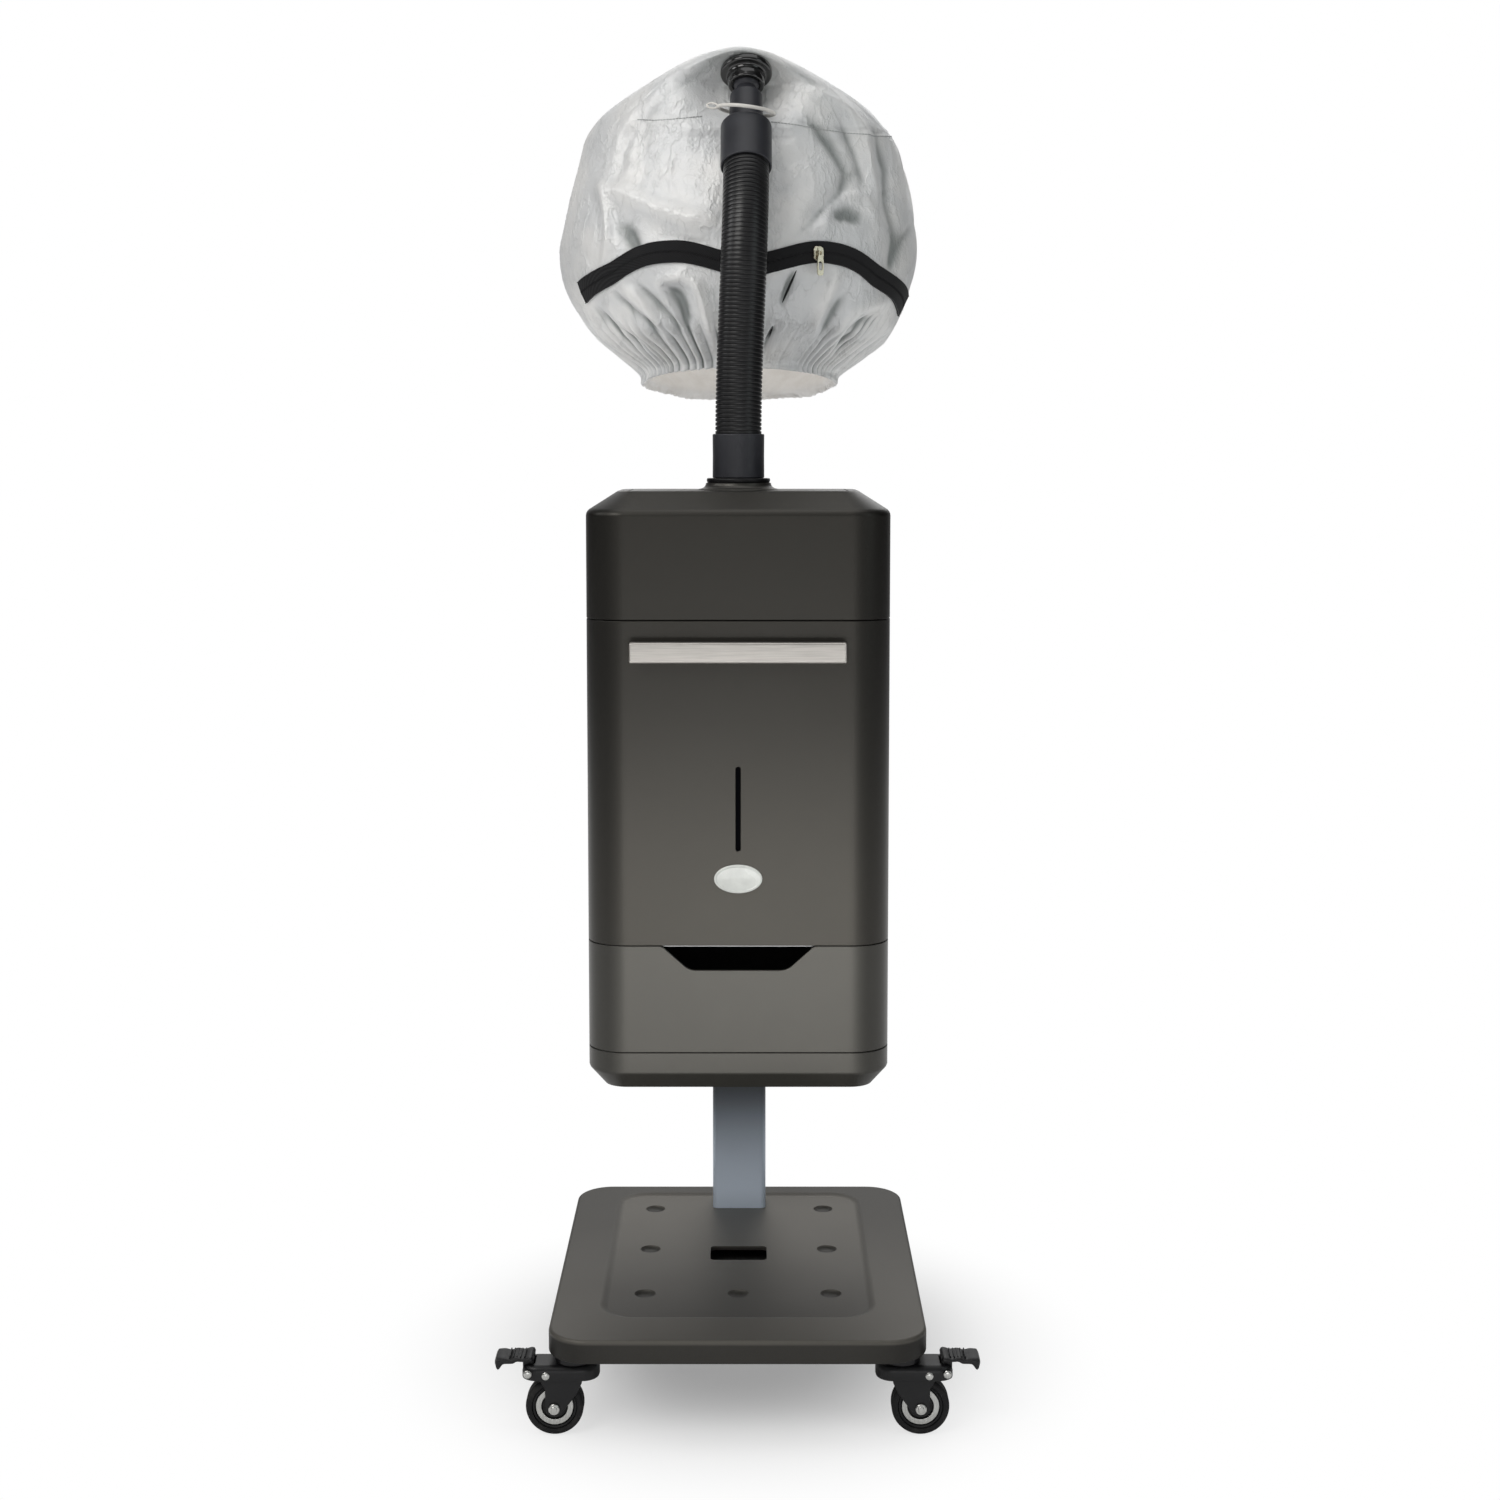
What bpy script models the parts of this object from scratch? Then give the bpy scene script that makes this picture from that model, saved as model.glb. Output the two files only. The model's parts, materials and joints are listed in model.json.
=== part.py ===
"""Hood hair dryer on a wheeled stand, modelled as separate pieces (metres, +Z up).

The machine's front looks along -Y.  A gunmetal cabinet is bolted to a column that stands on a
four-caster base.  A ribbed hose rises from the cabinet's top and carries a gathered cloth hood,
which hangs behind the machine, over the client's seat.
"""
import math

import bmesh
import bpy
from mathutils import Matrix, Vector

# ---------------------------------------------------------------- driving dimensions (metres)
GAP = 0.0003            # seat clearance between pieces that touch
SLIDE = 0.0006          # running clearance of pieces that slide or turn
SEAM = 0.0008           # visible joint between two covers
SWELL = 0.006           # how far a cutter runs past the face that it cuts

# base
BASE_W, BASE_D, BASE_R = 0.410, 0.490, 0.043
BASE_Y = -0.137         # middle of the base
DECK_TOP = 0.121
DECK_H = 0.026
DECK_WALL, DECK_SKIN, DECK_EDGE = 0.004, 0.008, 0.004
PANEL_SIDE, PANEL_FRONT, PANEL_BACK = 0.052, 0.063, 0.024
PANEL_R, PANEL_SINK, PANEL_SLOPE = 0.040, 0.003, 0.003
DIMPLE_R, DIMPLE_DEPTH = 0.012, 0.0018
DIMPLE_PITCH_X, DIMPLE_PITCH_Y, DIMPLE_FIRST = 0.105, 0.137, 0.139
CHASSIS_T = 0.005

# column
COLUMN_W, COLUMN_D, COLUMN_R, COLUMN_WALL = 0.066, 0.044, 0.006, 0.003
COLUMN_FROM_BACK = 0.052    # base back edge to the column's middle
SPARE_FROM_FRONT = 0.263    # base front edge to the middle of the spare column socket
COLUMN_TOP = 0.800
BOLT_R, BOLT_HEAD_R, BOLT_HEAD_T, BOLT_DROP = 0.004, 0.008, 0.005, 0.060

# casters, in a frame whose origin is the kingpin and whose wheel trails along +X
CASTER_INSET_X, CASTER_INSET_Y = 0.027, 0.047
TRAIL = 0.021
WHEEL_R, WHEEL_W, TYRE_T = 0.0315, 0.022, 0.0075
HUB_R, RIM_LIP, DISC_T = 0.009, 0.003, 0.006
AXLE_R, NUT_R, NUT_T = 0.004, 0.006, 0.004
STEM_R = 0.006
CUP_R, CUP_H = 0.021, 0.0105
FOOT_W, FOOT_R, FOOT_T = 0.044, 0.008, 0.003
CROWN_IN, CROWN_OUT, CROWN_W, CROWN_H = 0.028, 0.058, 0.040, 0.017
LEG_T, LEG_W = 0.003, 0.026
PEDAL_REACH, PEDAL_W, PEDAL_T, PEDAL_RISE = 0.085, 0.034, 0.006, 0.0028
PEDAL_PIVOT = 0.049
PEDAL_PIVOT_DROP = 0.008    # pivot below the top of the fork's crown
PEDAL_SWING = 0.0015        # room for the lug's inner corner when the pedal tips
PEDAL_R = 0.006             # corner radius of the tread
FORK_EDGE = 0.002           # soft edge of the fork's crown and of the tyre
TRUNNION_PROUD = 0.001
PEDAL_PIN_R, LUG_W, LUG_L, LUG_DROP = 0.0035, 0.020, 0.012, 0.006

# cabinet
CABINET_W, CABINET_D, CABINET_R, WALL = 0.348, 0.216, 0.045, 0.004
CABINET_FOOT = 0.333        # underside of the bottom tray
FOOT_CHAMFER_H, FOOT_CHAMFER = 0.021, 0.0185
TRAY_H, DRAWER_FRONT_H, TANK_FRONT_H, COVER_H = 0.0454, 0.1246, 0.3727, 0.1450
TOP_CHAMFER_H, TOP_CHAMFER = 0.0217, 0.036
FRONT_RETURN = 0.062        # how far the two fronts wrap round the sides
SHELF_T = 0.004
TOP_PANEL_MARGIN_X, TOP_PANEL_MARGIN_Y, TOP_PANEL_R = 0.011, 0.010, 0.014
TOP_PANEL_T, TOP_GROOVE, COVER_EDGE = 0.003, 0.0015, 0.006

# fronts
BAR_W, BAR_H, BAR_T, BAR_EDGE, BAR_DROP = 0.244, 0.024, 0.012, 0.003, 0.0347
BAR_BOSS_R, BAR_BOSS_X = 0.007, 0.095
BAR_STAND = 0.010           # clear space behind the bar
SIGHT_W, SIGHT_H, SIGHT_UP = 0.0048, 0.096, 0.158
SIGHT_PLATE_W, SIGHT_PLATE_T = 0.016, 0.0025
BADGE_W, BADGE_H, BADGE_T, BADGE_FACE, BADGE_UP = 0.055, 0.033, 0.0025, 0.94, 0.078
NOTCH_TOP_W, NOTCH_FOOT_W, NOTCH_H = 0.173, 0.113, 0.028

# drawer and tank
DRAWER_GAP_SIDE, DRAWER_T, DRAWER_DROP, DRAWER_BACK, DRAWER_R = 0.014, 0.0025, 0.034, 0.012, 0.030
TANK_W, TANK_D, TANK_H, TANK_R, TANK_T = 0.296, 0.150, 0.290, 0.020, 0.003
NECK_R, NECK_H, NECK_T = 0.022, 0.012, 0.003
TANK_CAP_T, TANK_CAP_H, TANK_CAP_EDGE = 0.003, 0.013, 0.002

# air system on the upper shelf
DUCT_R, DUCT_T = 0.0300, 0.0025
ELBOW_W, ELBOW_H = 0.066, 0.066
HEATER_W, HEATER_H, HEATER_L, HEATER_T = 0.052, 0.050, 0.030, 0.002
BLOWER_R, BLOWER_H, BLOWER_T, BLOWER_MOUTH = 0.050, 0.060, 0.003, 0.004
BLOWER_INLET_R, BLOWER_FEET_AT = 0.026, 0.030
IMPELLER_R, IMPELLER_H, IMPELLER_HUB_R, IMPELLER_BLADES = 0.038, 0.036, 0.012, 10
IMPELLER_PLATE_T, BLADE_T, BLADE_L, BLADE_INSET = 0.003, 0.003, 0.010, 0.002
MOTOR_R, MOTOR_H, MOTOR_BOSS_R, MOTOR_BOSS_H, SHAFT_R, SHAFT_UP = 0.017, 0.0098, 0.009, 0.014, 0.003, 0.018
BOARD_W, BOARD_D, BOARD_T, BOARD_X = 0.078, 0.096, 0.002, 0.112
BOARD_FOOT, BOARD_FOOT_R, BOARD_FOOT_INSET = 0.006, 0.004, 0.008
BOARD_PARTS = (             # middle x and y, width, depth and height of what stands on the board
    (-0.018, 0.020, 0.030, 0.034, 0.026), (0.018, 0.026, 0.018, 0.018, 0.022),
    (0.014, -0.018, 0.030, 0.030, 0.012), (-0.022, -0.024, 0.016, 0.024, 0.016),
)

# rear fittings
GRILLE_W, GRILLE_H, GRILLE_T, GRILLE_X, GRILLE_UP = 0.084, 0.064, 0.004, 0.104, 0.0493
GRILLE_SLOTS, GRILLE_SLOT_H = 5, 0.006
INLET_W, INLET_H, INLET_DEPTH, INLET_LIP, INLET_X, INLET_UP = 0.028, 0.022, 0.022, 0.005, -0.104, 0.042
INLET_WALL, INLET_LIP_T, PIN_DROP, PIN_FREE = 0.003, 0.002, 0.002, 0.004
PIN_R, PIN_PITCH = 0.0022, 0.007
ROCKER_W, ROCKER_H, ROCKER_DEPTH, ROCKER_UP = 0.014, 0.022, 0.014, 0.087
ROCKER_PROUD, ROCKER_EDGE, ROCKER_WAIST = 0.004, 0.002, 0.62

# hose and neck: the hose rises, bends back and carries the neck on a leaning axis
LEAN = 30.0                 # degrees, back from upright
BEND_R = 0.240
SIDE_LEAN = 0.009           # how far the hose's top stands to the right of its foot
SOCKET_FOOT_R, SOCKET_BOSS_R, SOCKET_BOSS_H = 0.047, 0.038, 0.0087
SOCKET_LIP_R, SOCKET_LIP_T = 0.037, 0.0048
SPIGOT_R, SPIGOT_T, SPIGOT_H = 0.0210, 0.003, 0.026
MOULDED_EDGE = 0.001        # soft edge of the socket and the cuffs
CUFF_R, CUFF_T, CUFF_H = 0.0302, 0.0027, 0.051
HOSE_R, HOSE_ROOT_R, HOSE_BORE_R = 0.0270, 0.0247, 0.0222
HOSE_PLAIN = 0.050
HOSE_TOP = 1.3962           # where the hose enters the upper cuff
HOSE_RIBS, HOSE_SIDES, NECK_SIDES = 58, 10, 16
UPPER_CUFF_L, UPPER_CUFF_RIM = 0.060, 0.006
NECK_TUBE_R, NECK_BORE_R, NECK_INSERT = 0.0203, 0.009, 0.020
NECK_REACH = 0.0835         # upper cuff's rim to the back of the flange
NECK_TAPER, NECK_STEM_R = 0.009, 0.012
BALL_R, BALL_SEAT, BALL_ROOM, BALL_CUT = 0.0175, 0.016, 0.0010, 0.93
FLANGE_R, FLANGE_T, FLANGE_EDGE = 0.031, 0.009, 0.004
COLLAR_R, COLLAR_L, COLLAR_MOUTH_R = 0.0225, 0.016, 0.0185
FLANGE_SPIGOT_R = 0.0135
FLANGE_LIP_R, FLANGE_LIP_T = 0.020, 0.0035   # grips the cloth from inside
RING_R, RING_WIRE, RING_ROLL, RING_UP, RING_BACK = 0.0335, 0.0022, 7.0, 0.0035, 0.004
EYE_R, EYE_WIRE = 0.0065, 0.0013

# cloth hood, by stations (height, half width, reach of its front, reach of its back); a reach
# is measured backwards from the hose's axis
HOOD_REACH = 0.260          # hose's axis to the hood's middle
HOOD_STATIONS = (
    (1.1370, 0.1270, 0.1380, 0.3820),
    (1.1520, 0.1310, 0.1340, 0.3860),
    (1.1825, 0.1690, 0.1060, 0.4120),
    (1.2135, 0.1970, 0.0850, 0.4330),
    (1.2600, 0.2180, 0.0720, 0.4480),
    (1.3100, 0.2265, 0.0650, 0.4550),
    (1.3700, 0.2190, 0.0720, 0.4480),
    (1.4305, 0.2000, 0.0860, 0.4320),
    (1.4615, 0.1790, 0.0880, 0.4150),
    (1.4925, 0.1440, 0.0820, 0.3860),
    (1.5210, 0.0980, 0.0740, 0.3500),
    (1.5380, 0.0640, 0.0740, 0.3170),
    (1.5470, 0.0340, 0.0840, 0.2700),
)
HOOD_TOP = (1.5500, 0.165)  # height and reach of the crown's middle
CROWN_SHARE, LINING_CROWN_SHARE = 0.45, 0.60    # the crown's last ring as a share of the one before
HOOD_TILT = 0.200           # how steeply the opening drops towards the back
HOOD_TILT_END = 1.260       # height above which nothing is tilted
HOOD_SIDES, HOOD_LINING_SIDES = 44, 22
HOOD_RINGS, LINING_RINGS = 13, 13
HOOD_CLOTH = 0.007
HOOD_MOUTH_CUT = 0.040      # how far the cavity's cutter runs below the rim
HOOD_RELIEF = 0.0055        # clear space between the cloth and the neck
HOOD_PAD = 0.0042           # cloth gathered behind the flange
GATHERS, GATHER_DEPTH, GATHER_TOP = 22, 0.0035, 1.215
FOLDS = (                   # height, angle, height above the floor, slant, length, width in degrees
    (0.004, -33.0, 1.340, 180.0, 0.045, 9.0),
    (-0.006, -40.0, 1.318, 120.0, 0.030, 8.0),
    (-0.005, -14.0, 1.375, -60.0, 0.060, 6.0),
    (0.003, 22.0, 1.380, 160.0, 0.070, 8.0),
    (-0.006, 34.0, 1.345, 120.0, 0.040, 8.0),
    (-0.004, 52.0, 1.400, 90.0, 0.060, 8.0),
    (-0.004, -62.0, 1.400, -90.0, 0.060, 9.0),
    (-0.004, 130.0, 1.360, 100.0, 0.070, 12.0),
    (-0.004, -140.0, 1.330, -80.0, 0.070, 12.0),
)
ZIP_W, ZIP_T, ZIP_LIFT, ZIP_SAG = 0.026, 0.0012, 0.0011, 0.0006
ZIP_FROM, ZIP_TO = -65.5, 81.8
ZIP_LINE = ((-66.0, 1.250), (-45.0, 1.279), (-20.0, 1.303), (2.0, 1.286), (28.0, 1.302),
            (50.0, 1.272), (82.0, 1.233))
PULL_ANGLE, PULL_W, PULL_H, PULL_T, PULL_ABOVE = 24.5, 0.009, 0.030, 0.0025, 0.0032
PULL_HOLE_R, PULL_HOLE_UP = 0.0025, 0.0054
SLIDER_W, SLIDER_H, SLIDER_T = 0.012, 0.016, 0.005

# ---------------------------------------------------------------- places worked out from sizes
DECK_BOTTOM = DECK_TOP - DECK_H
SEAM_TRAY = CABINET_FOOT + TRAY_H
SEAM_DRAWER = SEAM_TRAY + DRAWER_FRONT_H
SEAM_COVER = SEAM_DRAWER + TANK_FRONT_H
CABINET_TOP = SEAM_COVER + COVER_H
BASE_FRONT = BASE_Y - BASE_D / 2
BASE_BACK = BASE_Y + BASE_D / 2
COLUMN_Y = BASE_BACK - COLUMN_FROM_BACK
CABINET_Y = COLUMN_Y - COLUMN_D / 2 - GAP - CABINET_D / 2
CABINET_FRONT = CABINET_Y - CABINET_D / 2
CABINET_BACK = CABINET_Y + CABINET_D / 2
HOSE_Y = CABINET_Y
SHELF_Z = SEAM_DRAWER - SHELF_T / 2
UPPER_SHELF_Z = SEAM_COVER + SEAM / 2 + GAP
UPPER_FLOOR = UPPER_SHELF_Z + SHELF_T + GAP
SOCKET_LIP_Z = CABINET_TOP + GAP + SOCKET_BOSS_H
LOWER_CUFF_Z = SOCKET_LIP_Z + SOCKET_LIP_T + GAP
CROWN_TOP = DECK_BOTTOM - GAP - FOOT_T - CUP_H - SLIDE
PEDAL_PIVOT_Z = CROWN_TOP - PEDAL_PIVOT_DROP
LEAN_RAD = math.radians(LEAN)
BEND_START = HOSE_TOP - BEND_R * math.sin(LEAN_RAD)
NECK_FOOT = Vector((SIDE_LEAN, HOSE_Y + BEND_R * (1 - math.cos(LEAN_RAD)), HOSE_TOP))
NECK_AXIS = Vector((0.0, math.sin(LEAN_RAD), math.cos(LEAN_RAD)))
FLANGE_BACK = UPPER_CUFF_L + NECK_REACH     # along the neck, from the upper cuff's lower rim
BALL_AT = FLANGE_BACK - BALL_SEAT

ARC_STEPS = 4
LEAST_FLAT, LEAST_R = 0.99, 0.0005     # keep a short flat between two corner arcs
WHEEL_SIDES, ROUND_SIDES, PIN_SIDES, GUIDE_SIDES, BADGE_SIDES = 16, 20, 12, 28, 24
TURN = 2 * math.pi

COLOURS = {                 # colour, roughness, metallic
    "gunmetal": ((0.052, 0.048, 0.041), 0.38, 0.55),
    "gunmetal_light": ((0.085, 0.081, 0.072), 0.38, 0.55),
    "column_blue": ((0.165, 0.190, 0.225), 0.35, 0.70),
    "steel": ((0.55, 0.55, 0.54), 0.30, 1.0),
    "zinc": ((0.62, 0.62, 0.60), 0.35, 1.0),
    "black_plastic": ((0.012, 0.012, 0.013), 0.45, 0.0),
    "gloss_black": ((0.006, 0.006, 0.006), 0.12, 0.0),
    "cuff_blue_black": ((0.035, 0.037, 0.044), 0.45, 0.0),
    "tyre": ((0.015, 0.015, 0.015), 0.7, 0.0),
    "satin_bar": ((0.56, 0.53, 0.49), 0.30, 0.8),
    "pale_plate": ((0.78, 0.80, 0.77), 0.30, 0.0),
    "window": ((0.01, 0.012, 0.014), 0.10, 0.0),
    "tank_clear": ((0.55, 0.60, 0.62), 0.15, 0.0),
    "white_plastic": ((0.75, 0.75, 0.73), 0.40, 0.0),
    "grey_plastic": ((0.20, 0.20, 0.20), 0.50, 0.0),
    "mica": ((0.50, 0.42, 0.28), 0.60, 0.0),
    "board_green": ((0.03, 0.14, 0.07), 0.50, 0.0),
    "copper_motor": ((0.40, 0.38, 0.36), 0.35, 0.9),
    "silver_cloth": ((0.62, 0.63, 0.63), 0.42, 0.35),
    "zip_black": ((0.010, 0.010, 0.011), 0.80, 0.0),
    "zip_brass": ((0.60, 0.56, 0.45), 0.30, 0.9),
    "ring_white": ((0.70, 0.69, 0.66), 0.40, 0.1),
}


# ---------------------------------------------------------------- modelling helpers
def clear_scene():
    for thing in list(bpy.data.objects):
        bpy.data.objects.remove(thing, do_unlink=True)


def finish_of(name):
    colour, roughness, metallic = COLOURS[name]
    material = bpy.data.materials.new(name)
    material.use_nodes = True
    shader = material.node_tree.nodes["Principled BSDF"]
    shader.inputs["Base Color"].default_value = (*colour, 1.0)
    shader.inputs["Roughness"].default_value = roughness
    shader.inputs["Metallic"].default_value = metallic
    return material


def place(name, mesh, at=(0, 0, 0), turn=None, parent=None):
    thing = bpy.data.objects.new(name, mesh)
    bpy.context.scene.collection.objects.link(thing)
    thing.parent = parent
    thing.location = at
    if turn is not None:
        thing.rotation_euler = turn
    return thing


def piece(name, mesh, finish, at=(0, 0, 0), turn=None, parent=None, smooth=30.0):
    """One named sub-part with a material of its own."""
    mesh.materials.append(finish_of(finish))
    mesh.shade_smooth()
    mesh.set_sharp_from_angle(angle=math.radians(smooth))
    return place(name, mesh, at, turn, parent)


def helper(mesh, at=(0, 0, 0), turn=None, parent=None):
    """A guide that shapes another piece and isn't part of the object."""
    thing = place("shape_guide", mesh, at, turn, parent)
    thing.hide_render = True
    thing.display_type = 'WIRE'
    return thing


def shape(target, guide, how):
    step = target.modifiers.new(how.lower(), 'BOOLEAN')
    step.operation = how
    step.solver = 'EXACT'
    step.object = guide


def cut(target, mesh, **where):
    shape(target, helper(mesh, **where), 'DIFFERENCE')


def join(target, mesh, **where):
    shape(target, helper(mesh, **where), 'UNION')


def loft(rings, closed=False):
    """A skin through rings of equal count; open ends are capped, or the last ring meets the first."""
    bm = bmesh.new()
    loops = [[bm.verts.new(point) for point in ring] for ring in rings]
    count = len(loops[0])
    pairs = list(zip(loops, loops[1:]))
    if closed:
        pairs.append((loops[-1], loops[0]))
    for low, high in pairs:
        for i in range(count):
            j = (i + 1) % count
            bm.faces.new((low[i], low[j], high[j], high[i]))
    if not closed:
        bm.faces.new(tuple(reversed(loops[0])))
        bm.faces.new(tuple(loops[-1]))
    bmesh.ops.recalc_face_normals(bm, faces=bm.faces[:])
    mesh = bpy.data.meshes.new("mesh")
    bm.to_mesh(mesh)
    bm.free()
    return mesh


def prism(outline, low, high):
    return loft([[(x, y, low) for x, y in outline], [(x, y, high) for x, y in outline]])


def rounded(width, depth, radius, inset=0.0, x=0.0, y=0.0, steps=ARC_STEPS):
    """A rectangle with round corners, or a near circle when the radius is half of both sides."""
    half_w, half_d = width / 2 - inset, depth / 2 - inset
    radius = max(min(radius - inset, LEAST_FLAT * half_w, LEAST_FLAT * half_d), LEAST_R)
    points = []
    for quarter, (sx, sy) in enumerate(((1, 1), (-1, 1), (-1, -1), (1, -1))):
        cx, cy = x + sx * (half_w - radius), y + sy * (half_d - radius)
        for step in range(steps + 1):
            angle = (quarter + step / steps) * math.pi / 2
            points.append((cx + radius * math.cos(angle), cy + radius * math.sin(angle)))
    return points


def at_height(outline, z):
    return [(x, y, z) for x, y in outline]


def box(width, depth, height, x=0.0, y=0.0, z=0.0):
    """A block centred on x and y, standing on z."""
    half_w, half_d = width / 2, depth / 2
    corners = ((x - half_w, y - half_d), (x + half_w, y - half_d),
               (x + half_w, y + half_d), (x - half_w, y + half_d))
    return prism(corners, z, z + height)


def disc(radius, low, high, sides=ROUND_SIDES):
    return turned(((radius, low), (radius, high)), sides)


def turned(profile, sides=ROUND_SIDES, closed=False):
    """A profile of (radius, height) turned about Z; closed for a ring or sleeve."""
    rings = []
    for radius, height in profile:
        rings.append([(radius * math.cos(TURN * i / sides), radius * math.sin(TURN * i / sides), height)
                      for i in range(sides)])
    return loft(rings, closed)


def side_plate(outline, low, high):
    """An outline in X and Z, extruded along Y."""
    return loft([[(x, low, z) for x, z in outline], [(x, high, z) for x, z in outline]])


ALONG_Y = (-math.pi / 2, 0, 0)      # turns a piece's +Z to +Y


# ---------------------------------------------------------------- base
def base_deck():
    plan = (BASE_W, BASE_D, BASE_R)
    inner = rounded(*plan, inset=DECK_WALL)
    panel_w = BASE_W - 2 * PANEL_SIDE
    panel_d = BASE_D - PANEL_FRONT - PANEL_BACK
    panel_y = (PANEL_FRONT - PANEL_BACK) / 2
    panel = rounded(panel_w, panel_d, PANEL_R, y=panel_y)
    floor = rounded(panel_w, panel_d, PANEL_R, inset=PANEL_SLOPE, y=panel_y)
    mesh = loft([
        at_height(inner, DECK_H - DECK_SKIN),
        at_height(inner, 0),
        at_height(rounded(*plan, inset=DECK_EDGE / 2), 0),
        at_height(rounded(*plan), DECK_EDGE / 2),
        at_height(rounded(*plan), DECK_H - DECK_EDGE),
        at_height(rounded(*plan, inset=DECK_EDGE * 0.3), DECK_H - DECK_EDGE * 0.3),
        at_height(rounded(*plan, inset=DECK_EDGE), DECK_H),
        at_height(panel, DECK_H),
        at_height(floor, DECK_H - PANEL_SINK),
    ])
    deck = piece("base_deck", mesh, "gunmetal", at=(0, BASE_Y, DECK_BOTTOM))
    front = -BASE_D / 2
    for from_front in (BASE_D - COLUMN_FROM_BACK, SPARE_FROM_FRONT):
        hole = prism(rounded(COLUMN_W + 2 * GAP, COLUMN_D + 2 * GAP, COLUMN_R, y=front + from_front),
                     0, DECK_H + SWELL)
        cut(deck, hole, at=deck.location)
    for row in range(3):
        for column in (-1, 0, 1):
            if column == 0 and row > 0:
                continue
            x, y = column * DIMPLE_PITCH_X, front + DIMPLE_FIRST + row * DIMPLE_PITCH_Y
            dimple = disc(DIMPLE_R, DECK_H - PANEL_SINK - DIMPLE_DEPTH, DECK_H + SWELL, PIN_SIDES)
            cut(deck, dimple, at=deck.location + Vector((x, y, 0)))


def chassis_plate():
    outline = rounded(BASE_W, BASE_D, BASE_R, inset=DECK_WALL + GAP)
    piece("chassis_plate", prism(outline, 0, CHASSIS_T), "steel", at=(0, BASE_Y, DECK_BOTTOM))


def column():
    foot = DECK_BOTTOM + CHASSIS_T + GAP
    outer = rounded(COLUMN_W, COLUMN_D, COLUMN_R, steps=3)
    bore = rounded(COLUMN_W, COLUMN_D, COLUMN_R, inset=COLUMN_WALL, steps=3)
    mesh = loft([at_height(bore, COLUMN_TOP - COLUMN_WALL), at_height(bore, foot),
                 at_height(outer, foot), at_height(outer, COLUMN_TOP)])
    post = piece("column", mesh, "column_blue", at=(0, COLUMN_Y, 0))
    shank = COLUMN_D / 2
    bolt = turned(((BOLT_HEAD_R, -BOLT_HEAD_T), (BOLT_HEAD_R, 0), (BOLT_R, 0), (BOLT_R, shank)), PIN_SIDES)
    where = {"at": (0, CABINET_BACK - WALL - GAP, COLUMN_TOP - BOLT_DROP), "turn": ALONG_Y}
    piece("column_bolt", bolt, "zinc", **where)
    cut(post, disc(BOLT_R + GAP, 0, shank + SWELL, PIN_SIDES), **where)


# ---------------------------------------------------------------- casters
def fork_leg(side):
    """A plate from the crown to the axle with a round end, on one side of the wheel."""
    inner = WHEEL_W / 2 + SLIDE
    low, high = sorted((side * inner, side * (inner + LEG_T)))
    half = LEG_W / 2
    outline = [(TRAIL + half, CROWN_TOP - CROWN_H / 2), (TRAIL - half, CROWN_TOP - CROWN_H / 2)]
    for step in range(6):
        angle = math.pi + math.pi * step / 5
        outline.append((TRAIL + half * math.cos(angle), WHEEL_R + half * math.sin(angle)))
    return side_plate(outline, low, high)


def caster_fork(name, rig, braked):
    length = CROWN_IN + CROWN_OUT
    middle = (CROWN_OUT - CROWN_IN) / 2
    crown = rounded(length, CROWN_W, CROWN_W / 2, x=middle)
    low = CROWN_TOP - CROWN_H
    soft = rounded(length, CROWN_W, CROWN_W / 2, inset=FORK_EDGE, x=middle)
    mesh = loft([at_height(soft, low), at_height(crown, low + FORK_EDGE),
                 at_height(crown, CROWN_TOP - FORK_EDGE), at_height(soft, CROWN_TOP)])
    fork = piece(name, mesh, "black_plastic", parent=rig)
    for side in (-1, 1):
        join(fork, fork_leg(side), parent=rig)
    join(fork, disc(STEM_R, CROWN_TOP - CROWN_H / 2, CROWN_TOP + CUP_H - SLIDE, PIN_SIDES), parent=rig)
    cut(fork, disc(AXLE_R + GAP, -CROWN_W, CROWN_W, PIN_SIDES), parent=rig,
        at=(TRAIL, 0, WHEEL_R), turn=ALONG_Y)
    if braked:
        slot_l = CROWN_OUT - PEDAL_PIVOT + LUG_L / 2 + PEDAL_SWING
        cut(fork, box(slot_l + SWELL, LUG_W + 2 * SLIDE, CROWN_H + 2 * SWELL,
                      x=CROWN_OUT - slot_l / 2 + SWELL / 2, z=low - SWELL), parent=rig)
        cut(fork, disc(PEDAL_PIN_R + GAP, -CROWN_W, CROWN_W, PIN_SIDES), parent=rig,
            at=(PEDAL_PIVOT, 0, PEDAL_PIVOT_Z), turn=ALONG_Y)


def brake_pedal(name, rig):
    """A foot lever whose lug turns on trunnions in the fork's crown."""
    under = CROWN_TOP + PEDAL_RISE - PEDAL_PIVOT_Z
    start = -LUG_L / 2
    reach = PEDAL_REACH - PEDAL_PIVOT
    tread = rounded(reach - start, PEDAL_W, PEDAL_R, x=(reach + start) / 2, steps=3)
    pedal = piece(name, prism(tread, under, under + PEDAL_T), "black_plastic", parent=rig,
                  at=(PEDAL_PIVOT, 0, PEDAL_PIVOT_Z))
    lug = box(LUG_L, LUG_W, under + LUG_DROP + PEDAL_T / 2, z=-LUG_DROP)
    join(pedal, lug, parent=pedal)
    trunnion = CROWN_W / 2 + TRUNNION_PROUD
    join(pedal, disc(PEDAL_PIN_R, -trunnion, trunnion, PIN_SIDES), parent=pedal, turn=ALONG_Y)


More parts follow.
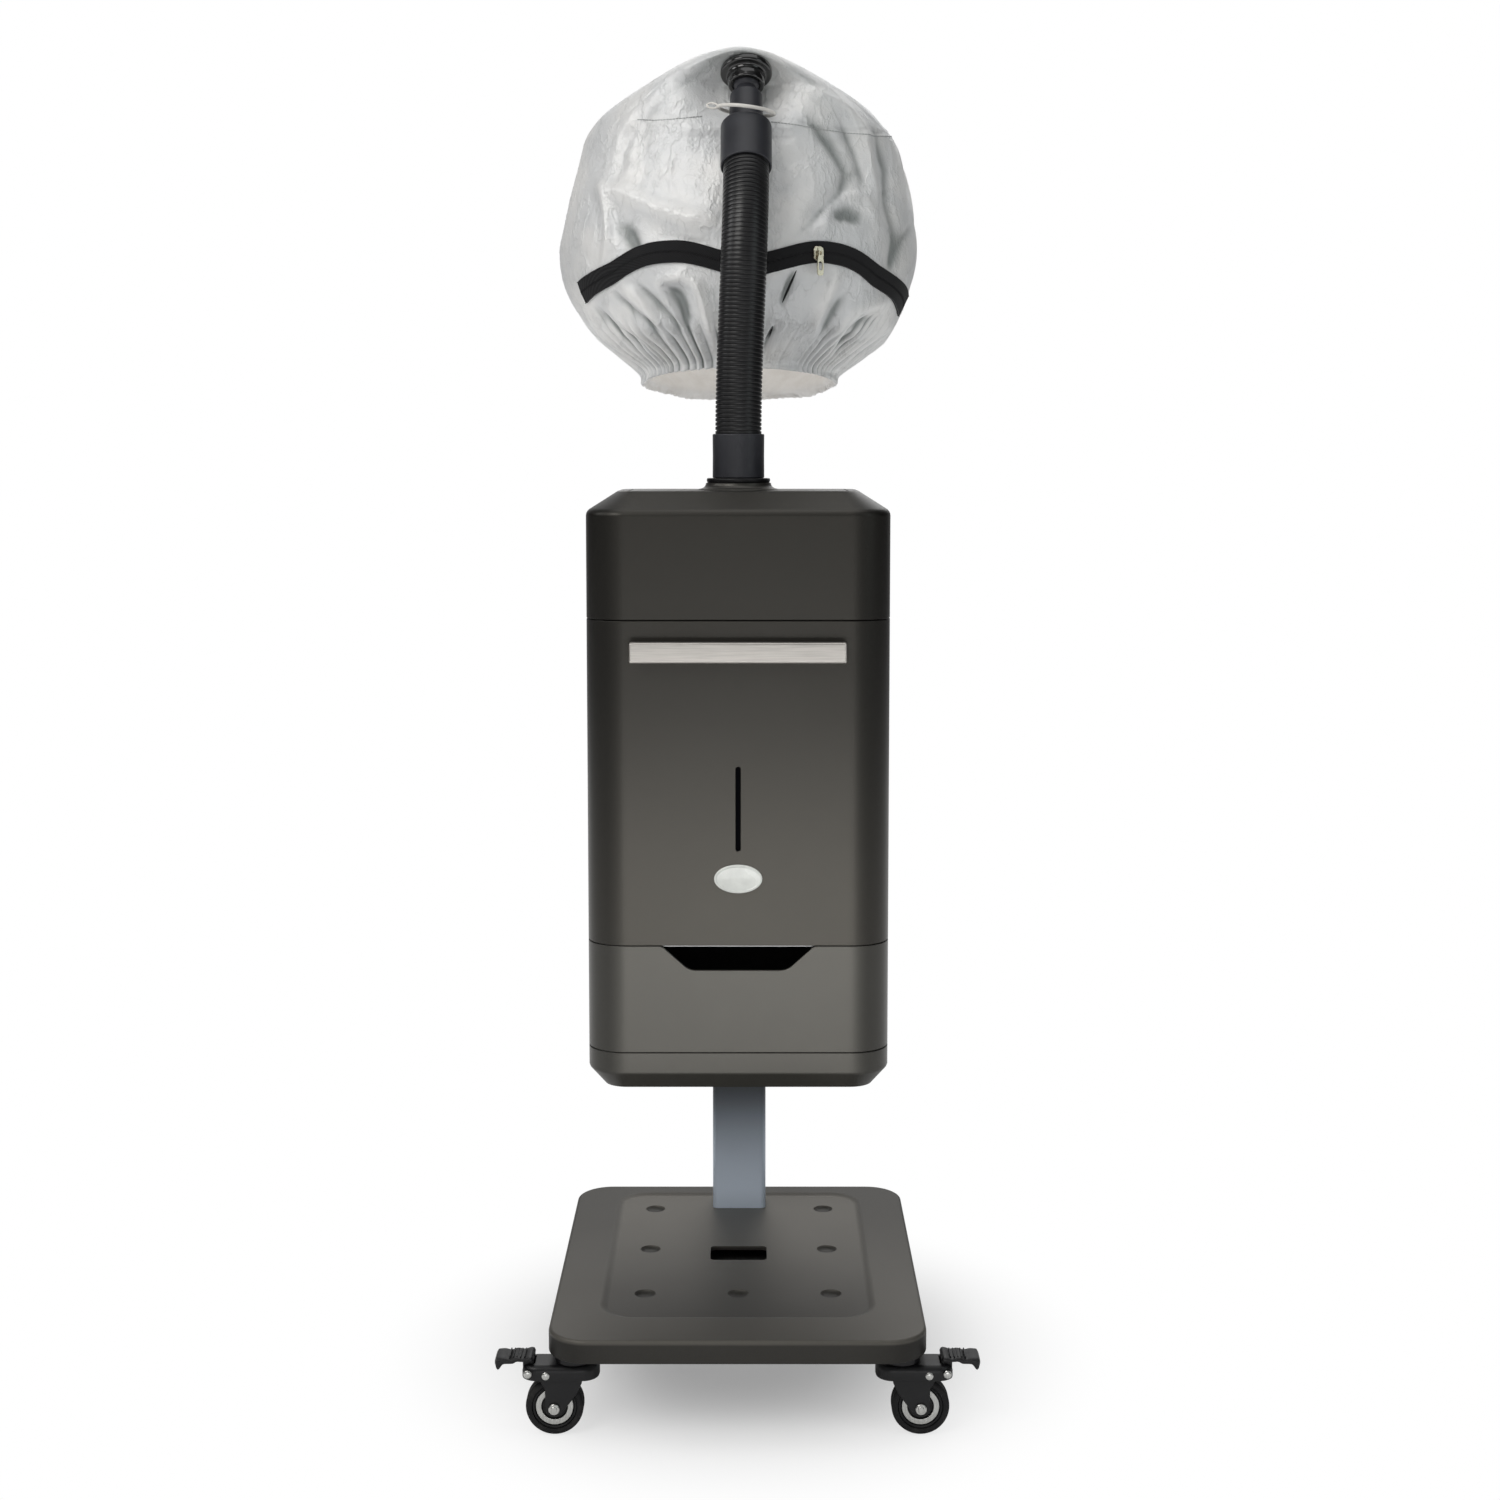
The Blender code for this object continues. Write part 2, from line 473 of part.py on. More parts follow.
def caster(tag, x, y, heading, braked):
    rig = place(f"caster_{tag}", None, at=(x, y, 0), turn=(0, 0, math.radians(heading)))
    foot_top = DECK_BOTTOM - GAP
    foot = rounded(FOOT_W, FOOT_W, FOOT_R)
    cup = rounded(2 * CUP_R, 2 * CUP_R, CUP_R)
    bore = rounded(2 * STEM_R + 2 * SLIDE, 2 * STEM_R + 2 * SLIDE, STEM_R + SLIDE)
    cup_low = foot_top - FOOT_T - CUP_H
    plate = loft([at_height(bore, foot_top - GAP), at_height(bore, cup_low), at_height(cup, cup_low),
                  at_height(cup, foot_top - FOOT_T), at_height(foot, foot_top - FOOT_T),
                  at_height(foot, foot_top)])
    piece(f"caster_plate_{tag}", plate, "black_plastic", parent=rig)
    caster_fork(f"caster_fork_{tag}", rig, braked)
    hub_place = {"parent": rig, "at": (TRAIL, 0, WHEEL_R), "turn": ALONG_Y}
    half = WHEEL_W / 2 + SLIDE + LEG_T + GAP
    axle = turned(((NUT_R, -half - NUT_T), (NUT_R, -half), (AXLE_R, -half), (AXLE_R, half),
                   (NUT_R, half), (NUT_R, half + NUT_T)), PIN_SIDES)
    piece(f"caster_axle_{tag}", axle, "zinc", **hub_place)
    rim = WHEEL_R - TYRE_T
    w, d = WHEEL_W / 2, DISC_T / 2
    wheel = turned(((AXLE_R + SLIDE, -w), (HUB_R, -w), (HUB_R, -d), (rim - RIM_LIP, -d), (rim - RIM_LIP, -w),
                    (rim, -w), (rim, w), (rim - RIM_LIP, w), (rim - RIM_LIP, d), (HUB_R, d), (HUB_R, w),
                    (AXLE_R + SLIDE, w)), PIN_SIDES, closed=True)
    piece(f"caster_wheel_{tag}", wheel, "zinc", **hub_place)
    seat = (rim + GAP) / math.cos(math.pi / WHEEL_SIDES)
    tyre = turned(((seat, -w), (WHEEL_R - FORK_EDGE, -w), (WHEEL_R, -w * 0.6),
                   (WHEEL_R, w * 0.6), (WHEEL_R - FORK_EDGE, w), (seat, w)), WHEEL_SIDES, closed=True)
    piece(f"caster_tyre_{tag}", tyre, "tyre", **hub_place)
    if braked:
        brake_pedal(f"brake_pedal_{tag}", rig)


def casters():
    x = BASE_W / 2 - CASTER_INSET_X
    front, back = BASE_FRONT + CASTER_INSET_Y, BASE_BACK - CASTER_INSET_Y
    caster("fl", -x, front, 180, True)
    caster("fr", x, front, 0, True)
    caster("rl", -x, back, 90, False)
    caster("rr", x, back, 90, False)


# ---------------------------------------------------------------- cabinet covers
def plan(inset=0.0):
    return rounded(CABINET_W, CABINET_D, CABINET_R, inset=inset, y=CABINET_Y)


def wrap(parting, front):
    """The U-shaped outline of a cover that wraps the front or the back up to a parting line."""
    outer = [p for p in plan() if (p[1] < CABINET_Y) == front]
    inner = [p for p in plan(WALL) if (p[1] < CABINET_Y) == front]
    half, thin = CABINET_W / 2, CABINET_W / 2 - WALL
    if front:
        left, right = -1, 1
    else:
        left, right = 1, -1
    return ([(left * half, parting)] + outer + [(right * half, parting), (right * thin, parting)]
            + inner[::-1] + [(left * thin, parting)])


def bottom_tray():
    """A cap that closes the cabinet's foot: flat on top, where the drawer slides, and hollow below."""
    rise = CABINET_FOOT + FOOT_CHAMFER_H
    top = SEAM_TRAY - SEAM / 2
    mesh = loft([at_height(plan(WALL), top - WALL), at_height(plan(WALL), rise),
                 at_height(plan(FOOT_CHAMFER + WALL), CABINET_FOOT),
                 at_height(plan(FOOT_CHAMFER), CABINET_FOOT), at_height(plan(), rise),
                 at_height(plan(), top)])
    piece("bottom_tray", mesh, "gunmetal_light")


def back_shell():
    parting = CABINET_FRONT + FRONT_RETURN + SEAM / 2
    mesh = prism(wrap(parting, False), SEAM_TRAY + SEAM / 2, SEAM_COVER - SEAM / 2)
    shell = piece("back_shell", mesh, "gunmetal")
    cut(shell, disc(BOLT_R + GAP, -2 * WALL, WALL, PIN_SIDES), at=(0, CABINET_BACK, COLUMN_TOP - BOLT_DROP),
        turn=ALONG_Y)
    cut(shell, box(INLET_W + 2 * GAP, 4 * WALL, INLET_H + 2 * GAP, x=INLET_X, y=CABINET_BACK,
                   z=SEAM_DRAWER + INLET_UP - INLET_H / 2 - GAP))
    cut(shell, box(ROCKER_W + 2 * SLIDE, 4 * WALL, ROCKER_H + 4 * SLIDE, x=INLET_X, y=CABINET_BACK,
                   z=SEAM_DRAWER + ROCKER_UP - ROCKER_H / 2 - 2 * SLIDE))


def shelf(name, low, front_inset):
    outline = plan(WALL + GAP)
    limit = CABINET_FRONT + front_inset
    outline = [(x, max(y, limit)) for x, y in outline]
    piece(name, prism(outline, low, low + SHELF_T), "steel")


def top_cover():
    low = SEAM_COVER + SEAM / 2
    edge = CABINET_TOP - TOP_CHAMFER_H
    flat_w, flat_d = CABINET_W - 2 * TOP_CHAMFER, CABINET_D - 2 * TOP_CHAMFER
    bed = rounded(flat_w - 2 * TOP_PANEL_MARGIN_X, flat_d - 2 * TOP_PANEL_MARGIN_Y, TOP_PANEL_R, y=CABINET_Y)
    floor = CABINET_TOP - TOP_PANEL_T - GAP
    flat = rounded(flat_w, flat_d, TOP_PANEL_R + TOP_PANEL_MARGIN_X, y=CABINET_Y)
    ceiling = rounded(flat_w, flat_d, TOP_PANEL_R + TOP_PANEL_MARGIN_X, inset=WALL, y=CABINET_Y)
    mesh = loft([at_height(ceiling, floor - WALL), at_height(plan(WALL), edge - WALL),
                 at_height(plan(WALL), low), at_height(plan(), low), at_height(plan(), edge - COVER_EDGE),
                 at_height(plan(COVER_EDGE / 4), edge - COVER_EDGE / 4),
                 at_height(plan(COVER_EDGE), edge + COVER_EDGE * 0.42),
                 at_height(flat, CABINET_TOP), at_height(bed, CABINET_TOP), at_height(bed, floor)])
    cover = piece("top_cover", mesh, "gunmetal")
    cut(cover, disc(DUCT_R + GAP, floor - WALL - SWELL, CABINET_TOP + SWELL), at=(0, HOSE_Y, 0))
    cut(cover, box(GRILLE_W + 2 * GAP, 4 * WALL, GRILLE_H + 2 * GAP, x=GRILLE_X, y=CABINET_BACK,
                   z=SEAM_COVER + GRILLE_UP - GRILLE_H / 2 - GAP))
    panel = prism(rounded(flat_w - 2 * TOP_PANEL_MARGIN_X, flat_d - 2 * TOP_PANEL_MARGIN_Y, TOP_PANEL_R,
                          inset=TOP_GROOVE, y=CABINET_Y), CABINET_TOP - TOP_PANEL_T, CABINET_TOP)
    lid = piece("top_panel", panel, "gunmetal_light")
    cut(lid, disc(DUCT_R + GAP, floor - WALL - SWELL, CABINET_TOP + SWELL), at=(0, HOSE_Y, 0))


# ---------------------------------------------------------------- fronts
def front_cover(name, low, high, finish):
    parting = CABINET_FRONT + FRONT_RETURN - SEAM / 2
    return piece(name, prism(wrap(parting, True), low, high), finish)


def tank_front():
    front = front_cover("tank_front", SEAM_DRAWER + SEAM / 2, SEAM_COVER - SEAM / 2, "gunmetal")
    cut(front, box(SIGHT_W + 2 * GAP, 4 * WALL, SIGHT_H + 2 * GAP, y=CABINET_FRONT,
                   z=SEAM_DRAWER + SIGHT_UP - SIGHT_H / 2 - GAP))
    plate = box(SIGHT_PLATE_W, SIGHT_PLATE_T, SIGHT_H + SIGHT_PLATE_W, z=-(SIGHT_H + SIGHT_PLATE_W) / 2)
    plate_y = CABINET_FRONT + WALL + GAP + SIGHT_PLATE_T / 2
    window = piece("sight_window", plate, "window", at=(0, plate_y, SEAM_DRAWER + SIGHT_UP))
    join(window, box(SIGHT_W, WALL, SIGHT_H, y=-WALL / 2, z=-SIGHT_H / 2), parent=window)
    steps = [TURN * i / BADGE_SIDES for i in range(BADGE_SIDES)]
    oval = [(BADGE_W / 2 * math.cos(angle), BADGE_H / 2 * math.sin(angle)) for angle in steps]
    rim = [(x * BADGE_FACE, z * BADGE_FACE) for x, z in oval]
    badge = loft([[(x, -GAP, z) for x, z in oval], [(x, -BADGE_T * 0.6, z) for x, z in oval],
                  [(x, -BADGE_T, z) for x, z in rim]])
    piece("badge", badge, "pale_plate", at=(0, CABINET_FRONT, SEAM_DRAWER + BADGE_UP))
    bar_handle(front)


def bar_handle(front):
    """A flat bar on two short posts, with a finger gap behind it."""
    back = -BAR_STAND - GAP
    face = back - BAR_T
    half = BAR_H / 2
    side = half - BAR_EDGE
    section = ((back, -side), (back, side), (back - BAR_EDGE, half), (face + BAR_EDGE, half),
               (face, side), (face, -side), (face + BAR_EDGE, -half), (back - BAR_EDGE, -half))
    mesh = loft([[(x, y, z) for y, z in section] for x in (-BAR_W / 2, BAR_W / 2)])
    bar = piece("bar_handle", mesh, "satin_bar", at=(0, CABINET_FRONT, SEAM_COVER - BAR_DROP))
    for side in (-1, 1):
        join(bar, disc(BAR_BOSS_R, back - BAR_T / 2, -GAP), parent=bar,
             at=(side * BAR_BOSS_X, 0, 0), turn=ALONG_Y)


def tool_drawer():
    front = front_cover("drawer_front", SEAM_TRAY + SEAM / 2, SEAM_DRAWER - SEAM / 2, "gunmetal_light")
    top = SEAM_DRAWER - SEAM / 2
    notch = ((-NOTCH_TOP_W / 2, top + SWELL), (-NOTCH_TOP_W / 2, top), (-NOTCH_FOOT_W / 2, top - NOTCH_H),
             (NOTCH_FOOT_W / 2, top - NOTCH_H), (NOTCH_TOP_W / 2, top), (NOTCH_TOP_W / 2, top + SWELL))
    cut(front, side_plate(notch, CABINET_FRONT - WALL, CABINET_FRONT + 2 * WALL))
    width = CABINET_W - 2 * WALL - 2 * DRAWER_GAP_SIDE
    near = CABINET_FRONT + WALL + GAP
    far = CABINET_BACK - WALL - DRAWER_BACK
    low = SEAM_TRAY - SEAM / 2 + GAP
    high = SEAM_DRAWER - DRAWER_DROP
    middle = (near + far) / 2
    outer = rounded(width, far - near, DRAWER_R, y=middle)
    inner = rounded(width, far - near, DRAWER_R, inset=DRAWER_T, y=middle)
    mesh = loft([at_height(outer, low), at_height(outer, high), at_height(inner, high),
                 at_height(inner, low + DRAWER_T)])
    piece("drawer_box", mesh, "grey_plastic")


def water_tank():
    low = SHELF_Z + SHELF_T + GAP
    near = CABINET_FRONT + WALL + 2 * GAP + SIGHT_PLATE_T
    middle = near + TANK_D / 2
    outer = rounded(TANK_W, TANK_D, TANK_R, y=middle)
    inner = rounded(TANK_W, TANK_D, TANK_R, inset=TANK_T, y=middle)
    collar = rounded(2 * NECK_R, 2 * NECK_R, NECK_R, y=middle)
    throat = rounded(2 * NECK_R, 2 * NECK_R, NECK_R, inset=NECK_T, y=middle)
    top = low + TANK_H
    mesh = loft([at_height(outer, low), at_height(outer, top), at_height(collar, top),
                 at_height(collar, top + NECK_H), at_height(throat, top + NECK_H),
                 at_height(throat, top - TANK_T), at_height(inner, top - TANK_T),
                 at_height(inner, low + TANK_T)])
    piece("water_tank", mesh, "tank_clear")
    roof = NECK_H + GAP
    inside = (NECK_R + SLIDE) / math.cos(math.pi / ROUND_SIDES)
    outside = inside + TANK_CAP_T
    cap = turned(((outside, roof + TANK_CAP_T - TANK_CAP_H), (outside, roof + TANK_CAP_T - TANK_CAP_EDGE),
                  (outside - TANK_CAP_EDGE, roof + TANK_CAP_T)))
    lid = piece("tank_cap", cap, "white_plastic", at=(0, middle, top))
    cut(lid, disc(inside, -SWELL, roof), parent=lid)


# ---------------------------------------------------------------- air system
def air_system():
    floor = UPPER_FLOOR
    axis_z = floor + ELBOW_H / 2
    elbow = piece("outlet_duct", box(ELBOW_W, ELBOW_W, ELBOW_H), "white_plastic", at=(0, HOSE_Y, floor))
    join(elbow, disc(DUCT_R, ELBOW_H / 2, CABINET_TOP - floor), parent=elbow)
    cut(elbow, disc(DUCT_R - DUCT_T, ELBOW_H / 2, CABINET_TOP + SWELL - floor), parent=elbow)
    inside = ELBOW_W - 2 * DUCT_T
    cut(elbow, box(inside, inside, ELBOW_H - 2 * DUCT_T, z=DUCT_T), parent=elbow)
    window_h = HEATER_H - 2 * HEATER_T
    cut(elbow, box(4 * DUCT_T, HEATER_W - 2 * HEATER_T, window_h, x=-ELBOW_W / 2,
                   z=(ELBOW_H - window_h) / 2), parent=elbow)

    heater_right = -ELBOW_W / 2 - GAP
    heater_x = heater_right - HEATER_L / 2
    heater = piece("heater_duct", box(HEATER_L, HEATER_W, HEATER_H, z=-HEATER_H / 2), "mica",
                   at=(heater_x, HOSE_Y, axis_z))
    for y in (-1, 0, 1):
        bay = (HEATER_W - 4 * HEATER_T) / 3
        cut(heater, box(HEATER_L + SWELL, bay, HEATER_H - 2 * HEATER_T, y=y * (bay + HEATER_T),
                        z=-HEATER_H / 2 + HEATER_T), parent=heater)

    reach = BLOWER_R + BLOWER_MOUTH
    blower_x = heater_right - HEATER_L - GAP - reach
    blower_z = axis_z - BLOWER_H / 2
    housing = piece("blower_housing", disc(BLOWER_R, 0, BLOWER_H), "grey_plastic",
                    at=(blower_x, HOSE_Y, blower_z))
    join(housing, box(reach, HEATER_W, HEATER_H, x=reach / 2, z=(BLOWER_H - HEATER_H) / 2), parent=housing)
    cut(housing, disc(BLOWER_R - BLOWER_T, BLOWER_T, BLOWER_H - BLOWER_T), parent=housing)
    cut(housing, box(reach + SWELL, HEATER_W - 2 * BLOWER_T, window_h,
                     x=(reach + SWELL) / 2, z=(BLOWER_H - window_h) / 2), parent=housing)
    cut(housing, disc(BLOWER_INLET_R, BLOWER_H / 2, BLOWER_H + SWELL), parent=housing)
    feet_h = blower_z - floor
    spread = BLOWER_FEET_AT
    for x, y in ((-1, -1), (-1, 1), (1, -1), (1, 1)):
        join(housing, disc(BOARD_FOOT_R, -feet_h, BLOWER_T / 2, PIN_SIDES), parent=housing,
             at=(x * spread, y * spread, 0))

    motor_low = blower_z + BLOWER_T + GAP
    motor = turned(((MOTOR_R, 0), (MOTOR_R, MOTOR_H), (MOTOR_BOSS_R, MOTOR_H), (MOTOR_BOSS_R, MOTOR_BOSS_H),
                    (SHAFT_R, MOTOR_BOSS_H), (SHAFT_R, MOTOR_BOSS_H + SHAFT_UP)))
    piece("blower_motor", motor, "copper_motor", at=(blower_x, HOSE_Y, motor_low))
    impeller(blower_x, motor_low + MOTOR_BOSS_H + SLIDE)


def impeller(x, low):
    """A fan wheel: a back plate with a hub, and a ring of blades that stand on it."""
    wheel = piece("impeller", disc(IMPELLER_R, 0, IMPELLER_PLATE_T), "black_plastic", at=(x, HOSE_Y, low))
    join(wheel, disc(IMPELLER_HUB_R, 0, SHAFT_UP + IMPELLER_PLATE_T), parent=wheel)
    for number in range(IMPELLER_BLADES):
        angle = TURN * number / IMPELLER_BLADES
        blade = box(BLADE_L, BLADE_T, IMPELLER_H, x=IMPELLER_R - BLADE_INSET - BLADE_L / 2,
                    z=IMPELLER_PLATE_T / 2)
        join(wheel, blade, parent=wheel, turn=(0, 0, angle))
    cut(wheel, disc(SHAFT_R + SLIDE / 2, -SWELL, SHAFT_UP), parent=wheel)


def control_board():
    board = piece("control_board", box(BOARD_W, BOARD_D, BOARD_T), "board_green",
                  at=(BOARD_X, CABINET_Y, UPPER_FLOOR + BOARD_FOOT))
    for x in (-1, 1):
        for y in (-1, 1):
            join(board, disc(BOARD_FOOT_R, -BOARD_FOOT, BOARD_T / 2, PIN_SIDES), parent=board,
                 at=(x * (BOARD_W / 2 - BOARD_FOOT_INSET), y * (BOARD_D / 2 - BOARD_FOOT_INSET), 0))
    for x, y, width, depth, height in BOARD_PARTS:
        join(board, box(width, depth, height, x=x, y=y, z=BOARD_T / 2), parent=board)


# ---------------------------------------------------------------- rear fittings
def rear_fittings():
    thick = WALL + GRILLE_T
    grille = piece("rear_grille", box(GRILLE_W, WALL + GAP, GRILLE_H, y=-(WALL + GAP) / 2, z=-GRILLE_H / 2),
                   "black_plastic", at=(GRILLE_X, CABINET_BACK + GAP, SEAM_COVER + GRILLE_UP))
    lip = box(GRILLE_W + 2 * INLET_LIP, GRILLE_T / 2, GRILLE_H + 2 * INLET_LIP, y=GRILLE_T / 4,
              z=-GRILLE_H / 2 - INLET_LIP)
    join(grille, lip, parent=grille)
    pitch = GRILLE_H / GRILLE_SLOTS
    for row in range(GRILLE_SLOTS):
        z = -GRILLE_H / 2 + (row + 0.5) * pitch - GRILLE_SLOT_H / 2
        cut(grille, box(GRILLE_W - 2 * INLET_LIP, 2 * thick, GRILLE_SLOT_H, z=z), parent=grille)

    face = CABINET_BACK + GAP
    inlet = piece("power_inlet", box(INLET_W, INLET_DEPTH, INLET_H, y=-INLET_DEPTH / 2, z=-INLET_H / 2),
                  "black_plastic", at=(INLET_X, face, SEAM_DRAWER + INLET_UP))
    join(inlet, box(INLET_W + 2 * INLET_LIP, INLET_LIP_T, INLET_H + INLET_LIP, y=INLET_LIP_T / 2,
                    z=-(INLET_H + INLET_LIP) / 2), parent=inlet)
    cut(inlet, box(INLET_W - 2 * INLET_WALL, INLET_DEPTH, INLET_H - 2 * INLET_WALL,
                   y=INLET_WALL + INLET_LIP_T / 2 - INLET_DEPTH / 2, z=INLET_WALL - INLET_H / 2),
        parent=inlet)
    for column in (-1, 0, 1):
        join(inlet, disc(PIN_R, INLET_WALL / 3 - INLET_DEPTH, -PIN_FREE, PIN_SIDES), parent=inlet,
             at=(column * PIN_PITCH, 0, PIN_DROP if column == 0 else -PIN_DROP), turn=ALONG_Y)

    half = ROCKER_H / 2
    edge, dip, tail = ROCKER_EDGE / 2, ROCKER_EDGE * 0.75, ROCKER_EDGE * 1.5
    section = [(edge, -half), (ROCKER_PROUD, ROCKER_EDGE - half), (dip, 0.0),
               (ROCKER_PROUD, half - ROCKER_EDGE),
               (edge, half), (-ROCKER_DEPTH / 2, half * ROCKER_WAIST), (-ROCKER_DEPTH, tail),
               (-ROCKER_DEPTH, -tail), (-ROCKER_DEPTH / 2, -half * ROCKER_WAIST)]
    rocker = loft([[(x, y, z) for y, z in section] for x in (-ROCKER_W / 2, ROCKER_W / 2)])
    piece("rocker_switch", rocker, "black_plastic",
          at=(INLET_X, CABINET_BACK - WALL / 2, SEAM_DRAWER + ROCKER_UP))


# ---------------------------------------------------------------- hose and neck
def hose_socket():
    lip = SOCKET_BOSS_H
    top = lip + SOCKET_LIP_T
    bore = SPIGOT_R - SPIGOT_T
    edge = MOULDED_EDGE
    mesh = turned(((SOCKET_FOOT_R, 0), (SOCKET_FOOT_R - 4 * edge, lip * 0.35), (SOCKET_BOSS_R, lip * 0.8),
                   (SOCKET_BOSS_R - 3 * edge, lip), (SOCKET_LIP_R, lip + edge), (SOCKET_LIP_R, top - edge),
                   (SOCKET_LIP_R - edge, top), (SPIGOT_R, top), (SPIGOT_R, top + SPIGOT_H),
                   (bore, top + SPIGOT_H), (bore, 0)), closed=True)
    piece("hose_socket", mesh, "gunmetal", at=(0, HOSE_Y, CABINET_TOP + GAP))


def hose_centre(s):
    """A point and its direction on the hose's middle line, s metres above the hose's foot."""
    foot = LOWER_CUFF_Z
    straight = BEND_START - foot
    bend = BEND_R * LEAN_RAD
    rise = straight + bend
    if s <= straight:
        point, way = Vector((0, HOSE_Y, foot + s)), Vector((0, 0, 1))
    else:
        angle = min((s - straight) / BEND_R, LEAN_RAD)
        point = Vector((0, HOSE_Y + BEND_R * (1 - math.cos(angle)), BEND_START + BEND_R * math.sin(angle)))
        way = Vector((0, math.sin(angle), math.cos(angle)))
        past = s - straight - BEND_R * angle
        point += past * way
    share = min(max((s - CUFF_H) / (rise - CUFF_H), 0.0), 1.0)
    point.x = SIDE_LEAN * share * share * (3 - 2 * share)
    return point, way


def hose_ring(s, radius, sides=HOSE_SIDES):
    point, way = hose_centre(s)
    across = Vector((1, 0, 0))
    back = way.cross(across)
    return [point + radius * (math.cos(TURN * i / sides) * across + math.sin(TURN * i / sides) * back)
            for i in range(sides)]


def hose():
    """A ribbed tube: two rings of unlike radius a rib, plain ends and a plainer bore."""
    upper_plain = UPPER_CUFF_L - UPPER_CUFF_RIM - GAP
    length = BEND_START - LOWER_CUFF_Z + BEND_R * LEAN_RAD + upper_plain
    ribbed_from, ribbed_to = HOSE_PLAIN, length - upper_plain
    pitch = (ribbed_to - ribbed_from) / HOSE_RIBS
    stations = [(0.0, HOSE_R), (HOSE_PLAIN - pitch / 2, HOSE_R)]
    for rib in range(HOSE_RIBS):
        start = ribbed_from + rib * pitch
        stations += [(start + pitch * 0.20, HOSE_ROOT_R), (start + pitch * 0.70, HOSE_R)]
    stations += [(ribbed_to + pitch / 2, HOSE_R), (length, HOSE_R)]
    rings = [hose_ring(s, radius) for s, radius in stations]
    bore_steps = 12
    rings += [hose_ring(length * (1 - step / bore_steps), HOSE_BORE_R) for step in range(bore_steps + 1)]
    piece("hose", loft(rings, closed=True), "black_plastic", smooth=60)


def cuffs():
    inner, edge = CUFF_R - CUFF_T, MOULDED_EDGE
    lower = turned(((CUFF_R, 0), (CUFF_R, CUFF_H - 2 * edge), (CUFF_R - edge, CUFF_H), (inner, CUFF_H),
                    (inner, 0)), closed=True)
    piece("lower_cuff", lower, "cuff_blue_black", at=(0, HOSE_Y, LOWER_CUFF_Z))
    top = UPPER_CUFF_L
    collar = NECK_TUBE_R + GAP
    upper = turned(((CUFF_R, 0), (CUFF_R, top - 3 * edge), (CUFF_R - 3 * edge, top), (collar, top),
                    (collar, top - UPPER_CUFF_RIM), (inner, top - UPPER_CUFF_RIM), (inner, 0)), closed=True)
    piece("upper_cuff", upper, "cuff_blue_black", at=NECK_FOOT, turn=(-LEAN_RAD, 0, 0))


def sphere_profile(radius, centre, low, high, steps=4):
    """Turned-profile points on a ball between two heights measured from the ball's centre."""
    start, end = math.asin(low / radius), math.asin(high / radius)
    points = []
    for step in range(steps + 1):
        angle = start + (end - start) * step / steps
        points.append((radius * math.cos(angle), centre + radius * math.sin(angle)))
    return points


def neck():
    """The tube in the upper cuff, with a hollow ball at its top that the hood's flange turns on."""
    taper_end = BALL_AT - math.sqrt(BALL_R ** 2 - NECK_STEM_R ** 2)
    taper_start = taper_end - NECK_TAPER
    ball_top = math.sqrt(BALL_R ** 2 - NECK_BORE_R ** 2) * BALL_CUT
    foot = UPPER_CUFF_L - UPPER_CUFF_RIM - NECK_INSERT
    profile = [(NECK_TUBE_R, foot), (NECK_TUBE_R, taper_start),
               (NECK_STEM_R, taper_end - MOULDED_EDGE)]
    profile += sphere_profile(BALL_R, BALL_AT, taper_end - BALL_AT, ball_top)
    profile += [(NECK_BORE_R, BALL_AT + ball_top), (NECK_BORE_R, foot)]
    piece("neck_tube", turned(profile, NECK_SIDES, closed=True), "cuff_blue_black", at=NECK_FOOT,
          turn=(-LEAN_RAD, 0, 0))


def neck_ring():
    """A loose wire ring that lies on the upper cuff's front rim, with an eye at its left."""
    points, sides = 18, 5
    front = CUFF_R * math.sin(LEAN_RAD)
    middle = NECK_FOOT + NECK_AXIS * UPPER_CUFF_L
    rings = []
    for i in range(points):
        angle = TURN * i / points
        out = Vector((math.cos(angle), math.sin(angle), 0))
        centre = out * RING_R
        rings.append([centre + RING_WIRE * (math.cos(TURN * k / sides) * out
                                            + math.sin(TURN * k / sides) * Vector((0, 0, 1)))
                      for k in range(sides)])
    lift = Vector((0, RING_BACK, front + RING_UP))
    ring = piece("neck_ring", loft(rings, closed=True), "ring_white", at=middle + lift,
                 turn=(0, math.radians(RING_ROLL), 0))
    eye = []
    for i in range(8):
        angle = TURN * i / 8
        out = Vector((math.cos(angle), math.sin(angle) / 4, math.sin(angle) / 2))
        flat = out.normalized()
        side = Vector((0, 1, 0))
        eye.append([Vector((-RING_R - EYE_R, -RING_BACK, 0)) + out * EYE_R
                    + EYE_WIRE * (math.cos(TURN * k / 4) * flat + math.sin(TURN * k / 4) * side)
                    for k in range(4)])
    join(ring, loft(eye, closed=True), parent=ring)


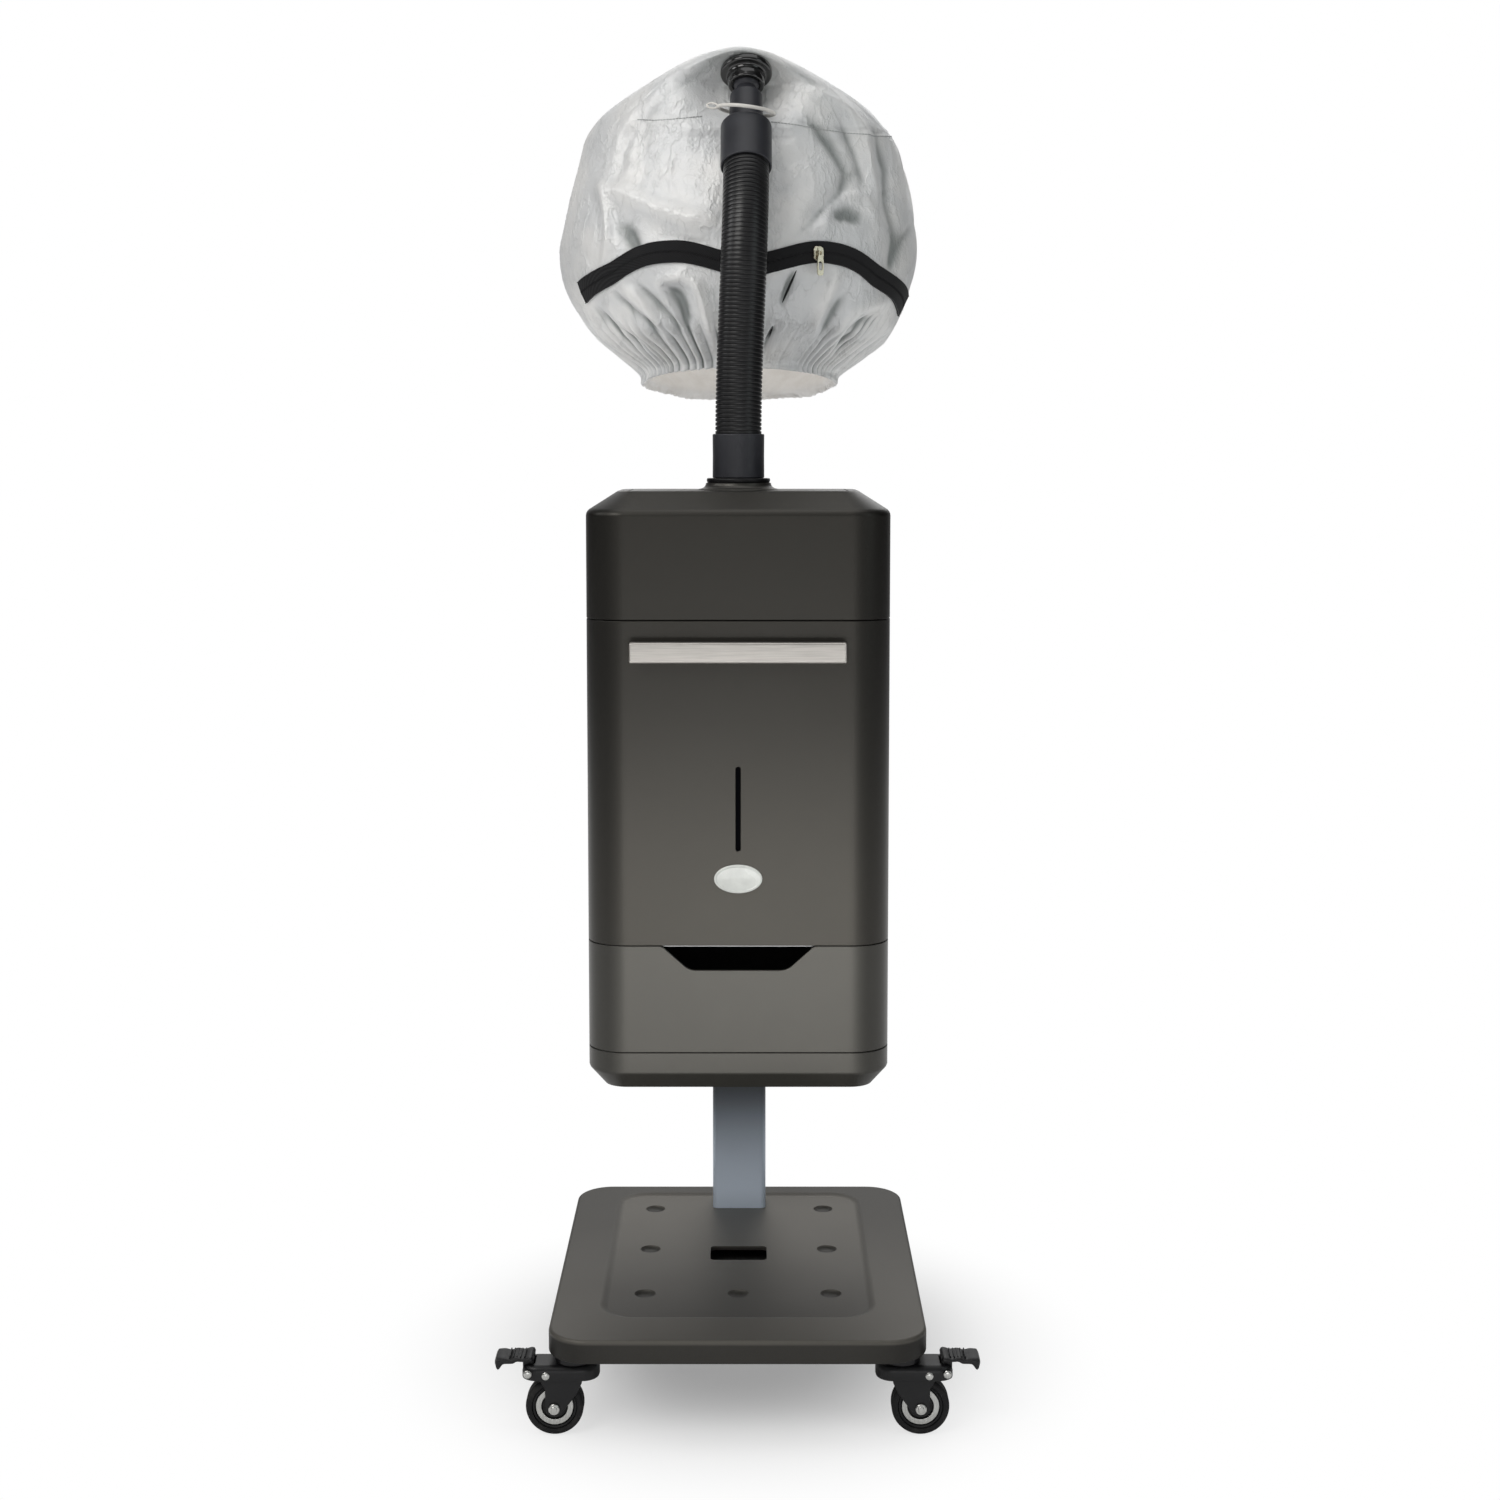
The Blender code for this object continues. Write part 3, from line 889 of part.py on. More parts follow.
def hood_flange():
    """The round flange that clamps the cloth; its collar holds the neck's ball."""
    seat = BALL_R + BALL_ROOM
    back = BALL_SEAT                        # heights are measured from the ball's centre
    disc_low = back - FLANGE_T
    mouth = disc_low - COLLAR_L
    throat = math.sqrt(seat ** 2 - mouth ** 2) if abs(mouth) < seat else NECK_STEM_R + SLIDE
    bore = NECK_BORE_R + FLANGE_EDGE / 3
    top_of_seat = math.sqrt(seat ** 2 - bore ** 2)
    lip = back + HOOD_PAD + 2 * GAP
    profile = [(throat, mouth), (COLLAR_MOUTH_R, mouth), (COLLAR_R, mouth + FLANGE_EDGE),
               (COLLAR_R, disc_low), (FLANGE_R - FLANGE_EDGE, disc_low + FLANGE_EDGE / 8),
               (FLANGE_R - FLANGE_EDGE / 5, disc_low + FLANGE_EDGE * 0.6),
               (FLANGE_R, disc_low + FLANGE_EDGE * 1.2),
               (FLANGE_R - FLANGE_EDGE / 4, back - FLANGE_EDGE / 4), (FLANGE_R - FLANGE_EDGE * 0.75, back),
               (FLANGE_SPIGOT_R, back), (FLANGE_SPIGOT_R, lip), (FLANGE_LIP_R, lip),
               (FLANGE_LIP_R, lip + FLANGE_LIP_T), (bore, lip + FLANGE_LIP_T)]
    profile += sphere_profile(seat, 0.0, mouth, top_of_seat)[:0:-1]
    pivot = NECK_FOOT + NECK_AXIS * BALL_AT
    piece("hood_flange", turned(profile, NECK_SIDES, closed=True), "gloss_black", at=pivot,
          turn=(-LEAN_RAD, 0, 0))


# ---------------------------------------------------------------- cloth hood
def blend_stations(t):
    """Height, half width, front reach and back reach at a place t along the hood's stations."""
    last = len(HOOD_STATIONS) - 1
    t = min(max(t, 0.0), float(last))
    k = min(int(t), last - 1)
    f = t - k
    p0, p1 = HOOD_STATIONS[max(k - 1, 0)], HOOD_STATIONS[k]
    p2, p3 = HOOD_STATIONS[k + 1], HOOD_STATIONS[min(k + 2, last)]
    return [0.5 * (2 * b + (c - a) * f + (2 * a - 5 * b + 4 * c - d) * f * f
                   + (3 * b - a - 3 * c + d) * f ** 3) for a, b, c, d in zip(p0, p1, p2, p3)]


def ridge(angle, z, at_angle, at_z, slope, length, width):
    """A soft bump along a slanted line on the cloth: 1 on the line, fading to its sides and ends."""
    across = (angle - at_angle) - slope * (z - at_z)
    return math.exp(-(across / width) ** 2) * math.exp(-((z - at_z) / length) ** 2)


def fold_depth(angle, z):
    """How far the cloth stands in (-) or out (+) at an angle from the front, in degrees."""
    rim = min(max((GATHER_TOP - z) / (GATHER_TOP - HOOD_STATIONS[1][0]), 0.0), 1.0)
    depth = GATHER_DEPTH * rim * math.cos(math.radians(angle) * GATHERS)
    for height, *line in FOLDS:
        depth += height * ridge(angle, z, *line)
    return depth


def hood_point(t, angle, inset=0.0, folds=True):
    """A point on the hood; the angle is in degrees from the front, positive to the right."""
    z, half, near, far = blend_stations(t)
    turn = math.radians(angle)
    push = (fold_depth(angle, z) if folds else 0.0) - inset
    half, depth = half + push, (far - near) / 2 + push
    y = (near + far) / 2 - depth * math.cos(turn)
    tilt = min(max((HOOD_TILT_END - z) / (HOOD_TILT_END - HOOD_STATIONS[0][0]), 0.0), 1.0)
    z -= HOOD_TILT * tilt * (y - HOOD_REACH)
    return Vector((half * math.sin(turn), HOSE_Y + y, z))


def hood_solid(sides, places, inset, folds):
    rings = []
    for t in places:
        rings.append([hood_point(t, 360 * i / sides, inset, folds) for i in range(sides)])
    return rings


def hood_places(count):
    last = len(HOOD_STATIONS) - 1
    return [last * step / (count - 1) for step in range(count)]


def crown_ring(sides, drop, share):
    """A small ring that rounds off the crown."""
    top_z, top_y = HOOD_TOP
    z, half, near, far = HOOD_STATIONS[-1]
    middle = (near + far) / 2
    half, depth = half * share, (far - near) / 2 * share
    y = top_y + (middle - top_y) * share
    return [Vector((half * math.sin(TURN * i / sides), HOSE_Y + y - depth * math.cos(TURN * i / sides),
                    top_z - drop)) for i in range(sides)]


def neck_guide(radius, back):
    """A round bar along the neck's axis, from below the cuff to a place along the neck."""
    return disc(radius, -UPPER_CUFF_L, back, GUIDE_SIDES)


def hood_shell():
    outer = hood_solid(HOOD_SIDES, hood_places(HOOD_RINGS), 0.0, True)
    outer.append(crown_ring(HOOD_SIDES, 0.0, CROWN_SHARE))
    hood = piece("hood_shell", loft(outer), "silver_cloth", smooth=60)
    along = {"at": NECK_FOOT, "turn": (-LEAN_RAD, 0, 0)}
    cut(hood, neck_guide(FLANGE_R + HOOD_RELIEF, FLANGE_BACK + GAP), **along)

    lining = hood_solid(HOOD_LINING_SIDES, hood_places(LINING_RINGS)[:-1], HOOD_CLOTH, False)
    below = [point - Vector((0, 0, HOOD_MOUTH_CUT)) for point in lining[0]]
    high = crown_ring(HOOD_LINING_SIDES, HOOD_CLOTH * 0.8, LINING_CROWN_SHARE)
    cavity = helper(loft([below] + lining + [high]))
    relief = FLANGE_R + HOOD_RELIEF + HOOD_CLOTH * 0.7
    shape(cavity, helper(neck_guide(relief, FLANGE_BACK + GAP + HOOD_PAD), **along), 'DIFFERENCE')
    shape(hood, cavity, 'DIFFERENCE')
    cut(hood, disc(FLANGE_SPIGOT_R + GAP, FLANGE_BACK - SWELL, FLANGE_BACK + 2 * HOOD_PAD), **along)


def along_line(line, angle):
    """A smooth height along a line of (angle, height) points."""
    for (a0, z0), (a1, z1) in zip(line, line[1:]):
        if angle <= a1:
            share = min(max((angle - a0) / (a1 - a0), 0.0), 1.0)
            share = share * share * (3 - 2 * share)
            return z0 + (z1 - z0) * share
    return line[-1][1]


def place_at_height(angle, z):
    """Where along the stations the hood's surface reaches a height, at one angle."""
    low, high = 0.0, float(len(HOOD_STATIONS) - 1)
    for _ in range(40):
        middle = (low + high) / 2
        if hood_point(middle, angle).z < z:
            low = middle
        else:
            high = middle
    return (low + high) / 2


def hood_cover_point(angle, z, lift):
    return hood_point(place_at_height(angle, z), angle, inset=-lift)


def zip_tape():
    step = 360 / HOOD_SIDES
    first, last = math.ceil(ZIP_FROM / step), math.floor(ZIP_TO / step)
    rings = []
    for i in range(first, last + 1):
        angle = i * step
        middle = along_line(ZIP_LINE, angle)
        low, high = middle - ZIP_W / 2, middle + ZIP_W / 2
        rings.append([hood_cover_point(angle, z, ZIP_LIFT) for z in (low, middle, high)]
                     + [hood_cover_point(angle, z, ZIP_LIFT + ZIP_T) for z in (high, middle, low)])
    piece("zip_tape", loft(rings), "zip_black")


def zip_pull():
    """The slider on the zip, and the pull that hangs from its bridge."""
    z = along_line(ZIP_LINE, PULL_ANGLE)
    face = ZIP_LIFT + ZIP_T + GAP + ZIP_SAG
    seat = hood_cover_point(PULL_ANGLE, z, face)
    out = (hood_cover_point(PULL_ANGLE, z, face + SLIDER_T) - seat).normalized()
    heading = math.atan2(out.x, -out.y)
    rig = place("zip_rig", None, at=seat, turn=(0, 0, heading))
    slider = box(SLIDER_W, SLIDER_T, SLIDER_H, y=-SLIDER_T / 2, z=-SLIDER_H / 2)
    piece("zip_slider", slider, "zip_brass", parent=rig)
    pull = box(PULL_W, PULL_T, PULL_H, z=-PULL_H)
    tab = piece("zip_pull", pull, "zip_brass", parent=rig,
                at=(0, -SLIDER_T - SLIDE - PULL_T / 2, PULL_ABOVE))
    cut(tab, disc(PULL_HOLE_R, -PULL_T, PULL_T, PIN_SIDES), parent=tab, at=(0, 0, PULL_HOLE_UP - PULL_H),
        turn=ALONG_Y)


# ---------------------------------------------------------------- the machine
def build():
    clear_scene()
    base_deck()
    chassis_plate()
    column()
    casters()
    bottom_tray()
    back_shell()
    shelf("mid_shelf", SHELF_Z, WALL + GAP + SIGHT_PLATE_T)
    shelf("upper_shelf", UPPER_SHELF_Z, WALL + GAP)
    top_cover()
    tank_front()
    tool_drawer()
    water_tank()
    air_system()
    control_board()
    rear_fittings()
    hose_socket()
    cuffs()
    hose()
    neck()
    neck_ring()
    hood_flange()
    hood_shell()
    zip_tape()
    zip_pull()


build()
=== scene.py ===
"""The looks of a hood hair dryer on a wheeled stand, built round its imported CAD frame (metres, +Z up).

The machine's front looks along -Y.  Rigid covers are rebuilt finely over their CAD nodes, the
cloth hood is one gathered sheet with its lining, and every carried-over node gets a finish.
"""
import json
import math

import bmesh
import bpy
import numpy as np
from mathutils import Matrix, Vector

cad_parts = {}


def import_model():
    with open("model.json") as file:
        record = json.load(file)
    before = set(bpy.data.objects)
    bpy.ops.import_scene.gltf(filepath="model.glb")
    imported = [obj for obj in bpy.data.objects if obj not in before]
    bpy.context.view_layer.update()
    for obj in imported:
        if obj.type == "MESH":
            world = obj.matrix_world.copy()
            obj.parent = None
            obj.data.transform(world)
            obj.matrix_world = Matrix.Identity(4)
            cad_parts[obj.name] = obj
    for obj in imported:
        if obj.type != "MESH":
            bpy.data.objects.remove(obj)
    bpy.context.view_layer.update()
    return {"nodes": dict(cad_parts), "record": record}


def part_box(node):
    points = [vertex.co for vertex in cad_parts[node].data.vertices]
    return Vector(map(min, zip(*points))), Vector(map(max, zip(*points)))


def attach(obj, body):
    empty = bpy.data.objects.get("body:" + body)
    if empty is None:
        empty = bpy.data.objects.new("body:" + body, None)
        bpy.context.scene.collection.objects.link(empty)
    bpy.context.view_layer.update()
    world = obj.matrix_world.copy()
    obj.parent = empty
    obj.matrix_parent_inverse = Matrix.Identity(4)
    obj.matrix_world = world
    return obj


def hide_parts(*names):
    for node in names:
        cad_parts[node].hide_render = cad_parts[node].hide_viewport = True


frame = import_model()
NODES = frame["nodes"]
BODY_OF = {node: body for body, nodes in frame["record"]["behaviour"]["bodies"].items() for node in nodes}
TURN = 2 * math.pi

# ---------------------------------------------------------------- sizes (metres), as in the part's source
WALL = 0.004
EASE = 0.0008               # softened edge of a pressed or moulded cover
ARC = 12                    # steps in a quarter of a round corner

DECK_R, PANEL_R, PANEL_SINK, PANEL_SLOPE = 0.043, 0.040, 0.003, 0.011
PANEL_SIDE, PANEL_FRONT, PANEL_BACK = 0.052, 0.063, 0.024
SPARE_FROM_FRONT, COLUMN_W, COLUMN_D, COLUMN_R = 0.263, 0.066, 0.044, 0.006
DIMPLE_R, DIMPLE_DEPTH = 0.012, 0.0036
DIMPLE_PITCH_X, DIMPLE_PITCH_Y, DIMPLE_FIRST = 0.105, 0.137, 0.139

CABINET_R = 0.045
FOOT_CHAMFER_H, FOOT_CHAMFER = 0.021, 0.0185
TOP_CHAMFER_H, TOP_CHAMFER, COVER_EDGE = 0.0217, 0.036, 0.006
TOP_PANEL_MARGIN_X, TOP_PANEL_MARGIN_Y, TOP_PANEL_R, TOP_PANEL_T = 0.011, 0.010, 0.014, 0.003
NOTCH_TOP_W, NOTCH_FOOT_W, NOTCH_H = 0.173, 0.113, 0.028
SIGHT_W, SIGHT_H = 0.0048, 0.096
BAR_BOSS_R, BAR_BOSS_X, BAR_T, BAR_R = 0.007, 0.095, 0.012, 0.003
BOLT_HOLE_R, BOLT_DROP = 0.0043, 0.060      # the column's bolt holes, and how far they lie below its top
SOCKET_HOLE_R = 0.0303      # the hole for the hose socket in the cabinet's top
LIP = 0.005                 # how far a rear fitting's frame laps over its hole

LEAN = math.radians(30)     # the neck's lean, back from upright
BEND_R, SIDE_LEAN = 0.240, 0.009
HOSE_R, HOSE_GROOVE, HOSE_BORE_R, HOSE_RIBS = 0.0270, 0.0014, 0.0222, 64
CUFF_R, CUFF_T, CUFF_H, UPPER_CUFF_L, UPPER_CUFF_RIM = 0.0302, 0.0027, 0.051, 0.060, 0.006
NECK_TUBE_R, NECK_BORE_R, NECK_INSERT, NECK_REACH = 0.0203, 0.009, 0.020, 0.0835
BALL_R, BALL_SEAT, BALL_ROOM = 0.0175, 0.016, 0.0010
FLANGE_R, FLANGE_T, COLLAR_R, COLLAR_L = 0.031, 0.009, 0.0225, 0.016

# Two slits in the hood's front, painted near-black as the shade in their openings: a line in X and Z, and
# half the slit's width.
HOOD_SLITS = ((((0.069, 1.281), (0.052, 1.243)), 0.0014), (((0.041, 1.216), (0.029, 1.190)), 0.0020))
RING_R, RING_WIRE, RING_ROLL, RING_UP, RING_BACK = 0.0335, 0.0022, math.radians(7), 0.0035, 0.004

# ---------------------------------------------------------------- places, from the frame
DECK_LOW, DECK_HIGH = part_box("base_deck")
TRAY_LOW, TRAY_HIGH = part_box("bottom_tray")
COVER_LOW, COVER_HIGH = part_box("top_cover")
TANK_FRONT_LOW, TANK_FRONT_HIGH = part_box("tank_front")
CABINET_W, CABINET_D = COVER_HIGH.x - COVER_LOW.x, COVER_HIGH.y - COVER_LOW.y
CABINET_Y = (COVER_HIGH.y + COVER_LOW.y) / 2
CABINET_FRONT, CABINET_BACK = COVER_LOW.y, COVER_HIGH.y
HOSE_Y = CABINET_Y
CUFF_FOOT_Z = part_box("lower_cuff")[0].z
HOSE_TOP = 1.3962
NECK_FOOT = Vector((SIDE_LEAN, HOSE_Y + BEND_R * (1 - math.cos(LEAN)), HOSE_TOP))
NECK_AXIS = Vector((0, math.sin(LEAN), math.cos(LEAN)))
FLANGE_BACK = UPPER_CUFF_L + NECK_REACH
BALL_AT = FLANGE_BACK - BALL_SEAT
ALONG_NECK = Matrix.Translation(NECK_FOOT) @ Matrix.Rotation(-LEAN, 4, 'X')
ALONG_Y = Matrix.Rotation(-math.pi / 2, 4, 'X')


# ---------------------------------------------------------------- finishes
class Sum:
    """A socket whose arithmetic adds Math nodes."""

    def __init__(self, finish, socket):
        self.finish, self.socket = finish, socket

    def maths(self, operation, *others):
        return self.finish.node("ShaderNodeMath", {"operation": operation}, *((self,) + others))["Value"]

    def __add__(self, other):
        return self.maths('ADD', other)

    __radd__ = __add__

    def __mul__(self, other):
        return self.maths('MULTIPLY', other)

    __rmul__ = __mul__

    def __sub__(self, other):
        return self.maths('SUBTRACT', other)

    def __rsub__(self, other):
        return self.finish.node("ShaderNodeMath", {"operation": 'SUBTRACT'}, other, self)["Value"]

    def __truediv__(self, other):
        return self.maths('DIVIDE', other)

    def __pow__(self, other):
        return self.maths('POWER', other)

    def over(self, other):
        return self.maths('GREATER_THAN', other)

    def waves(self):
        return self.maths('SINE')

    def kept_within(self, low, high):
        return self.finish.node("ShaderNodeClamp", {}, self, low, high)["Result"]

    def rises(self, low, high):
        """0 below low, 1 above high, and smooth between them."""
        return self.finish.node("ShaderNodeMapRange", {"interpolation_type": 'SMOOTHSTEP'},
                                self, low, high, 0.0, 1.0)["Result"]


class Outputs:
    def __init__(self, finish, node):
        self.finish, self.node = finish, node

    def __getitem__(self, name):
        return Sum(self.finish, self.node.outputs[name])


class Finish:
    """One procedural material.  Colours are linear; patterns read Object coordinates."""

    def __init__(self, name, colour, roughness, metallic=0.0, **fixed):
        self.material = bpy.data.materials.new(name)
        self.material.use_nodes = True
        self.tree = self.material.node_tree
        self.shader = self.tree.nodes["Principled BSDF"]
        self.colour = colour
        settings = {"Base Color": (*colour, 1), "Roughness": roughness, "Metallic": metallic, **fixed}
        for socket, value in settings.items():
            self.shader.inputs[socket.replace("_", " ")].default_value = value
        self.at = self.node("ShaderNodeTexCoord")["Object"]

    def node(self, kind, settings=None, *values, **named):
        """A node of any type: its settings first, then what feeds its sockets, in order or by name."""
        node = self.tree.nodes.new(kind)
        for name, value in (settings or {}).items():
            setattr(node, name, value)
        sockets = list(zip(node.inputs, values))
        sockets += [(node.inputs[name.replace("_", " ")], value) for name, value in named.items()]
        for socket, value in sockets:
            if isinstance(value, Sum):
                self.tree.links.new(value.socket, socket)
            else:
                socket.default_value = value
        return Outputs(self, node)

    def feed(self, socket, value):
        self.tree.links.new(value.socket, self.shader.inputs[socket])

    def stretched(self, x, y, z):
        return self.node("ShaderNodeMapping", {}, Vector=self.at, Scale=(x, y, z))["Vector"]

    def noise(self, scale, detail=3.0, rough=0.5, at=None):
        return self.node("ShaderNodeTexNoise", {}, Vector=at or self.at, Scale=scale, Detail=detail,
                         Roughness=rough)["Fac"]

    def mixed(self, factor, first, second, blend='MIX'):
        """A colour between two; each is a link or a linear colour."""
        node = self.tree.nodes.new("ShaderNodeMix")
        node.data_type, node.blend_type = 'RGBA', blend
        for index, value in ((0, factor), (6, first), (7, second)):
            if isinstance(value, Sum):
                self.tree.links.new(value.socket, node.inputs[index])
            else:
                node.inputs[index].default_value = value if index == 0 else (*value, 1)
        return Sum(self, node.outputs[2])

    def split(self, vector=None):
        parts = self.node("ShaderNodeSeparateXYZ", {}, vector or self.at)
        return parts["X"], parts["Y"], parts["Z"]

    def slit(self, x, z, line, half_width):
        """1 within a straight slit, seen from the front, that tapers to its two ends."""
        (x0, z0), (x1, z1) = line
        length = math.hypot(x1 - x0, z1 - z0)
        way_x, way_z = (x1 - x0) / length, (z1 - z0) / length
        share = ((x - x0) * way_x + (z - z0) * way_z).kept_within(0.0, length)
        off_x, off_z = x - x0 - share * way_x, z - z0 - share * way_z
        near_end = (share * (length - share) * (4 / length ** 2)) ** 0.5 + 0.05
        return ((off_x * off_x + off_z * off_z) ** 0.5 / near_end).rises(half_width * 1.25, half_width * 0.75)

    def bump(self, height, distance, strength=1.0):
        self.feed("Normal", self.node("ShaderNodeBump", {}, Height=height, Distance=distance,
                                      Strength=strength)["Normal"])

    def shade(self, share):
        return tuple(c * share for c in self.colour)


def lacquered(paint, tone, flakes, bright, roughness):
    """Gives a paint its flakes, its faint orange peel and its uneven gloss, over a tone."""
    flake = paint.noise(2600, 2, 0.7)
    paint.feed("Base Color", paint.mixed(flake.rises(0.58, 0.75) * flakes, tone, paint.shade(bright)))
    paint.feed("Roughness", paint.noise(7, 3) * 0.08 + roughness)
    paint.bump(paint.noise(420, 2) * 0.6 + flake * 0.4, 0.00006, 0.6)
    return paint.material


def painted_metal(name, colour):
    """Metallic lacquer on the cabinet, with painted shade: darker towards its top and at its rounded corners.
    """
    paint = Finish(name, colour, 0.40, 0.75, Coat_Weight=0.12, Coat_Roughness=0.35)
    across, _, up = paint.split()
    drift = paint.noise(7, 3)
    tone = paint.mixed(drift.rises(0.35, 0.7), paint.shade(0.95), paint.shade(1.05))
    # Painted shade: the tone darkens towards the cabinet's top, where less light falls.
    tone = paint.mixed(up.rises(0.50, 0.84), tone, paint.shade(0.44))
    # Painted shade on the rounded corners, standing for the dark reflections at the cabinet's sides.
    flat_to = CABINET_W / 2 - CABINET_R
    corner = across.maths('ABSOLUTE').rises(flat_to - 0.006, flat_to + 0.022)
    tone = paint.mixed(corner * 0.66, tone, paint.shade(0.12))
    return lacquered(paint, tone, flakes=0.35, bright=1.9, roughness=0.36)


def deck_paint(name, colour):
    """The deck's lacquer, with painted reflection and shade: the sunk panel is painted lighter than its rim
    at the back and darker in front, and the sides are painted darkest.
    """
    paint = Finish(name, colour, 0.50, 0.55, Coat_Weight=0.06, Coat_Roughness=0.45)
    x, y, z = paint.split()
    middle_y = (DECK_LOW.y + DECK_HIGH.y + PANEL_FRONT - PANEL_BACK) / 2
    half_w = (DECK_HIGH.x - DECK_LOW.x) / 2 - PANEL_SIDE - PANEL_R
    half_d = (DECK_HIGH.y - DECK_LOW.y - PANEL_FRONT - PANEL_BACK) / 2 - PANEL_R
    past_x = (x.maths('ABSOLUTE') - half_w).maths('MAXIMUM', 0.0)
    past_y = ((y - middle_y).maths('ABSOLUTE') - half_d).maths('MAXIMUM', 0.0)
    from_panel = (past_x * past_x + past_y * past_y) ** 0.5
    # Painted reflection on the top: the sunk panel lighter towards the back, its rim lighter towards the
    # front.
    back = y.rises(DECK_LOW.y + 0.06, DECK_HIGH.y - 0.06)
    rim = paint.mixed(back, paint.shade(1.00), paint.shade(0.62))
    sunk = paint.mixed(back, paint.shade(0.60), paint.shade(1.45))
    top = paint.mixed(from_panel.rises(PANEL_R - PANEL_SLOPE, PANEL_R + 0.002), sunk, rim)
    # Painted shade: the deck's front and side faces are dark, darkest at the outer sides.
    edge = x.maths('ABSOLUTE').rises(half_w, half_w + PANEL_SIDE + PANEL_R)
    side = paint.mixed(edge, paint.shade(0.34), paint.shade(0.18))
    tone = paint.mixed(z.rises(DECK_HIGH.z - 0.006, DECK_HIGH.z - 0.0025), side, top)
    return lacquered(paint, tone, flakes=0.25, bright=1.7, roughness=0.46)


def column_paint(name, colour):
    """Blue-grey lacquer on the column, with painted shade: darker towards the cabinet, where its shadow
    falls, and lighter at the foot.
    """
    paint = Finish(name, colour, 0.36, 0.50, Coat_Weight=0.12, Coat_Roughness=0.35)
    height = paint.split()[2].rises(DECK_HIGH.z + 0.015, TRAY_LOW.z - 0.050)
    # Painted shade: very light at the foot, very dark under the cabinet.
    tone = paint.mixed(height, paint.shade(2.30), paint.shade(0.09))
    return lacquered(paint, tone, flakes=0.05, bright=1.9, roughness=0.32)


def moulded_plastic(name, colour, roughness=0.45, grain=0.00005, **fixed):
    """Plastic from an etched mould: a fine grain, and handling that polishes it unevenly."""
    plastic = Finish(name, colour, roughness, 0.0, **fixed)
    rub = plastic.noise(28, 4)
    plastic.feed("Base Color", plastic.mixed(rub.rises(0.35, 0.7), plastic.shade(0.88), plastic.shade(1.12)))
    plastic.feed("Roughness", (rub - 0.5) * 0.16 + roughness)
    plastic.bump(plastic.noise(1500, 2, 0.6), grain)
    return plastic.material


def drawn_metal(name, colour, roughness=0.3, along=(1, 1, 1), marks=900):
    """Bright metal with the fine lines of its drawing or brushing, which run along the least scale."""
    metal = Finish(name, colour, roughness, 1.0)
    lines = metal.noise(marks, 3, 0.6, metal.stretched(*along))
    cloud = metal.noise(20, 3)
    metal.feed("Base Color", metal.mixed(lines.rises(0.3, 0.7), metal.shade(0.86), metal.shade(1.08)))
    metal.feed("Roughness", lines * 0.14 + cloud * 0.08 + (roughness - 0.11))
    metal.bump(lines, 0.00003)
    return metal.material


def rubber(name):
    """Tyre rubber: matt, with a grey bloom of dust that gathers in its grain."""
    tyre = Finish(name, (0.010, 0.010, 0.011), 0.72, Specular_IOR_Level=0.3)
    dust = tyre.noise(60, 5, 0.6)
    tyre.feed("Base Color", tyre.mixed(dust.rises(0.5, 0.75), (0.008, 0.008, 0.009), (0.022, 0.021, 0.020)))
    tyre.feed("Roughness", dust * 0.2 + 0.6)
    tyre.bump(tyre.noise(900, 2), 0.00012)
    return tyre.material


def silver_cloth(name):
    """Thin woven cloth with a silver coat: a fine weave, small sharp creases with painted shadow, a soft
    sheen, and painted shade and highlight from the folds.
    """
    cloth = Finish(name, (0.76, 0.765, 0.765), 0.44, 0.26, Sheen_Weight=0.2, Sheen_Roughness=0.4)
    x, y, z = cloth.split()
    threads = (x * 5200 + y * 5200).waves() * (z * 5200).waves()
    bent = cloth.noise(26, 4, 0.6, cloth.stretched(1, 1, 0.6))
    fine = cloth.noise(75, 3, 0.55)
    crease = 1 - (bent - 0.5).maths('ABSOLUTE') * 9
    small = 1 - (fine - 0.5).maths('ABSOLUTE') * 8
    worn = cloth.noise(13, 3)
    shadow = crease.kept_within(0, 1) ** 6
    tone = cloth.mixed(worn.rises(0.35, 0.7), (0.73, 0.74, 0.745), (0.84, 0.835, 0.82))
    tone = cloth.mixed(shadow * 0.16, tone, (0.40, 0.41, 0.41))
    # Painted highlight on the folds' ridges and painted shade in their hollows, in the gathers and round the
    # clamp, read from the fold attribute.
    fold = cloth.node("ShaderNodeAttribute", {"attribute_name": "fold"})["Fac"]
    tone = cloth.mixed(fold.rises(0.1, 0.9) * 0.6, tone, (0.90, 0.895, 0.88))
    tone = cloth.mixed((fold * -1.0).rises(0.05, 0.90) * 0.90, tone, (0.24, 0.26, 0.255))
    # Painted shade: the two slits are painted near-black, as the dark inside their openings.
    upper, lower = (cloth.slit(x, z, line, half_width) for line, half_width in HOOD_SLITS)
    slit = upper.maths('MAXIMUM', lower) * (y - HOSE_Y).rises(0.12, 0.11)
    cloth.feed("Base Color", cloth.mixed(slit, tone, (0.012, 0.012, 0.012)))
    cloth.feed("Roughness", worn * 0.12 + threads * 0.02 + 0.40)
    height = crease.kept_within(0, 1) ** 3 * 0.5 + small.kept_within(0, 1) ** 3 * 0.14 + bent * 0.8
    cloth.bump(height + threads * 0.03, 0.0022, 0.6)
    return cloth.material


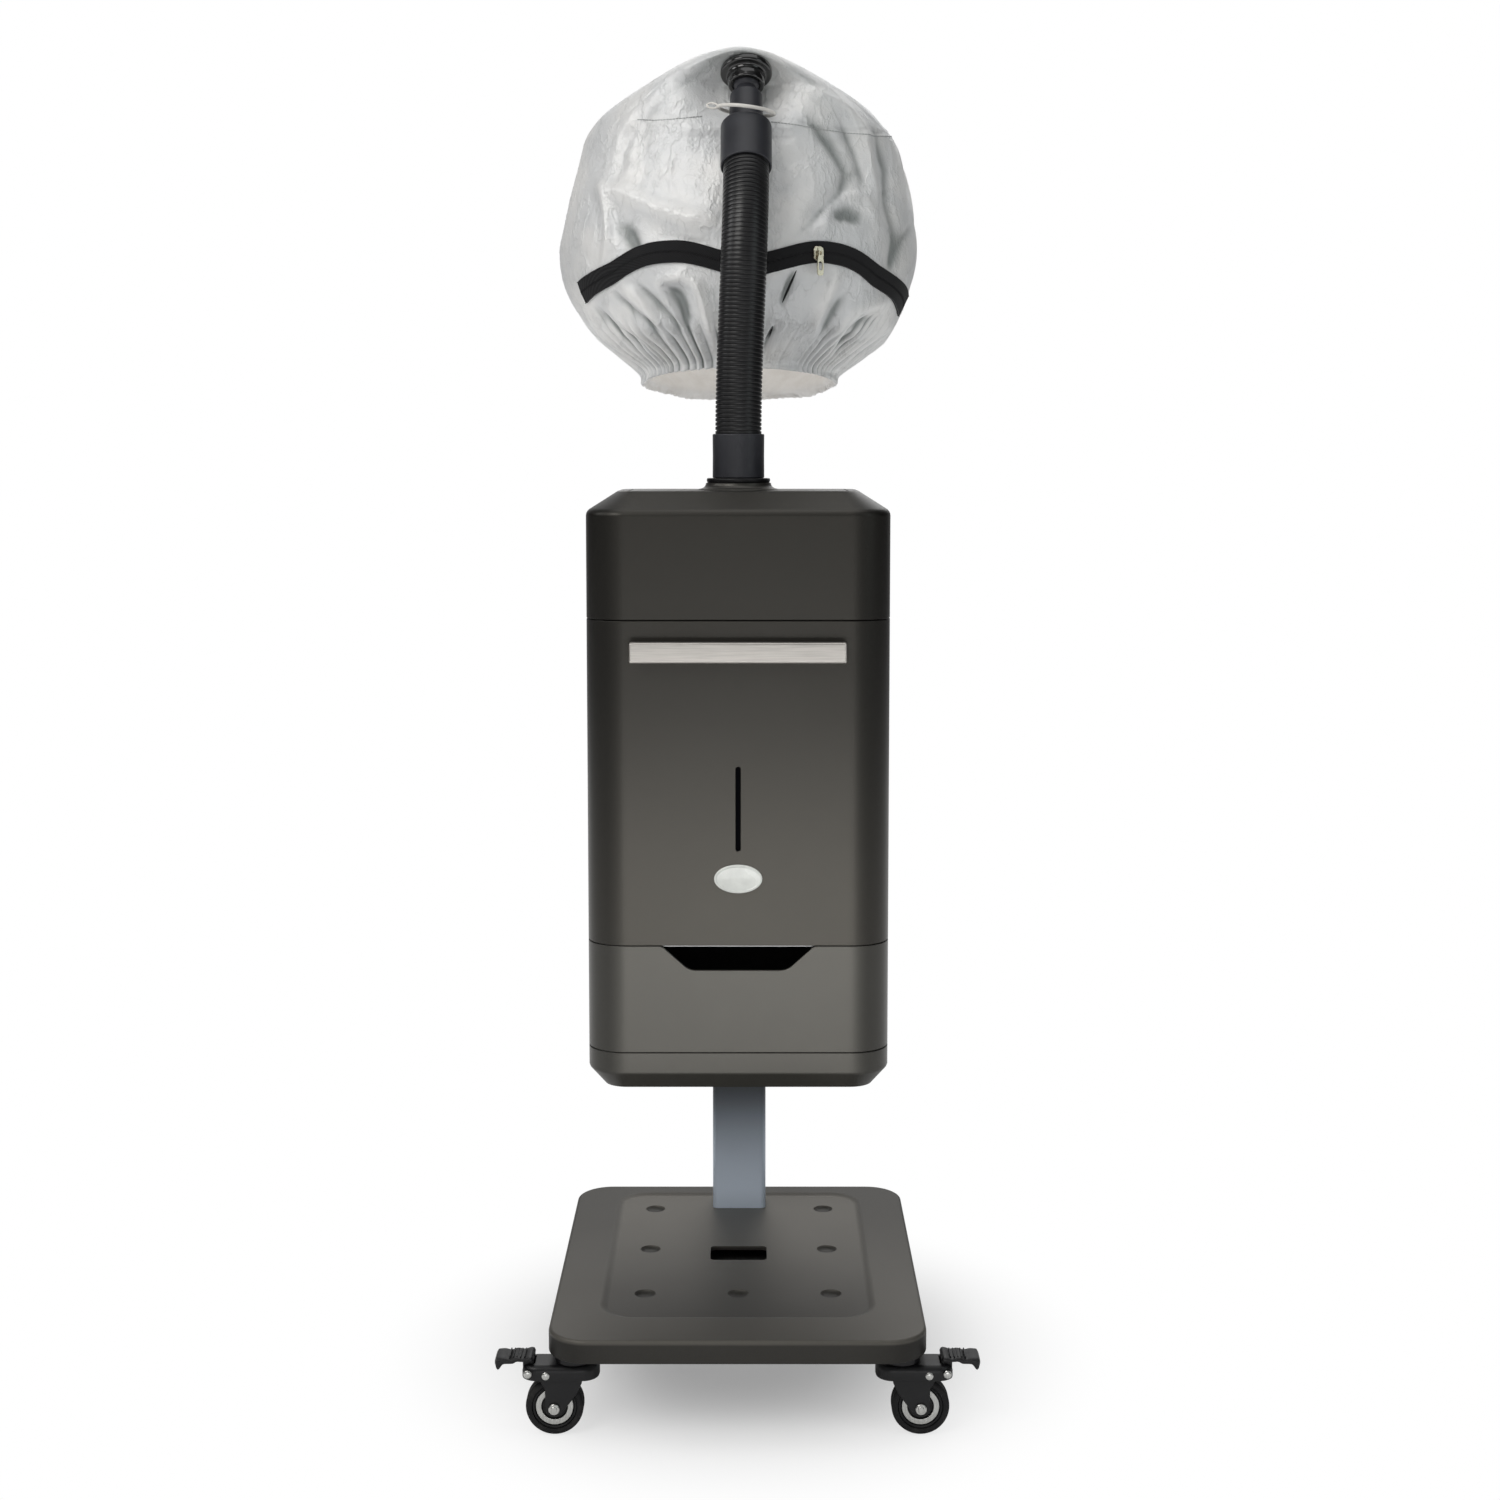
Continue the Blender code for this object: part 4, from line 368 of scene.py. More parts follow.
def lining_cloth(name):
    """Plain white lining, seen inside the hood's opening; it glows faintly, a painted light that lifts it out
    of the hood's shade.
    """
    cloth = Finish(name, (0.80, 0.785, 0.765), 0.85, 0.0, Sheen_Weight=0.2, Emission_Strength=0.17,
                   Emission_Color=(0.86, 0.84, 0.82, 1))
    x, y, z = cloth.split()
    weave = (x * 4200 + y * 4200).waves() * (z * 4200).waves()
    crease = cloth.noise(40, 5, 0.6)
    cloth.feed("Base Color", cloth.mixed(crease.rises(0.3, 0.7), (0.74, 0.72, 0.69), (0.84, 0.83, 0.81)))
    cloth.bump(crease * 0.8 + weave * 0.06, 0.0016, 0.6)
    return cloth.material


def tape_cloth(name):
    """Woven zip tape: a close rib across a dull black ground."""
    tape = Finish(name, (0.008, 0.008, 0.009), 0.85, 0.0, Sheen_Weight=0.04, Specular_IOR_Level=0.25)
    x, y, z = tape.split()
    rib = (x * 3800 + y * 3800).waves() * (z * 2400 - x * 900).waves()
    tape.feed("Base Color", tape.mixed(rib.rises(-0.6, 0.9), (0.006, 0.006, 0.007), (0.020, 0.020, 0.021)))
    tape.bump(rib, 0.00012, 0.8)
    return tape.material


def clear_plastic(name):
    """Frosted tank wall, lightly scuffed."""
    tank = Finish(name, (0.74, 0.77, 0.77), 0.42, 0.0, Transmission_Weight=0.2, IOR=1.45)
    scuff = tank.noise(260, 4, 0.6)
    tank.feed("Base Color", tank.mixed(scuff.rises(0.3, 0.7), (0.71, 0.75, 0.75), (0.76, 0.79, 0.785)))
    tank.feed("Roughness", scuff * 0.15 + 0.34)
    tank.bump(scuff, 0.00003)
    return tank.material


FINISHES = {
    "gunmetal": painted_metal("gunmetal_paint", (0.098, 0.092, 0.080)),
    # A lighter copy of the cabinet's lacquer; on the tray and the tool drawer it is partly painted light,
    # standing for the brighter light on the cabinet's lower front.
    "gunmetal_light": painted_metal("gunmetal_paint_light", (0.140, 0.135, 0.121)),
    "deck_paint": deck_paint("deck_lacquer", (0.098, 0.092, 0.080)),
    "column_blue": column_paint("column_lacquer", (0.310, 0.350, 0.405)),
    "steel": drawn_metal("rolled_steel", (0.42, 0.42, 0.42), 0.38, (1, 0.03, 1)),
    "zinc": drawn_metal("zinc_plate", (0.60, 0.60, 0.58), 0.30, (1, 1, 0.1)),
    "black_plastic": moulded_plastic("black_plastic", (0.008, 0.008, 0.009), Specular_IOR_Level=0.35),
    "black_painted": moulded_plastic("black_paint", (0.007, 0.007, 0.008), 0.36, 0.00003,
                                     Specular_IOR_Level=0.35),
    "hose_black": moulded_plastic("hose_plastic", (0.011, 0.011, 0.012), 0.33, 0.00003),
    "gloss_black": moulded_plastic("gloss_black", (0.008, 0.008, 0.008), 0.13, 0.000006, Coat_Weight=0.5),
    "cuff_blue_black": moulded_plastic("cuff_plastic", (0.024, 0.025, 0.031), 0.42, 0.00005),
    "tyre": rubber("tyre_rubber"),
    "satin_bar": drawn_metal("satin_bar", (0.58, 0.555, 0.52), 0.42, (0.02, 1, 1)),
    "pale_plate": moulded_plastic("pale_plate", (0.78, 0.80, 0.76), 0.26, 0.00001, Coat_Weight=0.4),
    "window": moulded_plastic("sight_window", (0.004, 0.004, 0.005), 0.40, 0.000004,
                              Specular_IOR_Level=0.0),
    "tank_clear": clear_plastic("tank_plastic"),
    "white_plastic": moulded_plastic("white_plastic", (0.72, 0.72, 0.70), 0.42),
    "grey_plastic": moulded_plastic("grey_plastic", (0.035, 0.034, 0.033), 0.5),
    "mica": moulded_plastic("mica_board", (0.50, 0.42, 0.28), 0.6, 0.0001),
    "board_green": moulded_plastic("circuit_board", (0.025, 0.12, 0.06), 0.42, 0.00006),
    "copper_motor": drawn_metal("motor_steel", (0.42, 0.38, 0.35), 0.36, (1, 1, 0.05)),
    "silver_cloth": silver_cloth("silver_cloth"),
    "lining": lining_cloth("white_lining"),
    "zip_black": tape_cloth("zip_tape_cloth"),
    "zip_brass": drawn_metal("pale_brass", (0.66, 0.61, 0.48), 0.26, (1, 1, 0.2)),
    "ring_white": moulded_plastic("ring_coating", (0.70, 0.68, 0.64), 0.36, 0.00003),
    "seam_thread": moulded_plastic("seam_thread", (0.36, 0.37, 0.37), 0.7, 0.0001),
}


# ---------------------------------------------------------------- mesh tools
def skin(rings, closed=False, capped=True):
    """A mesh through rings of equal count, with its two ends capped or the last ring joined to the first."""
    points = np.array([[tuple(p) for p in ring] for ring in rings], float)
    rows, count = points.shape[:2]
    index = np.arange(rows * count).reshape(rows, count)
    pairs = [(index[r], index[(r + 1) % rows]) for r in range(rows if closed else rows - 1)]
    quads = [np.stack((low, np.roll(low, -1), np.roll(high, -1), high), 1) for low, high in pairs]
    faces = [tuple(q) for quad in quads for q in quad.tolist()]
    if capped and not closed:
        faces += [tuple(index[0][::-1].tolist()), tuple(index[-1].tolist())]
    mesh = bpy.data.meshes.new("mesh")
    mesh.from_pydata(points.reshape(-1, 3).tolist(), [], faces)
    outwards(mesh)
    return mesh


def outwards(mesh):
    bm = bmesh.new()
    bm.from_mesh(mesh)
    bmesh.ops.recalc_face_normals(bm, faces=bm.faces[:])
    bm.to_mesh(mesh)
    bm.free()


def moved(mesh, matrix):
    mesh.transform(matrix)
    return mesh


def shift(x=0.0, y=0.0, z=0.0):
    return Matrix.Translation((x, y, z))


def rounded(width, depth, radius, inset=0.0, x=0.0, y=0.0, steps=ARC):
    """A rectangle's outline with round corners."""
    half_w, half_d = width / 2 - inset, depth / 2 - inset
    radius = max(min(radius - inset, 0.995 * half_w, 0.995 * half_d), 0.0004)
    points = []
    for quarter, (sx, sy) in enumerate(((1, 1), (-1, 1), (-1, -1), (1, -1))):
        cx, cy = x + sx * (half_w - radius), y + sy * (half_d - radius)
        for step in range(steps + 1):
            angle = (quarter + step / steps) * math.pi / 2
            points.append((cx + radius * math.cos(angle), cy + radius * math.sin(angle)))
    return points


def level(outline, z):
    return [(x, y, z) for x, y in outline]


def prism(outline, low, high):
    return skin([level(outline, low), level(outline, high)])


def upright(outline, near, far):
    """An outline in X and Z, run along Y."""
    return skin([[(x, near, z) for x, z in outline], [(x, far, z) for x, z in outline]])


def block(low, high):
    """A box between two opposite corners."""
    corners = [(low[0], low[1]), (high[0], low[1]), (high[0], high[1]), (low[0], high[1])]
    return prism(corners, low[2], high[2])


def turned(profile, sides=48, closed=False):
    """A profile of (radius, height) turned about Z."""
    turns = [(math.cos(TURN * i / sides), math.sin(TURN * i / sides)) for i in range(sides)]
    return skin([[(r * c, r * s, z) for c, s in turns] for r, z in profile], closed)


def quarter(radius, centre_r, centre_z, start, end, steps=5):
    """Points of a turned profile along an arc, in degrees."""
    angles = [math.radians(start + (end - start) * k / steps) for k in range(steps + 1)]
    return [(centre_r + radius * math.cos(a), centre_z + radius * math.sin(a)) for a in angles]


def worked(mesh, *steps):
    """The mesh after its modifiers, each a type and its settings."""
    maker = bpy.data.objects.new("maker", mesh)
    bpy.context.scene.collection.objects.link(maker)
    for kind, settings in steps:
        modifier = maker.modifiers.new(kind.lower(), kind)
        for name, value in settings.items():
            setattr(modifier, name, value)
    result = bpy.data.meshes.new_from_object(maker.evaluated_get(bpy.context.evaluated_depsgraph_get()))
    bpy.data.objects.remove(maker)
    return result


def combined(mesh, others, how='DIFFERENCE'):
    """The mesh with others cut from it or joined to it."""
    guides = []
    for other in others:
        guide = bpy.data.objects.new("guide", other)
        bpy.context.scene.collection.objects.link(guide)
        guides.append(guide)
    result = worked(mesh, *[('BOOLEAN', {"operation": how, "solver": 'EXACT', "object": g}) for g in guides])
    for guide in guides:
        bpy.data.objects.remove(guide)
    return result


def eased(mesh, width=EASE, segments=3, angle=32):
    """Edges sharper than an angle, softened."""
    return worked(mesh, ('BEVEL', {"width": width, "segments": segments, "limit_method": 'ANGLE',
                                   "angle_limit": math.radians(angle), "use_clamp_overlap": True,
                                   "harden_normals": False}))


def together(*meshes):
    """Several meshes as one, each kept as it is."""
    bm = bmesh.new()
    for mesh in meshes:
        bm.from_mesh(mesh)
    result = bpy.data.meshes.new("mesh")
    bm.to_mesh(result)
    bm.free()
    return result


def oval(centre, half_across, half_up, count):
    """The points of an ellipse about a centre (across, up)."""
    turns = [TURN * k / count for k in range(count)]
    return [(centre[0] + half_across * math.cos(a), centre[1] + half_up * math.sin(a)) for a in turns]


def pierced(radius, half_length, sides, place):
    """A rod that cuts a round hole at a place."""
    return moved(turned([(radius, -half_length), (radius, half_length)], sides), place)


SLOTS = {row["slot"] for row in frame["record"]["materials"]}


def piece(name, mesh, finish, body, stands_for=(), smooth=35, slot=None):
    """A finished piece that rides on a body, and stands for the CAD nodes it replaces."""
    mesh.materials.clear()
    mesh.materials.append(FINISHES[finish])
    mesh.shade_smooth()
    mesh.set_sharp_from_angle(angle=math.radians(smooth))
    mesh = worked(mesh, ('WEIGHTED_NORMAL', {"keep_sharp": True, "weight": 80}))
    thing = bpy.data.objects.new(name, mesh)
    bpy.context.scene.collection.objects.link(thing)
    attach(thing, body)
    if stands_for:
        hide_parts(*stands_for)
    slot or finish in SLOTS
    return thing


def stand_in(name, mesh, finish, node, smooth=35, slot=None):
    """A piece that takes the place of one CAD node, on that node's body."""
    return piece(name, mesh, finish, BODY_OF[node], [node], smooth, slot)


def repeater(spaced):
    """A Geometry Nodes tree that stands a sample on a path's points, or at an even pitch along it."""
    tree = bpy.data.node_groups.new("repeater", 'GeometryNodeTree')
    tree.interface.new_socket("Path", in_out='INPUT', socket_type='NodeSocketGeometry')
    inputs = {label: tree.interface.new_socket(label, in_out='INPUT', socket_type=kind).identifier
              for label, kind in (("Sample", 'NodeSocketObject'), ("Pitch", 'NodeSocketFloat'),
                                  ("Finish", 'NodeSocketMaterial'))}
    tree.interface.new_socket("Result", in_out='OUTPUT', socket_type='NodeSocketGeometry')

    def add(kind, settings=None, **links):
        """A node with its settings, and the links or values of its inputs."""
        node = tree.nodes.new(kind)
        for key, value in (settings or {}).items():
            setattr(node, key, value)
        for key, value in links.items():
            socket = node.inputs[key]
            if isinstance(value, bpy.types.NodeSocket):
                tree.links.new(value, socket)
            else:
                socket.default_value = value
        return node

    given = add("NodeGroupInput").outputs
    path = add("GeometryNodeMeshToCurve", Mesh=given["Path"]).outputs[0]
    if spaced:
        path = add("GeometryNodeResampleCurve", {"mode": 'LENGTH'}, Curve=path,
                   Length=given["Pitch"]).outputs[0]
    sample = add("GeometryNodeObjectInfo", Object=given["Sample"])
    tangent = add("GeometryNodeInputTangent").outputs[0]
    lying = add("FunctionNodeAlignRotationToVector", {"axis": 'X'}, Vector=tangent).outputs[0]
    way = add("GeometryNodeInputNamedAttribute", {"data_type": 'FLOAT_VECTOR'}, Name="way_out").outputs[0]
    standing = add("FunctionNodeAlignRotationToVector", {"axis": 'Z', "pivot_axis": 'X'},
                   Rotation=lying, Vector=way)
    placed = add("GeometryNodeInstanceOnPoints", Points=path, Instance=sample.outputs["Geometry"],
                 Rotation=standing.outputs[0])
    real = add("GeometryNodeRealizeInstances", Geometry=placed.outputs[0])
    painted = add("GeometryNodeSetMaterial", Geometry=real.outputs[0], Material=given["Finish"])
    add("NodeGroupOutput", Result=painted.outputs[0])
    return tree, inputs


REPEATERS = {spaced: repeater(spaced) for spaced in (False, True)}


def repeated(name, line, sample, finish, body, pitch=None, **more):
    """A sample mesh again and again along a line of (point, way out) pairs; its X runs along the line."""
    mesh = bpy.data.meshes.new(name)
    mesh.from_pydata([tuple(point) for point, way in line], [(i, i + 1) for i in range(len(line) - 1)], [])
    ways = np.array([Vector(way).normalized() for point, way in line], np.float32)
    mesh.attributes.new("way_out", 'FLOAT_VECTOR', 'POINT').data.foreach_set("vector", ways.ravel())
    tree, inputs = REPEATERS[pitch is not None]
    maker, model = bpy.data.objects.new("maker", mesh), bpy.data.objects.new("model", sample)
    for thing in (maker, model):
        bpy.context.scene.collection.objects.link(thing)
    modifier = maker.modifiers.new("repeat", 'NODES')
    modifier.node_group = tree
    modifier[inputs["Sample"]] = model
    modifier[inputs["Pitch"]] = pitch or 1.0
    modifier[inputs["Finish"]] = FINISHES[finish]
    result = bpy.data.meshes.new_from_object(maker.evaluated_get(bpy.context.evaluated_depsgraph_get()))
    maker.modifiers.remove(modifier)
    for thing in (maker, model):
        bpy.data.objects.remove(thing)
    return piece(name, result, finish, body, **more)


# ---------------------------------------------------------------- base and column
def deck_rings(width, depth, middle_y):
    """The deck's skin from its inner foot, over its outer edge, to the sunk panel."""
    low, high, edge, skin_t = DECK_LOW.z, DECK_HIGH.z, 0.0040, 0.008

    def outline(inset):
        return rounded(width, depth, DECK_R, inset, y=middle_y)

    panel_w, panel_d = width - 2 * PANEL_SIDE, depth - PANEL_FRONT - PANEL_BACK
    panel_y = middle_y + (PANEL_FRONT - PANEL_BACK) / 2
    rings = [level(outline(WALL), high - skin_t), level(outline(WALL), low), level(outline(edge / 2), low)]
    rings += [level(outline(edge / 2 * (1 - math.sin(a))), low + edge / 2 * (1 - math.cos(a)))
              for a in (0.5, 1.05, 1.5)]
    rings += [level(outline(edge * (1 - math.cos(a))), high - edge * (1 - math.sin(a)))
              for a in (0.0, 0.4, 0.8, 1.2, 1.571)]
    for share in (k / 6 for k in range(7)):
        dip = share * share * (3 - 2 * share)
        outline_here = rounded(panel_w, panel_d, PANEL_R, PANEL_SLOPE * share - 0.0015, y=panel_y)
        rings.append(level(outline_here, high - PANEL_SINK * dip))
    return rings


def dimples():
    """The seven shallow dishes pressed into the sunk panel: three rows, and the middle one of the first."""
    places = [(across, row) for row in range(3) for across in (-1, 0, 1) if across != 0 or row == 0]
    bowl = [(DIMPLE_R * share, (share ** 4 - 1) * DIMPLE_DEPTH) for share in (0.1, 0.5, 0.75, 0.9, 1.0)]
    first = DECK_LOW.y + DIMPLE_FIRST
    return [moved(turned(bowl + [(DIMPLE_R * 1.04, WALL)], 36),
                  shift(across * DIMPLE_PITCH_X, first + row * DIMPLE_PITCH_Y, DECK_HIGH.z - PANEL_SINK))
            for across, row in places]


def base_deck():
    """The pressed deck, with its dimples, the column's hole and the spare one in front of it."""
    width, depth = DECK_HIGH.x - DECK_LOW.x, DECK_HIGH.y - DECK_LOW.y
    column_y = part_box("column")[0].y + COLUMN_D / 2
    cutters = [prism(rounded(COLUMN_W + 0.0006, COLUMN_D + 0.0006, COLUMN_R, y=y),
                     DECK_LOW.z - WALL, DECK_HIGH.z + WALL)
               for y in (DECK_LOW.y + SPARE_FROM_FRONT, column_y)]
    deck = skin(deck_rings(width, depth, (DECK_HIGH.y + DECK_LOW.y) / 2))
    mesh = eased(combined(deck, cutters + dimples()), 0.0006, 2, 40)
    stand_in("stand_deck", mesh, "deck_paint", "base_deck", slot="gunmetal")


def column():
    """The box-section column with its folded-in ends and the bolt's hole."""
    low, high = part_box("column")
    rings = []
    for inset, z in ((0.003, high.z - 0.003), (0.003, low.z), (0, low.z), (0, high.z - 0.002),
                     (0.0006, high.z - 0.0006), (0.002, high.z)):
        rings.append(level(rounded(COLUMN_W, COLUMN_D, COLUMN_R, inset, y=(low.y + high.y) / 2), z))
    bolt = pierced(BOLT_HOLE_R, 0.03, 24, shift(0, low.y, high.z - BOLT_DROP) @ ALONG_Y)
    stand_in("stand_column", combined(skin(rings), [bolt]), "column_blue", "column")


# ---------------------------------------------------------------- cabinet
def plan(inset=0.0):
    return rounded(CABINET_W, CABINET_D, CABINET_R, inset, y=CABINET_Y)


def wrapped(parting, front):
    """The U-shaped outline of a cover that wraps the front or the back, up to where it parts."""
    outer = [p for p in plan() if (p[1] < CABINET_Y) == front]
    inner = [p for p in plan(WALL) if (p[1] < CABINET_Y) == front]
    half, thin = CABINET_W / 2, CABINET_W / 2 - WALL
    left, right = (-1, 1) if front else (1, -1)
    return ([(left * half, parting)] + outer + [(right * half, parting), (right * thin, parting)]
            + inner[::-1] + [(left * thin, parting)])


def bottom_tray():
    """The tray under the cabinet, chamfered at its foot and open below."""
    low, high = TRAY_LOW.z, TRAY_HIGH.z
    rise, ease = low + FOOT_CHAMFER_H, 0.003
    slope = FOOT_CHAMFER / FOOT_CHAMFER_H
    rings = [level(plan(inset), z) for inset, z in (
        (WALL, high - WALL), (WALL, rise), (FOOT_CHAMFER + WALL, low), (FOOT_CHAMFER, low),
        (slope * ease, rise - ease), (slope * ease * 0.35, rise - ease * 0.3), (0, rise + ease * 0.6),
        (0, high - EASE), (EASE, high))]
    stand_in("cabinet_tray", skin(rings), "gunmetal_light", "bottom_tray")


def back_shell():
    """The cabinet's back, with holes for the power inlet, the rocker switch and the column's bolt."""
    low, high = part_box("back_shell")
    inlet_low, inlet_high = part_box("power_inlet")
    rocker_low, rocker_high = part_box("rocker_switch")
    near, far = CABINET_BACK - 2 * WALL, CABINET_BACK + WALL
    bolt = turned([(BOLT_HOLE_R, -WALL), (BOLT_HOLE_R, 2 * WALL)], 24)
    bolt_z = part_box("column")[1].z - BOLT_DROP
    cutters = [
        block((inlet_low.x + LIP, near, inlet_low.z + LIP / 2),
              (inlet_high.x - LIP, far, inlet_high.z - LIP / 2)),
        block((rocker_low.x - 0.0006, near, rocker_low.z - 0.0012),
              (rocker_high.x + 0.0006, far, rocker_high.z + 0.0012)),
        moved(bolt, shift(0, CABINET_BACK - WALL, bolt_z) @ ALONG_Y),
    ]
    mesh = combined(prism(wrapped(low.y, False), low.z, high.z), cutters)
    stand_in("cabinet_back", eased(mesh, EASE, 2, 40), "gunmetal", "back_shell")


def top_flat():
    """The width and depth of the cover's flat top, and of the sunk bed for its inlay."""
    flat_w, flat_d = CABINET_W - 2 * TOP_CHAMFER, CABINET_D - 2 * TOP_CHAMFER
    return flat_w, flat_d, flat_w - 2 * TOP_PANEL_MARGIN_X, flat_d - 2 * TOP_PANEL_MARGIN_Y


def bed(inset=0.0):
    """The outline of the bed for the inlay."""
    bed_w, bed_d = top_flat()[2:]
    return rounded(bed_w, bed_d, TOP_PANEL_R, inset, y=CABINET_Y)


def socket_hole():
    """What cuts the hose socket's hole in the cover and in its inlay."""
    return pierced(SOCKET_HOLE_R, 0.05, 64, shift(0, HOSE_Y, COVER_HIGH.z))


def top_cover():
    """The cover over the cabinet: straight sides, a sloped band, and a flat top with a sunk bed."""
    low, high = COVER_LOW.z, COVER_HIGH.z
    edge = high - TOP_CHAMFER_H
    flat_w, flat_d = top_flat()[:2]

    def flat(inset):
        """The flat top's outline."""
        return rounded(flat_w, flat_d, TOP_PANEL_R + TOP_PANEL_MARGIN_X, inset, y=CABINET_Y)

    def slope(share):
        """The sloped band between the side wall's edge and the flat top."""
        outer, inner = plan(COVER_EDGE), flat(0)
        return [(a[0] + (b[0] - a[0]) * share, a[1] + (b[1] - a[1]) * share) for a, b in zip(outer, inner)]

    start = edge + COVER_EDGE * 0.42
    floor_z = high - TOP_PANEL_T - 0.0003
    rings = [level(flat(WALL), floor_z - WALL)]
    rings += [level(plan(inset), z) for inset, z in (
        (WALL, edge - WALL), (WALL, low), (EASE, low), (0, low + EASE), (0, edge - COVER_EDGE),
        (COVER_EDGE * 0.08, edge - COVER_EDGE * 0.55), (COVER_EDGE * 0.30, edge - COVER_EDGE * 0.15),
        (COVER_EDGE * 0.62, edge + COVER_EDGE * 0.18), (COVER_EDGE, start))]
    rings += [level(slope(share), start + (high - start) * share) for share in (0.25, 0.5, 0.75, 0.93)]
    rings += [level(flat(-0.0004), high - 0.0002), level(flat(0.0015), high), level(bed(-0.0012), high),
              level(bed(-0.0003), high - 0.0004), level(bed(), high - 0.0012), level(bed(), floor_z)]
    grille_low, grille_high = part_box("rear_grille")
    window = block((grille_low.x + LIP, CABINET_BACK - 2 * WALL, grille_low.z + LIP),
                   (grille_high.x - LIP, CABINET_BACK + WALL, grille_high.z - LIP))
    mesh = combined(skin(rings), [socket_hole(), window])
    stand_in("cabinet_top", mesh, "gunmetal", "top_cover", smooth=28)


def top_inlay():
    """The flat inlay in the cover's bed."""
    gap, high = 0.0015, COVER_HIGH.z
    rings = [level(bed(gap + inset), high - down)
             for inset, down in ((0, TOP_PANEL_T), (0, 0.0010), (0.0003, 0.0003), (0.0012, 0))]
    lid = combined(skin(rings), [socket_hole()])
    stand_in("cabinet_top_inlay", lid, "gunmetal_light", "top_panel")


# ---------------------------------------------------------------- fronts
def tank_front():
    """The tank drawer's front, with its long sight slot."""
    low, high = TANK_FRONT_LOW, TANK_FRONT_HIGH
    slot = sight_form(0.0006, CABINET_FRONT - WALL, CABINET_FRONT + 2 * WALL)
    mesh = combined(prism(wrapped(high.y, True), low.z, high.z), [slot])
    stand_in("tank_door", eased(mesh, EASE, 3, 40), "gunmetal", "tank_front")


def sight_form(room, near, far):
    """The long slot's form between two depths, with some room all round."""
    low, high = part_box("sight_window")
    outline = rounded(SIGHT_W + room, SIGHT_H + room, SIGHT_W / 2, steps=6)
    return upright([(x, z + (low.z + high.z) / 2) for x, z in outline], near, far)


def sight_window():
    """The dark lens that fills the slot, with its plate behind the front."""
    low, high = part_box("sight_window")
    plate = block((low.x, CABINET_FRONT + WALL + 0.0003, low.z), high)
    lens = sight_form(0.0, CABINET_FRONT + 0.0012, CABINET_FRONT + WALL + 0.001)
    stand_in("sight_lens", eased(together(plate, lens), 0.0004, 2), "window", "sight_window")


def badge():
    """A bare oval plate with a raised rim and a slightly domed face."""
    low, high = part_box("badge")
    middle = (low + high) / 2
    half_w, half_h, thick = (high.x - low.x) / 2, (high.z - low.z) / 2, high.y - low.y
    rings = []
    for inset, out in ((0.0, 0.0), (0.0, 0.5), (0.0003, 0.78), (0.0009, 0.95), (0.0016, 1.0), (0.0023, 0.93),
                       (0.0030, 0.72), (0.0044, 0.74), (0.0085, 0.80), (0.0125, 0.83), (0.0155, 0.84)):
        edge = oval((middle.x, middle.z), half_w - inset, half_h - inset, 72)
        rings.append([(x, high.y - thick * out, z) for x, z in edge])
    stand_in("oval_plate", skin(rings), "pale_plate", "badge")


def bar_handle():
    """The square bar with softened edges and ends, on its two round posts."""
    low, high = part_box("bar_handle")
    back, tall = low.y + BAR_T, high.z - low.z
    middle_y, middle_z = (low.y + back) / 2, (low.z + high.z) / 2
    section = rounded(BAR_T, tall, BAR_R, x=middle_y, y=middle_z, steps=4)
    ends = ((low.x, 0.0022), (low.x + 0.0006, 0.0008), (low.x + 0.0020, 0.0))
    stations = ends + tuple((-x, inset) for x, inset in ends[::-1])
    rings = [[(x, middle_y + (y - middle_y) * (1 - 2 * inset / BAR_T),
               middle_z + (z - middle_z) * (1 - 2 * inset / tall)) for y, z in section]
             for x, inset in stations]
    post = [(BAR_BOSS_R + 0.0012, 0.0), (BAR_BOSS_R + 0.0006, 0.0005), (BAR_BOSS_R, 0.0014),
            (BAR_BOSS_R, high.y - back + 0.003)]
    towards_bar = Matrix.Rotation(math.pi / 2, 4, 'X')
    posts = [moved(turned(post, 32), shift(side * BAR_BOSS_X, high.y, middle_z) @ towards_bar)
             for side in (-1, 1)]
    stand_in("pull_bar", combined(skin(rings), posts, 'UNION'), "satin_bar", "bar_handle")


def bent(start, corner, end, steps=8):
    """A rounded corner between two points."""
    points = []
    for share in (step / steps for step in range(steps + 1)):
        weights = (1 - share) ** 2, 2 * share * (1 - share), share * share
        points.append(tuple(sum(w * p[k] for w, p in zip(weights, (start, corner, end))) for k in (0, 1)))
    return points


def drawer_front():
    """The tool drawer's front, with its finger notch."""
    low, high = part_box("drawer_front")
    top, foot = high.z + 0.0003, high.z - NOTCH_H
    top_x, foot_x = -NOTCH_TOP_W / 2, -NOTCH_FOOT_W / 2
    notch = [(top_x - 0.007, high.z + WALL), (top_x - 0.007, top)]
    notch += bent((top_x - 0.006, top), (top_x, top), (top_x + 0.0045, high.z - 0.0045))
    notch += bent((foot_x - 0.0065, foot + 0.0065), (foot_x, foot), (foot_x + 0.009, foot))
    notch += [(-x, z) for x, z in notch[::-1]]
    mesh = combined(prism(wrapped(high.y, True), low.z, high.z),
                    [upright(notch, CABINET_FRONT - WALL, CABINET_FRONT + 2 * WALL)])
    stand_in("drawer_door", eased(mesh, EASE, 3, 40), "gunmetal_light", "drawer_front")


